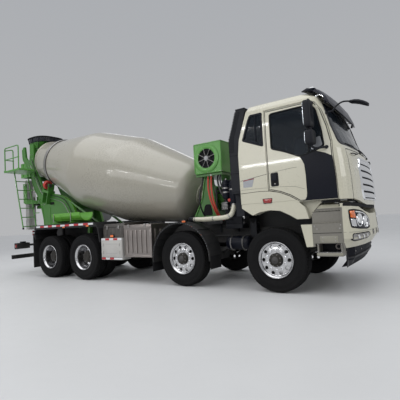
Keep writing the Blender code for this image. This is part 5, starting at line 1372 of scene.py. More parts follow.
p = Piece("cooler_guard", "green", "bare_steel", "gloss_black", "grey")
m4 = to_y(-1, -1.46, -0.80, 2.50)
p.lathe([(0.287, 0.0), (0.200, 0.001), (0.194, 0.001), (0.194, 0.010), (0.199, 0.013), (0.282, 0.013), (0.287, 0.010), (0.287, 0.0)], "green", m4, steps=56)
for r in (0.080, 0.108, 0.136, 0.164, 0.188):
    p.pipe(ring_pts(FAN_C + Vector((0, -0.012, 0)), r, "y", 44), 0.0016, "steel", seg=6, closed=True)
for k in range(8):
    a = math.tau * (k + 0.35) / 8
    d = Vector((math.cos(a), 0, math.sin(a)))
    q = [FAN_C + Vector((0, -0.0165, 0)) + d * r for r in (0.035, 0.11, 0.190)] + [FAN_C + Vector((0, -0.011, 0)) + d * 0.210]
    p.pipe(q, 0.0042, "bare_steel", seg=8)
p.lathe([(0.050, 0.008), (0.048, 0.020), (0.030, 0.026), (0.0, 0.027)], "grey", m4, steps=28)
p.lathe([(0.252, -0.137), (0.252, -0.134), (0.0, -0.134)], "gloss_black", m4, steps=40)
# folded edges, panel joints, bolts and hinges of the box
for x0, x1, z0, z1 in ((-1.76, -1.12, 2.20, 2.225), (-1.76, -1.12, 2.795, 2.82), (-1.76, -1.735, 2.20, 2.82), (-1.145, -1.12, 2.20, 2.82)):
    p.box((x0 + 0.001, x1 - 0.001), (-0.805, -0.798), (z0 + 0.001, z1 - 0.001), "green", r=0.002)
p.bolts([P(x, -0.8045, z) for x in (-1.745, -1.44, -1.135) for z in (2.213, 2.807)], (0, -1, 0), 0.006, 0.006, "bare_steel")
for y in (-0.62, -0.45, -0.28):
    p.box((-1.73, -1.15), (y - 0.012, y + 0.012), (2.815, 2.828), "green", r=0.003)
for y0, y1, z0, z1 in ((-0.80, -0.10, 2.20, 2.225), (-0.80, -0.10, 2.795, 2.82), (-0.80, -0.775, 2.20, 2.82), (-0.125, -0.10, 2.20, 2.82)):
    p.box((-1.122, -1.115), (y0 + 0.001, y1 - 0.001), (z0 + 0.001, z1 - 0.001), "green", r=0.002)
p.box((-1.1205, -1.1175), (-0.455, -0.445), (2.225, 2.795), "gloss_black", r=0.001)
p.bolts([P(-1.1155, y, z) for y in (-0.787, -0.45, -0.113) for z in (2.213, 2.807)], (1, 0, 0), 0.006, 0.006, "bare_steel")
p.done("chassis", 38, slot="green")

p = Piece("cooler_blades", "black", "steel")
c = P(-1.46, -0.725, 2.50)
for k in range(8):
    a0 = math.tau * k / 8
    rows = []
    for j in range(7):
        r = 0.060 + 0.175 * j / 6
        row = []
        for i in range(7):
            t = i / 6 - 0.5
            a = a0 + t * 0.62 + 0.35 * (r / 0.235) ** 2
            row.append(c + Vector((r * math.cos(a), 0.030 * math.sin(t * 2.4) , r * math.sin(a))))
        rows.append(row)
    p.sheet(rows, "black", thick=0.004)
m4f = to_y(-1, -1.46, -0.725, 2.50)
p.lathe([(0.0, -0.052), (0.068, -0.052), (0.072, -0.046), (0.072, 0.040), (0.066, 0.050), (0.030, 0.052), (0.028, 0.044), (0.0, 0.044)], "steel", m4f, steps=36)
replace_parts(p.done("cooler_fan_body", 38, slot="black"), "cooler_fan")

# hoses, filters and the vessel between cooler and cab
p = Piece("oil_hoses", "hose_red", "hose", "bare_steel", "steel")
for x0, x1, y0, y1 in ((-1.500, -1.385, -0.70, -0.66), (-1.415, -1.330, -0.72, -0.68)):
    pts = spline([P(x0, y0, 2.205), P(x0, y0 - 0.01, 2.10), P(x0 + 0.015, y0 - 0.05, 1.90), P((x0 + x1) / 2, y1 - 0.10, 1.68), P(x1, y1 - 0.06, 1.47), P(x1 + 0.01, y1 + 0.05, 1.33), P(x1 + 0.02, -0.52, 1.25)], 7)
    p.pipe(pts, 0.019, "hose_red", seg=14)
    for i in (2, -3):
        p.pipe([pts[i], pts[i] + (pts[i + 1 if i > 0 else i - 1] - pts[i]).normalized() * 0.035], 0.023, "bare_steel", seg=18)
for x0, x1, r in ((-1.30, -1.08, 0.019), (-1.245, -1.00, 0.015), (-1.66, -1.70, 0.016)):
    pts = spline([P(x0, -0.62, 2.205), P(x0 + 0.01, -0.70, 2.05), P((x0 + x1) / 2, -0.78, 1.82), P(x1, -0.76, 1.60), P(x1 - 0.02, -0.62, 1.40), P(x1 - 0.03, -0.45, 1.26)], 7)
    p.pipe(pts, r, "hose", seg=12)
p.box((-1.68, -1.32), (-0.56, -0.43), (1.175, 1.285), "steel", r=0.012)
p.done("chassis", 40, slot="black")
p = Piece("filters", "gloss_black", "bare_steel", "steel", "grey", "red", "black")
for x, y, r, z0, z1 in ((-1.065, -0.77, 0.075, 1.66, 2.02), (-0.880, -0.80, 0.095, 1.36, 1.98), (-1.09, -0.60, 0.060, 1.40, 1.80)):
    m = Matrix.Translation(P(x, y, 0))
    p.lathe([(0.0, z0), (r * 0.82, z0), (r * 0.97, z0 + 0.014), (r, z0 + 0.04), (r, z1 - 0.10), (r * 1.06, z1 - 0.095), (r * 1.08, z1 - 0.085),
             (r * 1.06, z1 - 0.075), (r * 0.99, z1 - 0.07), (r * 0.97, z1 - 0.03), (r * 0.80, z1 - 0.006), (r * 0.3, z1), (0.0, z1)], "gloss_black", m, steps=36)
    for z in (z0 + 0.12, z1 - 0.16):
        p.lathe([(r - 0.002, z - 0.013), (r + 0.004, z - 0.013), (r + 0.004, z + 0.013), (r - 0.002, z + 0.013)], "bare_steel", m, steps=36, close=True)
    p.rod(P(x, y, z1 - 0.005), P(x, y, z1 + 0.03), 0.018, "bare_steel", seg=12, bev=0.003)
p.box((-1.16, -0.80), (-0.70, -0.655), (1.17, 2.03), "black", r=0.008)
p.box((-1.16, -0.80), (-0.70, -0.425), (1.075, 1.17), "black", r=0.010)
p.box((-1.10, -0.84), (-0.79, -0.69), (1.325, 1.362), "black", r=0.006)
p.box((-1.13, -1.01), (-0.86, -0.73), (1.44, 1.60), "steel", r=0.02)
for k in range(5):
    p.box((-1.135, -1.005), (-0.868, -0.74), (1.455 + k * 0.028, 1.465 + k * 0.028), "bare_steel", r=0.002)
p.rod(P(-0.955, -0.885, 1.62), P(-0.955, -0.83, 1.62), 0.030, "red", seg=18, bev=0.004)
p.done("chassis", 40, slot="black")
# pale air pipe along the guard, rising behind the cab
p = Piece("air_pipe", "greige", "bare_steel", "black")
pts = spline([P(-1.74, -0.93, 1.292), P(-1.50, -0.96, 1.285), P(-1.22, -0.985, 1.290), P(-1.00, -0.99, 1.300), P(-0.88, -0.985, 1.34), P(-0.835, -0.96, 1.43), P(-0.83, -0.92, 1.53)], 7)
p.pipe(pts, 0.046, "greige", seg=24)
p.pipe([pts[0] + Vector((-0.16, 0.10, 0.01)), pts[0] + Vector((-0.06, 0.03, 0.006)), pts[0]], 0.050, "black", seg=20)
for i in (1, 13, 26, -2):
    d = (pts[i + 1 if i > 0 else -1] - pts[i]).normalized() * 0.012
    p.pipe([pts[i] - d, pts[i] + d], 0.050, "bare_steel", seg=24)
for x in (-1.42, -1.02):
    p.box((x - 0.015, x + 0.015), (-0.985, -0.44), (1.240, 1.258), "black", r=0.004)
    p.box((x - 0.015, x + 0.015), (-0.46, -0.432), (1.00, 1.255), "black", r=0.004)
p.done("chassis", 40, slot="black")

# guards of the second axle: bead, rivets, lamp, reflectors and flap
for tag, s in SIDES:
    ys = lambda a, b: tuple(sorted((s * a, s * b)))
    p = Piece(f"guard_2_details_{tag}", "mud", "plate", "amber", "black", "tape_white", "bare_steel", "seam_and_shade")
    yy = s * 1.2365
    C = (AXLES[1], 0.56)
    p.pipe([P(x, yy - s * 0.004, z) for x, z in arc(C, 0.693, -3, 187, 48)], (0.011, 0.009), "mud", seg=8)
    for k in range(38):
        x, z = arc(C, 0.679, 6 + k * 4.6, 0, 1)[0]
        p.rod(P(x, s * 1.232, z), P(x, s * 1.2395, z), 0.0042, "plate", seg=8, bev=0.001)
    for a in (50, 90, 130):
        x, z = arc(C, 0.702, a, 0, 1)[0]
        dx, dz = math.cos(math.radians(a)), math.sin(math.radians(a))
        p.pipe([P(x, s * 0.81, z), P(x, s * 1.23, z)], 0.008, "mud", seg=8)
    # marker lamp on its bracket over the crown
    x, z = arc(C, 0.70, 78, 0, 1)[0]
    p.box((x - 0.030, x + 0.030), ys(1.185, 1.222), (z - 0.01, z + 0.028), "black", r=0.004)
    p.box((x - 0.048, x + 0.048), ys(1.218, 1.2415), (z - 0.004, z + 0.042), "black", r=0.008)
    p.box((x - 0.040, x + 0.040), ys(1.236, 1.2475), (z + 0.002, z + 0.036), "amber", r=0.006)
    for a in (40, 62):
        x, z = arc(C, 0.690, a, 0, 1)[0]
        rr = Matrix.Rotation(math.radians(90 - a), 3, "Y")
        p.box((x - 0.024, x + 0.024), ys(1.234, 1.2405), (z - 0.008, z + 0.008), "amber", r=0.003, rot=rr, about=None)
    # flap behind the wheel with its clamp bar
    p.box((-2.648, -2.634), ys(0.86, 1.225), (0.275, 0.640), "seam_and_shade", r=0.004)
    p.box((-2.655, -2.610), ys(0.85, 1.230), (0.585, 0.640), "black", r=0.006)
    p.bolts([P(-2.655, s * y, 0.612) for y in (0.92, 1.04, 1.16)], (-1, 0, 0), 0.008, 0.007, "bare_steel")
    for k in range(7):
        p.box((-2.6525, -2.646), ys(0.89 + k * 0.045, 0.905 + k * 0.045), (0.30, 0.575), "seam_and_shade", r=0.002)
    # same at the front end
    p.box((-1.238, -1.222), ys(0.86, 1.225), (0.36, 0.60), "seam_and_shade", r=0.004)
    p.done("chassis", 40, slot="black")

# ribbed stainless box
p = Piece("exhaust_box_ribs", "stainless", "bare_steel", "seam_and_shade")
yf = -1.20
for k in range(6):
    x = -3.405 + k * 0.135
    p.box((x, x + 0.060), (yf - 0.019, yf + 0.002), (0.645, 1.135), "stainless", r=0.010, seg=3)
for z0, z1 in ((0.562, 0.605), (1.175, 1.232)):
    p.box((-3.462, -2.658), (yf - 0.013, yf + 0.002), (z0, z1), "stainless", r=0.006)
p.box((-3.468, -2.652), (-1.214, -0.63), (1.232, 1.256), "stainless", r=0.008)
p.box((-3.461, -3.440), (yf - 0.010, yf + 0.002), (0.565, 1.235), "stainless", r=0.004)
p.box((-2.680, -2.659), (yf - 0.010, yf + 0.002), (0.565, 1.235), "stainless", r=0.004)
for x in (-3.30, -2.82):
    p.box((x - 0.018, x + 0.018), (yf - 0.026, yf), (1.195, 1.268), "bare_steel", r=0.004)
    p.rod(P(x - 0.022, yf - 0.022, 1.262), P(x + 0.022, yf - 0.022, 1.262), 0.008, "bare_steel", seg=12)
p.bolts([P(x, yf - 0.013, 0.583) for x in (-3.43, -3.18, -2.94, -2.69)], (0, -1, 0), 0.0075, 0.006, "bare_steel")
for sx in (-3.4625, -2.6575):
    for k in range(3):
        y = -1.10 + k * 0.17
        p.box((sx - 0.008, sx + 0.008), (y, y + 0.07), (0.64, 1.15), "stainless", r=0.006)
p.done("chassis", 36, slot="stainless")

# grey cover over the locker, and the locker's face
p = Piece("battery_cover", "cover_grey", "bare_steel", "seam_and_shade", "black")
p.prism([(-1.175, 0.9865), (-1.175, 1.23), (-1.13, 1.300), (-0.52, 1.318), (-0.52, 0.9865)], "x", -4.165, -3.505, "cover_grey", r=0.008)
for k in range(5):
    x = -4.10 + k * 0.13
    p.box((x, x + 0.07), (-1.183, -1.17), (1.025, 1.205), "cover_grey", r=0.006)
for x in (-4.02, -3.65):
    p.box((x - 0.016, x + 0.016), (-1.190, -1.165), (1.180, 1.262), "bare_steel", r=0.004)
p.box((-4.168, -3.502), (-1.179, -0.56), (1.220, 1.228), "seam_and_shade", r=0.001)
p.box((-3.95, -3.75), (-0.53, -0.4315), (0.99, 1.055), "black", r=0.004)
p.done("chassis", 38, slot="grey")
p = Piece("locker_face", "white", "tape_white", "tape_red", "amber", "black", "bare_steel", "seam_and_shade", "grey")
yf = -1.24
p.box((-4.145, -3.525), (yf - 0.006, yf + 0.002), (0.560, 0.930), "white", r=0.003)
p.box((-4.165, -3.505), (yf - 0.0015, yf + 0.003), (0.553, 0.558), "seam_and_shade", r=0.0005)
n = 5
for k in range(n):
    w = 0.656 / n
    x = -4.163 + k * w
    p.box((x, x + w - 0.002), (yf - 0.0040, yf), (0.936, 0.980), "tape_red" if k % 2 else "tape_white", r=0.0012)
    p.box((x, x + w - 0.002), (yf - 0.0040, yf), (0.506, 0.550), "tape_red" if k in (0, 2) else "tape_white", r=0.0012)
for z in (0.640, 0.850):
    p.box((-4.02, -3.65), (yf - 0.0085, yf - 0.004), (z, z + 0.006), "grey", r=0.002)
for x in (-4.10, -3.57):
    p.rod(P(x, yf - 0.004, 0.63), P(x, yf - 0.004, 0.70), 0.009, "bare_steel", seg=12)
    p.rod(P(x, yf - 0.004, 0.80), P(x, yf - 0.004, 0.87), 0.009, "bare_steel", seg=12)
p.box((-3.90, -3.80), (-1.205, -1.165), (0.988, 1.000), "black", r=0.003)
p.box((-3.905, -3.795), (-1.208, -1.168), (0.996, 1.058), "black", r=0.008)
p.box((-3.898, -3.802), (-1.2145, -1.195), (1.002, 1.052), "amber", r=0.006)
p.done("chassis", 38, slot="white")

# far-side tank: straps, end rings, filler and sender
p = Piece("tank_fittings", "bare_steel", "stainless", "black", "rubber", "aluminium")
for x in (-3.47, -2.93):
    p.pipe([P(x, 0.87 + 0.313 * math.cos(math.radians(a)), 0.86 + 0.313 * math.sin(math.radians(a))) for a in range(-150, 151, 10)],
           (0.022, 0.0035), "stainless", seg=8, flat=(1, 0, 0))
    p.box((x - 0.035, x + 0.035), (0.435, 0.60), (0.55, 0.61), "black", r=0.006)
    p.box((x - 0.035, x + 0.035), (0.435, 0.475), (0.56, 1.05), "black", r=0.006)
for x, d in ((-3.652, -1), (-2.748, 1)):
    p.pipe(ring_pts(P(x, 0.87, 0.86), 0.295, "x", 44), 0.012, "aluminium", seg=8, closed=True)
    p.pipe(ring_pts(P(x, 0.87, 0.86), 0.19, "x", 36), 0.006, "aluminium", seg=8, closed=True)
m = Matrix.Translation(P(-3.20, 1.00, 1.120)) @ Matrix.Rotation(math.radians(-26), 4, "X")
p.lathe([(0.060, -0.02), (0.060, 0.020), (0.052, 0.026), (0.052, 0.032), (0.056, 0.036), (0.056, 0.062), (0.050, 0.070), (0.0, 0.072)], "black", m, steps=32)
p.rod(P(-3.0, 0.80, 1.155), P(-3.0, 0.80, 1.192), 0.035, "bare_steel", seg=20, bev=0.004)
p.pipe(spline([P(-3.0, 0.80, 1.19), P(-2.97, 0.75, 1.23), P(-2.9, 0.62, 1.16), P(-2.9, 0.47, 1.02)], 5), 0.010, "black", seg=8)
p.done("chassis", 38, slot="aluminium")

# bolts, brackets, air vessels and lines along the rails
p = Piece("frame_details", "frame", "bare_steel", "steel", "gloss_black", "hose")
for s in (-1, 1):
    for k in range(46):
        x = -7.85 + k * 0.19
        if any(abs(x - a) < 0.05 for a in (-1.93,)):
            continue
        for z in (0.85, 1.01):
            p.rod(P(x, s * 0.429, z), P(x, s * 0.438, z), 0.011, "frame", seg=6, bev=0.001)
    p.pipe([P(-7.6, s * 0.452, 0.935), P(-5.6, s * 0.452, 0.93), P(-3.7, s * 0.452, 0.94), P(-2.2, s * 0.452, 0.93), P(0.6, s * 0.452, 0.935)], 0.012, "hose", seg=8)
    for a, b in ((-1.15, -0.62),):
        m = Matrix.Translation(P(a, s * 0.70, 0.80)) @ Matrix.Rotation(math.pi / 2, 4, "Y")
        L = b - a
        p.lathe([(0.0, 0.0), (0.07, 0.008), (0.115, 0.035), (0.128, 0.07), (0.128, L - 0.07), (0.115, L - 0.035), (0.07, L - 0.008), (0.0, L)], "gloss_black", m, steps=32)
        for x in (a + 0.14, b - 0.14):
            p.pipe(ring_pts(P(x, s * 0.70, 0.80), 0.131, "x", 36), (0.004, 0.016), "bare_steel", seg=8, closed=True)
            p.box((x - 0.02, x + 0.02), tuple(sorted((s * 0.432, s * 0.60))), (0.87, 0.93), "frame", r=0.004)
    # propeller shaft and its hangers stay inside the rails
for a, b in ((-4.70, -3.3), (-3.3, -0.95)):
    p.rod(P(a + 0.05, 0, 0.80 if a < -4 else 0.86), P(b - 0.05, 0, 0.86 if a < -4 else 0.93), 0.055, "steel", seg=24)
    for x in (a + 0.07, b - 0.07):
        p.rod(P(x - 0.03, 0, 0.83), P(x + 0.03, 0, 0.84), 0.085, "steel", seg=24, bev=0.006)
p.done("chassis", 40, slot="chassis_black")

# ================================================ hopper, trough, chute, rear
HOP = ((4.19, -8.62, -7.66, 0.47), (4.035, -8.58, -7.70, 0.45), (3.84, -8.46, -7.97, 0.35), (3.45, -8.12, -7.72, 0.20))


def hop_ring(z, grow=0.0, n=64):
    for a, b in zip(HOP, HOP[1:]):
        if b[0] <= z <= a[0]:
            t = (z - b[0]) / (a[0] - b[0])
            x0, x1, w = (b[i] + t * (a[i] - b[i]) for i in (1, 2, 3))
            break
    c, hx, hy = (x0 + x1) / 2, (x1 - x0) / 2 + grow, w + grow
    return [P(c + hx * math.copysign(abs(math.cos(math.tau * k / n)) ** 0.7, math.cos(math.tau * k / n)),
              hy * math.copysign(abs(math.sin(math.tau * k / n)) ** 0.7, math.sin(math.tau * k / n)), z) for k in range(n)]


p = Piece("hopper_trim", "gloss_black", "seam_and_shade", "bare_steel", "green")
p.pipe(hop_ring(4.178, 0.002), (0.020, 0.016), "seam_and_shade", seg=10, closed=True)
p.pipe(hop_ring(4.035, 0.002), (0.009, 0.007), "gloss_black", seg=8, closed=True)
p.pipe(hop_ring(3.845, 0.001), (0.008, 0.006), "gloss_black", seg=8, closed=True)
lo, hi = hop_ring(3.86, 0.001, 24), hop_ring(4.16, 0.001, 24)
for k in range(0, 24, 2):
    p.pipe([lo[k], hop_ring(4.035, 0.003, 24)[k], hi[k]], (0.007, 0.006), "gloss_black", seg=8)
for s in (-1, 1):
    p.bolts([P(x, s * 0.43, z) for x, z in ((-8.33, 3.53), (-8.22, 3.53), (-8.33, 3.66), (-8.22, 3.66))], (0, s, 0), 0.011, 0.010, "bare_steel")
p.done("chassis", 40, slot="black")

p = Piece("trough_trim", "green", "bare_steel", "seam_and_shade")
for s in (-1, 1):
    y = s * 0.370
    p.pipe([P(-8.978, y, 3.445), P(-8.6, y, 3.447), P(-8.125, y, 3.446)], (0.020, 0.008), "green", seg=10, flat=(0, 1, 0))
    for x in (-8.85, -8.60, -8.35):
        p.box((x - 0.010, x + 0.010), tuple(sorted((s * 0.384, s * 0.402))), (3.02, 3.43), "green", r=0.004)
    p.box((-8.97, -8.18), tuple(sorted((s * 0.384, s * 0.396))), (3.19, 3.21), "green", r=0.004)
p.pipe([P(-8.984, -0.375, 3.446), P(-8.984, 0.375, 3.446)], (0.010, 0.014), "green", seg=10)
p.box((-8.990, -8.976), (-0.36, 0.36), (3.15, 3.17), "green", r=0.004)
p.done("chassis", 40, slot="green")

# post, swing arm and the chute's edges, bands and handles
POST = P(-8.60, 0.0, 0.0)
CH_DIR = Vector((-0.68, -0.73, 0)).normalized()
CH_SIDE = Vector((-CH_DIR.y, CH_DIR.x, 0))
YAW = Matrix.Rotation(math.atan2(CH_DIR.y, CH_DIR.x), 4, "Z")
p = Piece("swivel_details", "green", "bare_steel", "steel")
m = Matrix.Translation(POST)
p.lathe([(0.110, 2.058), (0.118, 2.062), (0.118, 2.088), (0.110, 2.094), (0.088, 2.096)], "steel", m, steps=36)
p.lathe([(0.086, 2.30), (0.092, 2.335), (0.080, 2.352), (0.0, 2.356)], "green", m, steps=32)
for sy in (-1, 1):
    h = POST + CH_DIR * 0.36 + CH_SIDE * sy * 0.311 + Vector((0, 0, 2.70))
    p.rod(h - CH_SIDE * sy * 0.004, h + CH_SIDE * sy * 0.020, 0.040, "green", seg=24, bev=0.004)
    p.rod(h + CH_SIDE * sy * 0.018, h + CH_SIDE * sy * 0.034, 0.022, "bare_steel", seg=6, bev=0.002)
    a = POST + CH_DIR * 0.02 + CH_SIDE * sy * 0.311 + Vector((0, 0, 2.152))
    b = POST + CH_DIR * 0.315 + CH_SIDE * sy * 0.311 + Vector((0, 0, 2.19))
    p.pipe([a, b, b + Vector((0, 0, 0.53))], (0.006, 0.008), "green", seg=8)
p.done("chute_swivel_body", 40, slot="green")
p = Piece("chute_bands", "galvanised", "steel", "bare_steel", "green", "grey")
CH_C = POST + CH_DIR * 0.36


def chute_pt(r, a, z):
    return CH_C + CH_DIR * r * math.cos(math.radians(a)) + CH_SIDE * r * math.sin(math.radians(a)) + Vector((0, 0, z))


for z in (1.292, 1.62, 2.02, 2.44, 2.866):
    p.pipe([chute_pt(0.238, a, z) for a in range(90, 271, 9)], (0.007, 0.014), "galvanised", seg=8)
for a in (90, 270):
    p.pipe([chute_pt(0.229, a, z) for z in (1.285, 1.7, 2.1, 2.5, 2.875)], 0.013, "galvanised", seg=10)
for a in (140, 180, 220):
    p.pipe([chute_pt(0.238, a, z) for z in (1.30, 1.7, 2.1, 2.5, 2.85)], (0.006, 0.009), "galvanised", seg=8)
for z in (1.42, 1.58):
    q = [chute_pt(0.236, 172, z), chute_pt(0.275, 172, z), chute_pt(0.275, 188, z), chute_pt(0.236, 188, z)]
    p.pipe(q, 0.007, "bare_steel", seg=8)
p.done("main_chute_body", 40, slot="grey")

# platform: chequer plate, toe boards, rail feet; ladder brackets
p = Piece("platform_details", "green", "bare_steel", "galvanised")
deck = ((-8.46, -1.20), (-7.62, -1.20), (-7.62, -0.74), (-8.05, -0.4615), (-8.46, -0.4615))


def in_deck(x, y, m=0.02):
    return -8.46 + m < x < -7.62 - m and -1.20 + m < y < -0.4615 - m and (x < -8.05 or y < -0.74 + (-7.62 - x) * 0.6477 - m * 1.3)


k = 0
for i in range(20):
    for j in range(18):
        x, y = -8.43 + i * 0.042, -1.175 + j * 0.042
        if in_deck(x, y, 0.022):
            rot = Matrix.Rotation(math.radians(45 if (i + j) % 2 else -45), 3, "Z")
            p.box((x - 0.012, x + 0.012), (y - 0.003, y + 0.003), (3.079, 3.083), "galvanised", r=0.0012, seg=1, rot=rot)
for a, b in zip(deck, deck[1:] + deck[:1]):
    mid_ = [P(a[0], a[1], 3.052), P(b[0], b[1], 3.052)]
    p.pipe(mid_, (0.004, 0.020), "green", seg=8, flat=(b[1] - a[1], a[0] - b[0], 0))
for x, y in ((-8.43, -1.18), (-7.68, -1.18), (-8.43, -0.93)):
    p.rod(P(x, y, 3.078), P(x, y, 3.092), 0.038, "green", seg=20, bev=0.003)
    p.bolts([P(x + dx, y + dy, 3.09) for dx, dy in ((0.026, 0), (-0.026, 0))], (0, 0, 1), 0.006, 0.006, "bare_steel")
for x, y in ((-8.43, -1.18), (-7.68, -1.18), (-8.43, -0.93)):
    p.pipe(ring_pts(P(x, y, 3.42), 0.020, "z", 16), 0.006, "green", seg=6, closed=True)
LT, LB = P(-8.43, 0, 3.04), P(-8.02, 0, 1.30)
for y in (-0.90, -0.48):
    for t in (0.985,):
        q = LT.lerp(LB, t)
        p.rod(q + Vector((0.006, y, -0.028)), q + Vector((-0.001, y, 0.02)), 0.026, "seam_and_shade", seg=16, bev=0.004)
# wire bracing and stand-offs from the ladder to the arms
for t in (0.30, 0.72):
    q = LT.lerp(LB, t)
    p.pipe([q + Vector((0, -0.50, 0)), q + Vector((0.05, -0.47, 0)), q + Vector((0.20, -0.43, 0.0))], 0.012, "green", seg=8)
p.done("chassis", 40, slot="green")

# curved arms: flanged edges, gussets, bolted joints
REAR_ARM = ((-7.56, 1.2506), (-7.71, 1.80), (-7.87, 2.20), (-8.04, 2.46), (-8.20, 2.74), (-8.32, 3.05), (-8.60, 3.42),
            (-8.70, 3.55), (-8.73, 3.88), (-8.68, 3.95), (-8.60, 3.95), (-8.55, 3.60), (-8.44, 3.48), (-8.12, 3.48), (-8.03, 3.20),
            (-7.95, 3.00), (-7.80, 2.80), (-7.64, 2.50), (-7.45, 2.36), (-6.80, 2.24), (-6.36, 2.04), (-6.12, 1.70), (-5.98, 1.2506))
p = Piece("arm_details", "green", "bare_steel", "seam_and_shade", "steel", "hose", "lime")
for s in (-1, 1):
    back = [P(x, s * 0.43, z) for x, z in REAR_ARM[:9]]
    p.pipe(spline(back, 3), (0.046, 0.005), "green", seg=8, flat=(0, 1, 0))
    front_e = [P(x, s * 0.43, z) for x, z in REAR_ARM[17:]]
    p.pipe(spline(front_e, 3), (0.046, 0.005), "lime", seg=8, flat=(0, 1, 0))
    yf = s * 0.4605
    side_ = lambda x, z, h, yf=yf, s=s: P(x, yf + s * h, z)
    patch(p, round_path([(-7.30, 1.985), (-7.30, 2.065), (-7.09, 2.065), (-7.09, 1.985)], 0.038, 6, closed=True), side_, "seam_and_shade", proud=0.0020, deep=0.001, step=0.3)
    strip(p, round_path([(-7.31, 1.975), (-7.31, 2.075), (-7.08, 2.075), (-7.08, 1.975)], 0.045, 6, closed=True), -0.006, 0.006, side_, "green", proud=0.006, deep=0.001, closed=True, step=0.1)
    for path in (((-7.62, 1.30), (-7.66, 1.80), (-7.80, 2.20)), ((-6.20, 1.30), (-6.38, 1.70), (-6.55, 2.02)), ((-7.30, 1.30), (-7.30, 1.90)), ((-7.78, 2.35), (-8.10, 2.90), (-8.42, 3.35))):
        strip(p, path, -0.010, 0.010, side_, "green", proud=0.012, deep=0.001, step=0.2)
    p.bolts([P(x, yf, z) for x, z in ((-7.50, 1.31), (-7.25, 1.31), (-7.0, 1.31), (-6.75, 1.31), (-6.5, 1.31), (-6.25, 1.31), (-7.72, 2.02), (-7.60, 2.02),
                                      (-8.16, 2.98), (-8.24, 3.08), (-8.33, 3.42), (-8.20, 3.42))], (0, s, 0), 0.013, 0.012, "bare_steel")
# water line and control rods on the near arm
p.pipe(spline([P(-6.10, -0.475, 1.40), P(-6.55, -0.480, 2.06), P(-7.35, -0.480, 2.30), P(-7.62, -0.480, 2.42), P(-7.92, -0.480, 2.90), P(-8.10, -0.480, 3.30), P(-8.18, -0.475, 3.46)], 8), 0.011, "hose", seg=8)
p.pipe(spline([P(-6.20, -0.478, 1.33), P(-6.62, -0.487, 1.98), P(-7.40, -0.487, 2.22), P(-7.72, -0.487, 2.42), P(-8.02, -0.487, 2.90), P(-8.24, -0.482, 3.30)], 8), 0.009, "bare_steel", seg=8)
p.done("chassis", 40, slot="green")

# rollers: rubber-red wheels with steel hubs, in their forks
for tag, s in SIDES:
    ang = math.pi - s * math.radians(38)
    up_ = Vector((math.sin(DRUM_TILT), 0, math.cos(DRUM_TILT)))
    c = DRUM_O + (up_ * math.cos(ang) + Vector((0, 1, 0)) * math.sin(ang)) * (0.745 + 0.13 + 0.0055)
    m = Matrix.Translation(c) @ D_AX.to_track_quat("Z", "Y").to_matrix().to_4x4()
    p = Piece(f"roller_wheel_{tag}", "red", "steel", "bare_steel")
    p.lathe([(0.052, -0.046), (0.060, -0.050), (0.112, -0.050), (0.120, -0.0545), (0.127, -0.050), (0.130, -0.040), (0.130, 0.040), (0.127, 0.050),
             (0.120, 0.0545), (0.112, 0.050), (0.060, 0.050), (0.052, 0.046)], "red", m, steps=56, close=True)
    p.lathe([(0.0, -0.088), (0.040, -0.088), (0.045, -0.083), (0.045, -0.058), (0.056, -0.054), (0.056, 0.054), (0.045, 0.058), (0.045, 0.083),
             (0.040, 0.088), (0.0, 0.088)], "steel", m, steps=36)
    for sg in (-1, 1):
        for i in range(6):
            a = math.tau * i / 6
            q = m @ Vector((0.085 * math.cos(a), 0.085 * math.sin(a), sg * 0.049))
            p.rod(q, q + D_AX * sg * 0.007, 0.007, "bare_steel", seg=6, bev=0.001)
    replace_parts(p.done(f"roller_{tag}_body", 38, slot="red"), f"roller_{tag}")
    # cap screws of the fork's bearing blocks
    p = Piece(f"roller_bearing_{tag}", "steel", "bare_steel")
    for sg in (-1, 1):
        q = m @ Vector((0, 0, sg * 0.124))
        p.rod(q, q + D_AX * sg * 0.022, 0.055, "steel", seg=28, bev=0.006)
        for i in range(4):
            a = math.tau * (i + 0.5) / 4
            w = m @ Vector((0.038 * math.cos(a), 0.038 * math.sin(a), sg * 0.145))
            p.rod(w, w + D_AX * sg * 0.006, 0.006, "bare_steel", seg=6)
    p.done("chassis", 38, slot="steel")

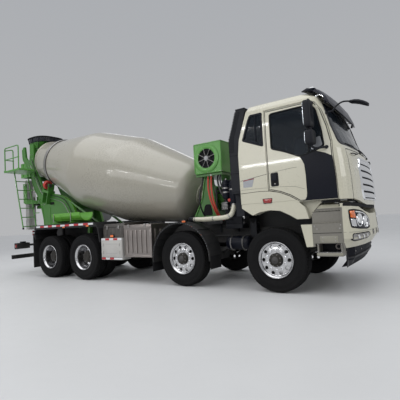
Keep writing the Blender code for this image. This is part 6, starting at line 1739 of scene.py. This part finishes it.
# long guards: tape, lamps, rolled edge, ribs; flaps with their clamps
for tag, s in SIDES:
    ys = lambda a, b: tuple(sorted((s * a, s * b)))
    p = Piece(f"rear_guard_details_{tag}", "mud", "tape_white", "tape_red", "amber", "redlens", "black", "bare_steel", "seam_and_shade")
    n = 13
    for k in range(n):
        w = 2.34 / n
        x = -6.77 + k * w
        p.box((x, x + w - 0.002), ys(1.2445, 1.2478), (1.312, 1.358), "tape_red" if k % 2 else "tape_white", r=0.001, seg=1)
    p.pipe([P(-6.80, s * 1.232, 1.372), P(-5.6, s * 1.232, 1.374), P(-4.40, s * 1.232, 1.372)], 0.008, "mud", seg=8)
    p.pipe([P(-6.88, s * 1.232, 1.268), P(-5.6, s * 1.232, 1.268), P(-4.30, s * 1.232, 1.268)], 0.007, "mud", seg=8)
    for x in (-6.55, -6.20, -5.85, -5.50, -5.15, -4.80):
        p.box((x - 0.012, x + 0.012), ys(0.60, 1.20), (1.368, 1.378), "mud", r=0.003)
    for x in (-5.535, -4.62):
        p.box((x - 0.060, x + 0.060), ys(1.238, 1.262), (1.268, 1.312), "black", r=0.006)
        p.box((x - 0.050, x + 0.050), ys(1.255, 1.2705), (1.274, 1.306), "amber", r=0.006)
    # marker lamps and blank reflectors at the guard's end
    for z, kk in ((1.225, "redlens"), (1.145, "redlens")):
        p.box((-6.990, -6.905), ys(1.10, 1.235), (z - 0.028, z + 0.028), "black", r=0.006)
        p.box((-7.000, -6.982), ys(1.112, 1.224), (z - 0.020, z + 0.020), kk, r=0.005)
        p.box((-6.975, -6.925), ys(1.230, 1.2435), (z - 0.018, z + 0.018), kk, r=0.005)
    # flap: ribs and the clamp bar with bolts
    p.box((-6.992, -6.972), ys(0.605, 1.215), (1.035, 1.085), "bare_steel", r=0.004)
    p.bolts([P(-6.992, s * y, 1.060) for y in (0.68, 0.83, 0.98, 1.13)], (-1, 0, 0), 0.009, 0.008, "bare_steel")
    for k in range(11):
        y = 0.635 + k * 0.052
        p.box((-6.9865, -6.979), ys(y, y + 0.018), (0.27, 1.02), "seam_and_shade", r=0.002)
    p.box((-6.986, -6.978), ys(0.62, 1.20), (0.255, 0.285), "seam_and_shade", r=0.003)
    p.done("chassis", 40, slot="black")
    # tail lamps: housing with three round lenses, and the bar's end
    p = Piece(f"tail_lamps_{tag}", "black", "redlens", "amber", "clearlens", "gloss_black", "bare_steel")
    p.box((-8.045, -7.985), ys(0.765, 1.175), (0.732, 0.908), "black", r=0.014, seg=3)
    for y, kk, r in ((0.845, "clearlens", 0.045), (0.970, "redlens", 0.052), (1.095, "amber", 0.052)):
        m = Matrix.Translation(P(-8.040, s * y, 0.820)) @ Vector((-1, 0, 0)).to_track_quat("Z", "Y").to_matrix().to_4x4()
        p.lathe([(r + 0.007, 0.0), (r + 0.005, 0.010), (r, 0.012)], "gloss_black", m, steps=32)
        p.lathe([(r, 0.004), (r * 0.92, 0.013), (r * 0.5, 0.019), (0.0, 0.021)], kk, m, steps=32)
    p.box((-8.00, -7.93), ys(1.150, 1.182), (0.775, 0.865), "redlens", r=0.008)
    p.box((-8.02, -7.90), ys(0.90, 1.02), (0.90, 0.945), "black", r=0.006)
    p.done("chassis", 40, slot="red")
p = Piece("underrun_details", "tape_white", "tape_red", "frame", "bare_steel", "plate", "clearlens", "seam_and_shade")
n = 15
for k in range(n):
    w = 2.28 / n
    y = -1.14 + k * w
    p.box((-8.2035, -8.1995), (y, y + w - 0.002), (0.480, 0.530), "tape_red" if k % 2 else "tape_white", r=0.001, seg=1)
for s in (-1, 1):
    p.box((-8.203, -8.077), tuple(sorted((s * 1.168, s * 1.182))), (0.447, 0.563), "seam_and_shade", r=0.005)
    for y in (0.36, 0.40):
        p.bolts([P(-8.122, s * y, z) for z in (0.60, 0.70, 0.80)], (-1, 0, 0), 0.011, 0.010, "bare_steel")
p.box((-8.062, -8.052), (-0.26, 0.26), (0.83, 0.97), "plate", r=0.005)
p.box((-8.055, -8.035), (-0.06, 0.06), (0.965, 1.00), "frame", r=0.004)
m = Matrix.Translation(P(-8.05, 0, 0.90))
p.rod(P(-8.10, 0, 0.93) + Vector((0, 0, -0.20)), P(-8.02, 0, 0.73), 0.045, "frame", seg=20, bev=0.006)
p.done("chassis", 40, slot="chassis_black")

# water tank and the stowed chute length
p = Piece("water_tank_trim", "grey", "bare_steel", "stainless", "black", "hose")
for x in (-6.98, -6.50):
    p.pipe([P(x, 0.86 + 0.243 * math.cos(math.radians(a)), 1.66 + 0.243 * math.sin(math.radians(a))) for a in range(-60, 241, 10)],
           (0.022, 0.0035), "stainless", seg=8, flat=(1, 0, 0))
for x in (-7.12, -6.36):
    p.pipe(ring_pts(P(x, 0.86, 1.66), 0.228, "x", 44), 0.012, "grey", seg=8, closed=True)
m = Matrix.Translation(P(-6.74, 0.86, 1.895))
p.lathe([(0.07, -0.01), (0.07, 0.02), (0.082, 0.024), (0.082, 0.036), (0.070, 0.042), (0.0, 0.046)], "grey", m, steps=32)
p.pipe(spline([P(-7.10, 0.80, 1.50), P(-7.20, 0.74, 1.45), P(-7.28, 0.60, 1.50), P(-7.34, 0.48, 1.70)], 6), 0.018, "hose", seg=10)
p.pipe(ring_pts(P(-7.132, 0.86, 1.66), 0.10, "x", 30), 0.008, "grey", seg=8, closed=True)
p.done("chassis", 40, slot="grey")
p = Piece("spare_chute_trim", "lime", "bare_steel")
for x in (-6.295, -5.95, -5.50, -5.155):
    p.pipe([P(x, -0.86 + 0.2125 * math.cos(math.radians(a)), 1.64 + 0.2125 * math.sin(math.radians(a))) for a in range(180, 361, 9)],
           (0.014, 0.006), "lime", seg=8, flat=(1, 0, 0))
for y in (-0.86 - 0.203, -0.86 + 0.203):
    p.pipe([P(-6.30, y, 1.642), P(-5.7, y, 1.643), P(-5.15, y, 1.642)], 0.012, "lime", seg=10)
for a in (235, 270, 305):
    y, z = -0.86 + 0.2115 * math.cos(math.radians(a)), 1.64 + 0.2115 * math.sin(math.radians(a))
    p.pipe([P(-6.27, y, z), P(-5.18, y, z)], 0.007, "lime", seg=8)
for x in (-6.22, -5.50):
    p.box((x - 0.022, x + 0.022), (-1.085, -0.64), (1.400, 1.4265), "lime", r=0.004)
    p.rod(P(x, -1.075, 1.41), P(x, -1.075, 1.66), 0.010, "bare_steel", seg=10)
p.done("chassis", 40, slot="lime")

# front pedestal: gearbox flange, ribs, pump and hydraulic motor
p = Piece("gearbox_details", "green", "bare_steel", "steel", "seam_and_shade", "hose", "black")
G = lambda h: DRUM_O + D_AX * h
mg = DRUM_M
p.lathe([(0.236, -5.40), (0.262, -5.395), (0.265, -5.385), (0.265, -5.345), (0.258, -5.338), (0.236, -5.335)], "green", mg, steps=48)
p.lathe([(0.236, -5.66), (0.255, -5.655), (0.258, -5.640), (0.258, -5.605), (0.250, -5.600), (0.236, -5.595)], "green", mg, steps=48)
for i in range(14):
    a = math.tau * i / 14
    for r, h, d in ((0.250, -5.398, -1), (0.247, -5.658, -1)):
        q = mg @ Vector((r * math.cos(a), r * math.sin(a), h))
        p.rod(q, q + D_AX * d * 0.012, 0.010, "bare_steel", seg=6, bev=0.001)
for i in range(12):
    a = math.tau * (i + 0.5) / 12
    q0, q1 = mg @ Vector((0.238 * math.cos(a), 0.238 * math.sin(a), -5.60)), mg @ Vector((0.238 * math.cos(a), 0.238 * math.sin(a), -5.40))
    p.pipe([q0, q1], 0.008, "green", seg=8)
p.lathe([(0.120, -5.855), (0.120, -5.90), (0.105, -5.91), (0.105, -6.02), (0.085, -6.04), (0.0, -6.045)], "steel", mg, steps=36)
for s in (-1, 1):
    sd = lambda x, z, h, s=s: P(x, s * (0.4105 + h), z)
    strip(p, [(-2.10, 1.27), (-1.86, 1.72), (-1.765, 2.18)], -0.012, 0.012, sd, "green", proud=0.020, deep=0.001, step=0.2)
    strip(p, [(-1.52, 1.27), (-1.56, 1.72), (-1.615, 2.18)], -0.012, 0.012, sd, "green", proud=0.020, deep=0.001, step=0.2)
    patch(p, round_path([(-1.88, 1.36), (-1.80, 1.60), (-1.66, 1.60), (-1.62, 1.36)], 0.05, 5, closed=True), sd, "seam_and_shade", proud=0.002, deep=0.001, step=0.4)
    p.bolts([P(x, s * 0.4105, 1.285) for x in (-2.08, -1.95, -1.82, -1.69, -1.56)], (0, s, 0), 0.012, 0.012, "bare_steel")
for dz, dy in ((0.04, -0.14), (-0.03, -0.09)):
    a = mg @ Vector((0, 0, -5.98)) + Vector((0, -0.08, dz))
    p.pipe(spline([a, a + Vector((0.05, dy, 0.02)), P(-1.46, -0.42, 1.86 + dz), P(-1.42, -0.56, 1.66), P(-1.44, -0.54, 1.35)], 7), 0.016, "hose", seg=10)
p.done("chassis", 40, slot="green")

# ================================================================= inside
def remeshed(bm, voxel):
    """A closed form rebuilt on an even grid."""
    me = bpy.data.meshes.new("pad_start")
    bm.to_mesh(me)
    bm.free()
    o = bpy.data.objects.new("pad_start", me)
    bpy.context.scene.collection.objects.link(o)
    md = o.modifiers.new("even", "REMESH")
    md.mode, md.voxel_size = "VOXEL", voxel
    bpy.context.view_layer.update()
    out = bpy.data.meshes.new_from_object(o.evaluated_get(bpy.context.evaluated_depsgraph_get()))
    bpy.data.objects.remove(o)
    bpy.data.meshes.remove(me)
    return out


def inflate(me, cap):
    """Let the cover swell over its stuffing, each point by no more than cap."""
    o = bpy.data.objects.new("pad_cover", me)
    bpy.context.scene.collection.objects.link(o)
    rest = [v.co.copy() for v in me.vertices]
    md = o.modifiers.new("cover", "CLOTH")
    st = md.settings
    st.quality = 4
    st.mass = 0.3
    st.tension_stiffness = st.compression_stiffness = 12.0
    st.shear_stiffness = 4.0
    st.bending_stiffness = 0.5
    st.use_pressure = True
    st.uniform_pressure_force = 4.0
    st.effector_weights.gravity = 0.0
    md.collision_settings.use_collision = False
    md.point_cache.frame_start, md.point_cache.frame_end = 1, 20
    sc = bpy.context.scene
    for fr in range(1, 21):
        sc.frame_set(fr)
    dg = bpy.context.evaluated_depsgraph_get()
    ev = o.evaluated_get(dg).to_mesh()
    new = [v.co.copy() for v in ev.vertices]
    o.evaluated_get(dg).to_mesh_clear()
    o.modifiers.remove(md)
    sc.frame_set(1)
    for v, a, b in zip(me.vertices, rest, new):
        d = b - a
        if d.length > cap:
            d *= cap / d.length
        v.co = a + d
    bpy.data.objects.remove(o)
    return me


def pad_form(length, width, thick, nu=36, nv=16, e=0.42):
    """A crowned cushion about its middle: sides pulled in between the corners."""
    bm = bmesh.new()
    pw = lambda v, q: math.copysign(abs(v) ** q, v)
    rings = []
    for j in range(1, nv):
        ph = -math.pi / 2 + math.pi * j / nv
        ring = []
        for i in range(nu):
            t = math.tau * i / nu
            x, y = pw(math.cos(t), e), pw(math.sin(t), e)
            k = pw(math.cos(ph), 0.45)
            pull = 1 - 0.030 * (1 - abs(x * y))
            ring.append(bm.verts.new((x * k * pull * length / 2, y * k * pull * width / 2, pw(math.sin(ph), 0.8) * thick / 2)))
        rings.append(ring)
    for a, b in zip(rings, rings[1:]):
        for i in range(nu):
            bm.faces.new((a[i], a[(i + 1) % nu], b[(i + 1) % nu], b[i]))
    lo, hi = bm.verts.new((0, 0, -thick / 2)), bm.verts.new((0, 0, thick / 2))
    for i in range(nu):
        bm.faces.new((lo, rings[0][(i + 1) % nu], rings[0][i]))
        bm.faces.new((hi, rings[-1][i], rings[-1][(i + 1) % nu]))
    bmesh.ops.recalc_face_normals(bm, faces=bm.faces)
    return bm


def pad_mesh(length, width, thick, cap, channels=(), bolsters=0.0):
    me = remeshed(pad_form(length, width, thick), 0.012)
    inflate(me, cap)
    # sewn channels across and the raised sides that hold the sitter
    for v in me.vertices:
        if v.co.z > 0:
            top = min(1.0, v.co.z / (thick * 0.3))
            for c in channels:
                v.co.z -= 0.011 * top * math.exp(-((v.co.x - c) / 0.010) ** 2)
            w = abs(v.co.y) / (width / 2)
            v.co.z += bolsters * top * max(0.0, min(1.0, (w - 0.50) / 0.22)) * (1 - max(0.0, (w - 0.85) / 0.25))
            v.co.z -= 0.009 * top * math.exp(-((abs(v.co.y) - width * 0.29) / 0.010) ** 2)
            v.co.z += 0.0025 * top * noise.noise(v.co * 9.0)
    me.shade_smooth()
    return me


SEAT_MESH = pad_mesh(0.560, 0.470, 0.120, 0.024, channels=(-0.16, -0.06, 0.04, 0.14), bolsters=0.016)
BACK_MESH = pad_mesh(0.610, 0.450, 0.105, 0.022, channels=(-0.20, -0.10, 0.0, 0.10), bolsters=0.016)
HEAD_MESH = pad_mesh(0.150, 0.300, 0.085, 0.014)


def pad_piece(name, me, M4):
    m2 = me.copy()
    m2.name = name
    m2.transform(M4)
    m2.materials.clear()
    m2.materials.append(M["fabric"])
    o = bpy.data.objects.new(name, m2)
    bpy.context.scene.collection.objects.link(o)
    md = o.modifiers.new("soft", "SUBSURF")
    md.levels = md.render_levels = 1
    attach(o, "cab")
    return o


for name, y in (("driver_seat", 0.58), ("passenger_seat", -0.58)):
    seat_m = Matrix.Translation(P(0.150, y, 1.945)) @ Matrix.Rotation(math.radians(-3), 4, "Y")
    pad_piece(name + "_cushion", SEAT_MESH, seat_m)
    lean = Matrix.Rotation(math.radians(-90 - 9.5), 4, "Y")
    back_m = Matrix.Translation(P(-0.140, y, 2.270)) @ Matrix.Rotation(math.radians(90 - 9.5), 4, "Y") @ Matrix.Rotation(math.pi, 4, "X")
    back_m = Matrix.Translation(P(-0.140, y, 2.270)) @ Matrix(((-0.165, 0, 0.986, 0), (0, 1, 0, 0), (0.986, 0, 0.165, 0), (0, 0, 0, 1)))
    pad_piece(name + "_backrest", BACK_MESH, back_m)
    head_m = Matrix.Translation(P(-0.222, y, 2.675)) @ Matrix(((-0.12, 0, 0.993, 0), (0, 1, 0, 0), (0.993, 0, 0.12, 0), (0, 0, 0, 1)))
    pad_piece(name + "_headrest", HEAD_MESH, head_m)
    p = Piece(name + "_frame", "dash", "black", "bare_steel", "seam_and_shade")
    p.box((-0.07, 0.40), (y - 0.225, y + 0.225), (1.553, 1.612), "dash", r=0.012, seg=3)
    for k in range(5):
        z = 1.625 + k * 0.042
        g = 0.012 if k % 2 else 0.0
        p.box((-0.03 + g, 0.36 - g), (y - 0.19 + g, y + 0.19 - g), (z, z + 0.036), "seam_and_shade", r=0.014, seg=3)
    p.box((-0.11, 0.42), (y - 0.225, y + 0.225), (1.838, 1.886), "black", r=0.014, seg=3)
    for s in (-1, 1):
        p.prism([(-0.16, 1.86), (-0.10, 1.94), (-0.20, 2.36), (-0.265, 2.54), (-0.285, 2.54), (-0.24, 2.20), (-0.20, 1.88)], "y",
                y + s * 0.222 - 0.010, y + s * 0.222 + 0.010, "dash", r=0.004)
        p.rod(P(-0.225, y + s * 0.07, 2.54), P(-0.228, y + s * 0.07, 2.63), 0.007, "bare_steel", seg=12)
    p.box((-0.292, -0.245), (y - 0.215, y + 0.215), (2.02, 2.52), "dash", r=0.016, seg=3)
    p.pipe(spline([P(-0.02, y + 0.250, 1.90), P(-0.06, y + 0.252, 2.10), P(-0.18, y + 0.245, 2.16), P(-0.20, y + 0.24, 2.14)], 4), (0.012, 0.018), "black", seg=10)
    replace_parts(p.done("cab", 40, slot="fabric"), name)

p = Piece("dash_details", "dash", "gloss_black", "chrome", "seam_and_shade", "plate", "black")
slope = lambda y, z, h: P(0.62 + (0.04 / 0.18) * (z - 2.02) - h, y, z)
o = round_path([(0.36, 2.055), (0.36, 2.185), (0.80, 2.185), (0.80, 2.055)], 0.03, 4, closed=True)
patch(p, o, slope, "gloss_black", proud=0.004, deep=0.004, step=0.1)
for y, r in ((0.48, 0.048), (0.68, 0.048), (0.58, 0.028)):
    q = Matrix.Translation(slope(y, 2.12, 0.004)) @ Vector((-1, 0, 0.22)).to_track_quat("Z", "Y").to_matrix().to_4x4()
    p.lathe([(r, 0.0), (r, 0.008), (r * 0.9, 0.010), (r * 0.88, 0.003), (0.0, 0.003)], "chrome", q, steps=32)
p.sheet([[P(0.585 + 0.46 * t, y, 2.205 + 0.055 * math.sin(math.pi * min(1, t * 1.15)) * math.cos((y - 0.58) * 5.2)) for t in (0, 0.15, 0.3, 0.5, 0.7, 0.9)]
         for y in (0.32, 0.38, 0.45, 0.52, 0.58, 0.64, 0.71, 0.78, 0.84)], "dash", thick=0.008)
patch(p, round_path([(-0.16, 2.05), (-0.16, 2.185), (0.14, 2.185), (0.14, 2.05)], 0.015, 3, closed=True), slope, "gloss_black", proud=0.008, deep=0.004, step=0.1)
for y in (-0.90, -0.60, -0.30, 0.24, 0.92):
    patch(p, round_path([(y - 0.06, 2.10), (y - 0.06, 2.175), (y + 0.06, 2.175), (y + 0.06, 2.10)], 0.012, 3, closed=True), slope, "seam_and_shade", proud=0.003, deep=0.004, step=0.1)
    for k in range(4):
        strip(p, [(y - 0.052, 2.110 + k * 0.018), (y + 0.052, 2.110 + k * 0.018)], -0.003, 0.003, slope, "black", proud=0.007, deep=0.001, step=0.1)
for k in range(5):
    q = Matrix.Translation(slope(-0.12 + k * 0.055, 2.035, 0.001)) @ Vector((-1, 0, 0.22)).to_track_quat("Z", "Y").to_matrix().to_4x4()
    p.lathe([(0.014, 0.0), (0.013, 0.012), (0.010, 0.015), (0.0, 0.015)], "black", q, steps=20)
hub = P(0.56, 0.58, 2.24)
axis = Vector((-0.62, 0.0, 0.78)).normalized()
wm = Matrix.Translation(hub) @ axis.to_track_quat("Z", "Y").to_matrix().to_4x4()
p.lathe([(0.0, -0.02), (0.075, -0.02), (0.085, 0.0), (0.080, 0.022), (0.055, 0.034), (0.0, 0.038)], "dash", wm, steps=40)
for a0 in (20, 110, 200, 290):
    q = [wm @ Vector((0.22 * math.cos(math.radians(a)), 0.22 * math.sin(math.radians(a)), 0)) for a in range(a0, a0 + 51, 5)]
    p.pipe(q, 0.0205, "seam_and_shade", seg=14)
for sg in (-1, 1):
    p.rod(hub + Vector((0, sg * 0.05, 0)) - axis * 0.15, hub + Vector((-0.03, sg * 0.17, 0.02)) - axis * 0.11, 0.008, "black", seg=12)
p.done("cab", 40, slot="black")

p = Piece("cab_lining", "dash", "seam_and_shade", "grey")
p.box((-0.455, 0.58), (-1.12, 1.12), (1.551, 1.572), "seam_and_shade", r=0.006)
p.box((-0.10, 0.60), (-0.30, 0.30), (1.572, 1.80), "dash", r=0.05, seg=4)
p.rod(P(0.36, 0.14, 1.80), P(0.33, 0.15, 1.99), 0.011, "seam_and_shade", seg=14)
p.rod(P(0.33, 0.15, 1.985), P(0.325, 0.152, 2.04), 0.026, "seam_and_shade", seg=20, bev=0.010)
p.box((-0.450, -0.335), (-1.10, 1.10), (1.575, 1.94), "dash", r=0.04, seg=4)
p.box((-0.06, 0.30), (-0.55, 0.55), (3.085, 3.165), "grey", r=0.03, seg=4)
p.done("cab", 40, slot="black")
for tag, s in SIDES:
    p = Piece(f"door_lining_{tag}", "dash", "seam_and_shade", "black")
    ys = lambda a, b: tuple(sorted((s * a, s * b)))
    p.box((0.10, 0.78), ys(1.110, 1.165), (1.93, 2.02), "dash", r=0.02, seg=4)
    p.pipe(spline([P(0.30, s * 1.145, 2.06), P(0.32, s * 1.11, 2.09), P(0.48, s * 1.105, 2.11), P(0.62, s * 1.11, 2.13), P(0.64, s * 1.145, 2.14)], 4), 0.013, "black", seg=12)
    p.box((0.12, 0.90), ys(1.120, 1.170), (1.56, 1.74), "seam_and_shade", r=0.02, seg=4)
    p.done(f"door_{tag}_body", 40, slot="black")

# ============================================================ stage and camera
floor = bpy.data.meshes.new("floor")
bm = bmesh.new()
bmesh.ops.create_grid(bm, x_segments=8, y_segments=8, size=90.0)
bm.to_mesh(floor)
bm.free()
floor = bpy.data.objects.new("floor", floor)
bpy.context.scene.collection.objects.link(floor)
fm, ft, fb = mat_base("floor_finish")
fv, _ = coords(ft)
fn = noise_tex(ft, fv, 0.35, 6.0)
ft.links.new(mix_rgb(ft, remap(ft, fn, 0.3, 0.7), (0.60, 0.605, 0.61), (0.63, 0.635, 0.64)), fb.inputs["Base Color"])
ft.links.new(remap(ft, noise_tex(ft, fv, 6.0, 6.0), 0.3, 0.7, 0.42, 0.48), fb.inputs["Roughness"])
floor.data.materials.append(fm)

cam = bpy.data.cameras.new("camera")
cam_o = bpy.data.objects.new("camera", cam)
bpy.context.scene.collection.objects.link(cam_o)
yaw, pitch, roll = math.radians(33.74), math.radians(3.265), math.radians(-3.30)
fw = Vector((-math.sin(yaw) * math.cos(pitch), math.cos(yaw) * math.cos(pitch), math.sin(pitch)))
rt = Vector((math.cos(yaw), math.sin(yaw), 0))
up = rt.cross(fw)
r_ = math.cos(roll) * rt + math.sin(roll) * up
u_ = -math.sin(roll) * rt + math.cos(roll) * up
cam_o.matrix_world = Matrix(((r_.x, u_.x, -fw.x, 2.261 + X0), (r_.y, u_.y, -fw.y, -6.686), (r_.z, u_.z, -fw.z, 1.276), (0, 0, 0, 1)))
cam.sensor_width = 36.0
cam.lens = 350.42 / 400 * 36.0
cam.clip_end = 200.0
bpy.context.scene.camera = cam_o

world = bpy.data.worlds.new("studio")
bpy.context.scene.world = world
world.use_nodes = True
wt = world.node_tree
bg = wt.nodes["Background"]
tc = wt.nodes.new("ShaderNodeTexCoord")
sp = wt.nodes.new("ShaderNodeSeparateXYZ")
wt.links.new(tc.outputs["Generated"], sp.inputs[0])
ramp = remap(wt, sp.outputs[2], -0.05, 0.75, 0.0, 1.0)
wt.links.new(mix_rgb(wt, ramp, (0.92, 0.93, 0.95), (0.80, 0.83, 0.88)), bg.inputs["Color"])
bg.inputs["Strength"].default_value = 0.50


def area(name, loc, target, size, power, color=(1, 1, 1)):
    d = bpy.data.lights.new(name, "AREA")
    d.shape = "RECTANGLE"
    d.size, d.size_y = size
    d.energy = power
    d.color = color
    o = bpy.data.objects.new(name, d)
    bpy.context.scene.collection.objects.link(o)
    o.location = loc
    o.rotation_euler = (Vector(target) - Vector(loc)).to_track_quat("-Z", "Y").to_euler()
    return o


sky = bpy.data.lights.new("sky", "SUN")
sky.energy = 0.85
sky.angle = math.radians(70)
sky_o = bpy.data.objects.new("sky", sky)
bpy.context.scene.collection.objects.link(sky_o)
sky_o.rotation_euler = (math.radians(22), 0, 0)
area("top", (-1.0, -3.0, 11.0), (-0.5, 0, 1.6), (18.0, 11.0), 520)
area("side", (-2.5, -13.5, 5.5), (-1.0, 0, 1.8), (13.0, 3.0), 190)
area("front", (14.0, -1.0, 5.5), (4.0, 0, 1.8), (5.0, 5.0), 210)
area("far", (-6.0, 9.0, 6.0), (-1.0, 0, 1.5), (8.0, 4.0), 150)
for k, (x, y, z, length, power) in enumerate(((-1.2, -9.0, 5.6, 3.6, 36), (3.2, -9.3, 5.9, 2.6, 28), (1.0, -9.0, 3.4, 3.2, 22), (-6.0, -9.0, 5.2, 2.4, 22), (-6.2, -9.2, 5.9, 2.4, 22))):
    area(f"tube_{k}", (x, y, z), (x * 0.5, 0.0, 2.4), (length, 0.09), power)
bpy.context.scene.view_settings.view_transform = "Standard"
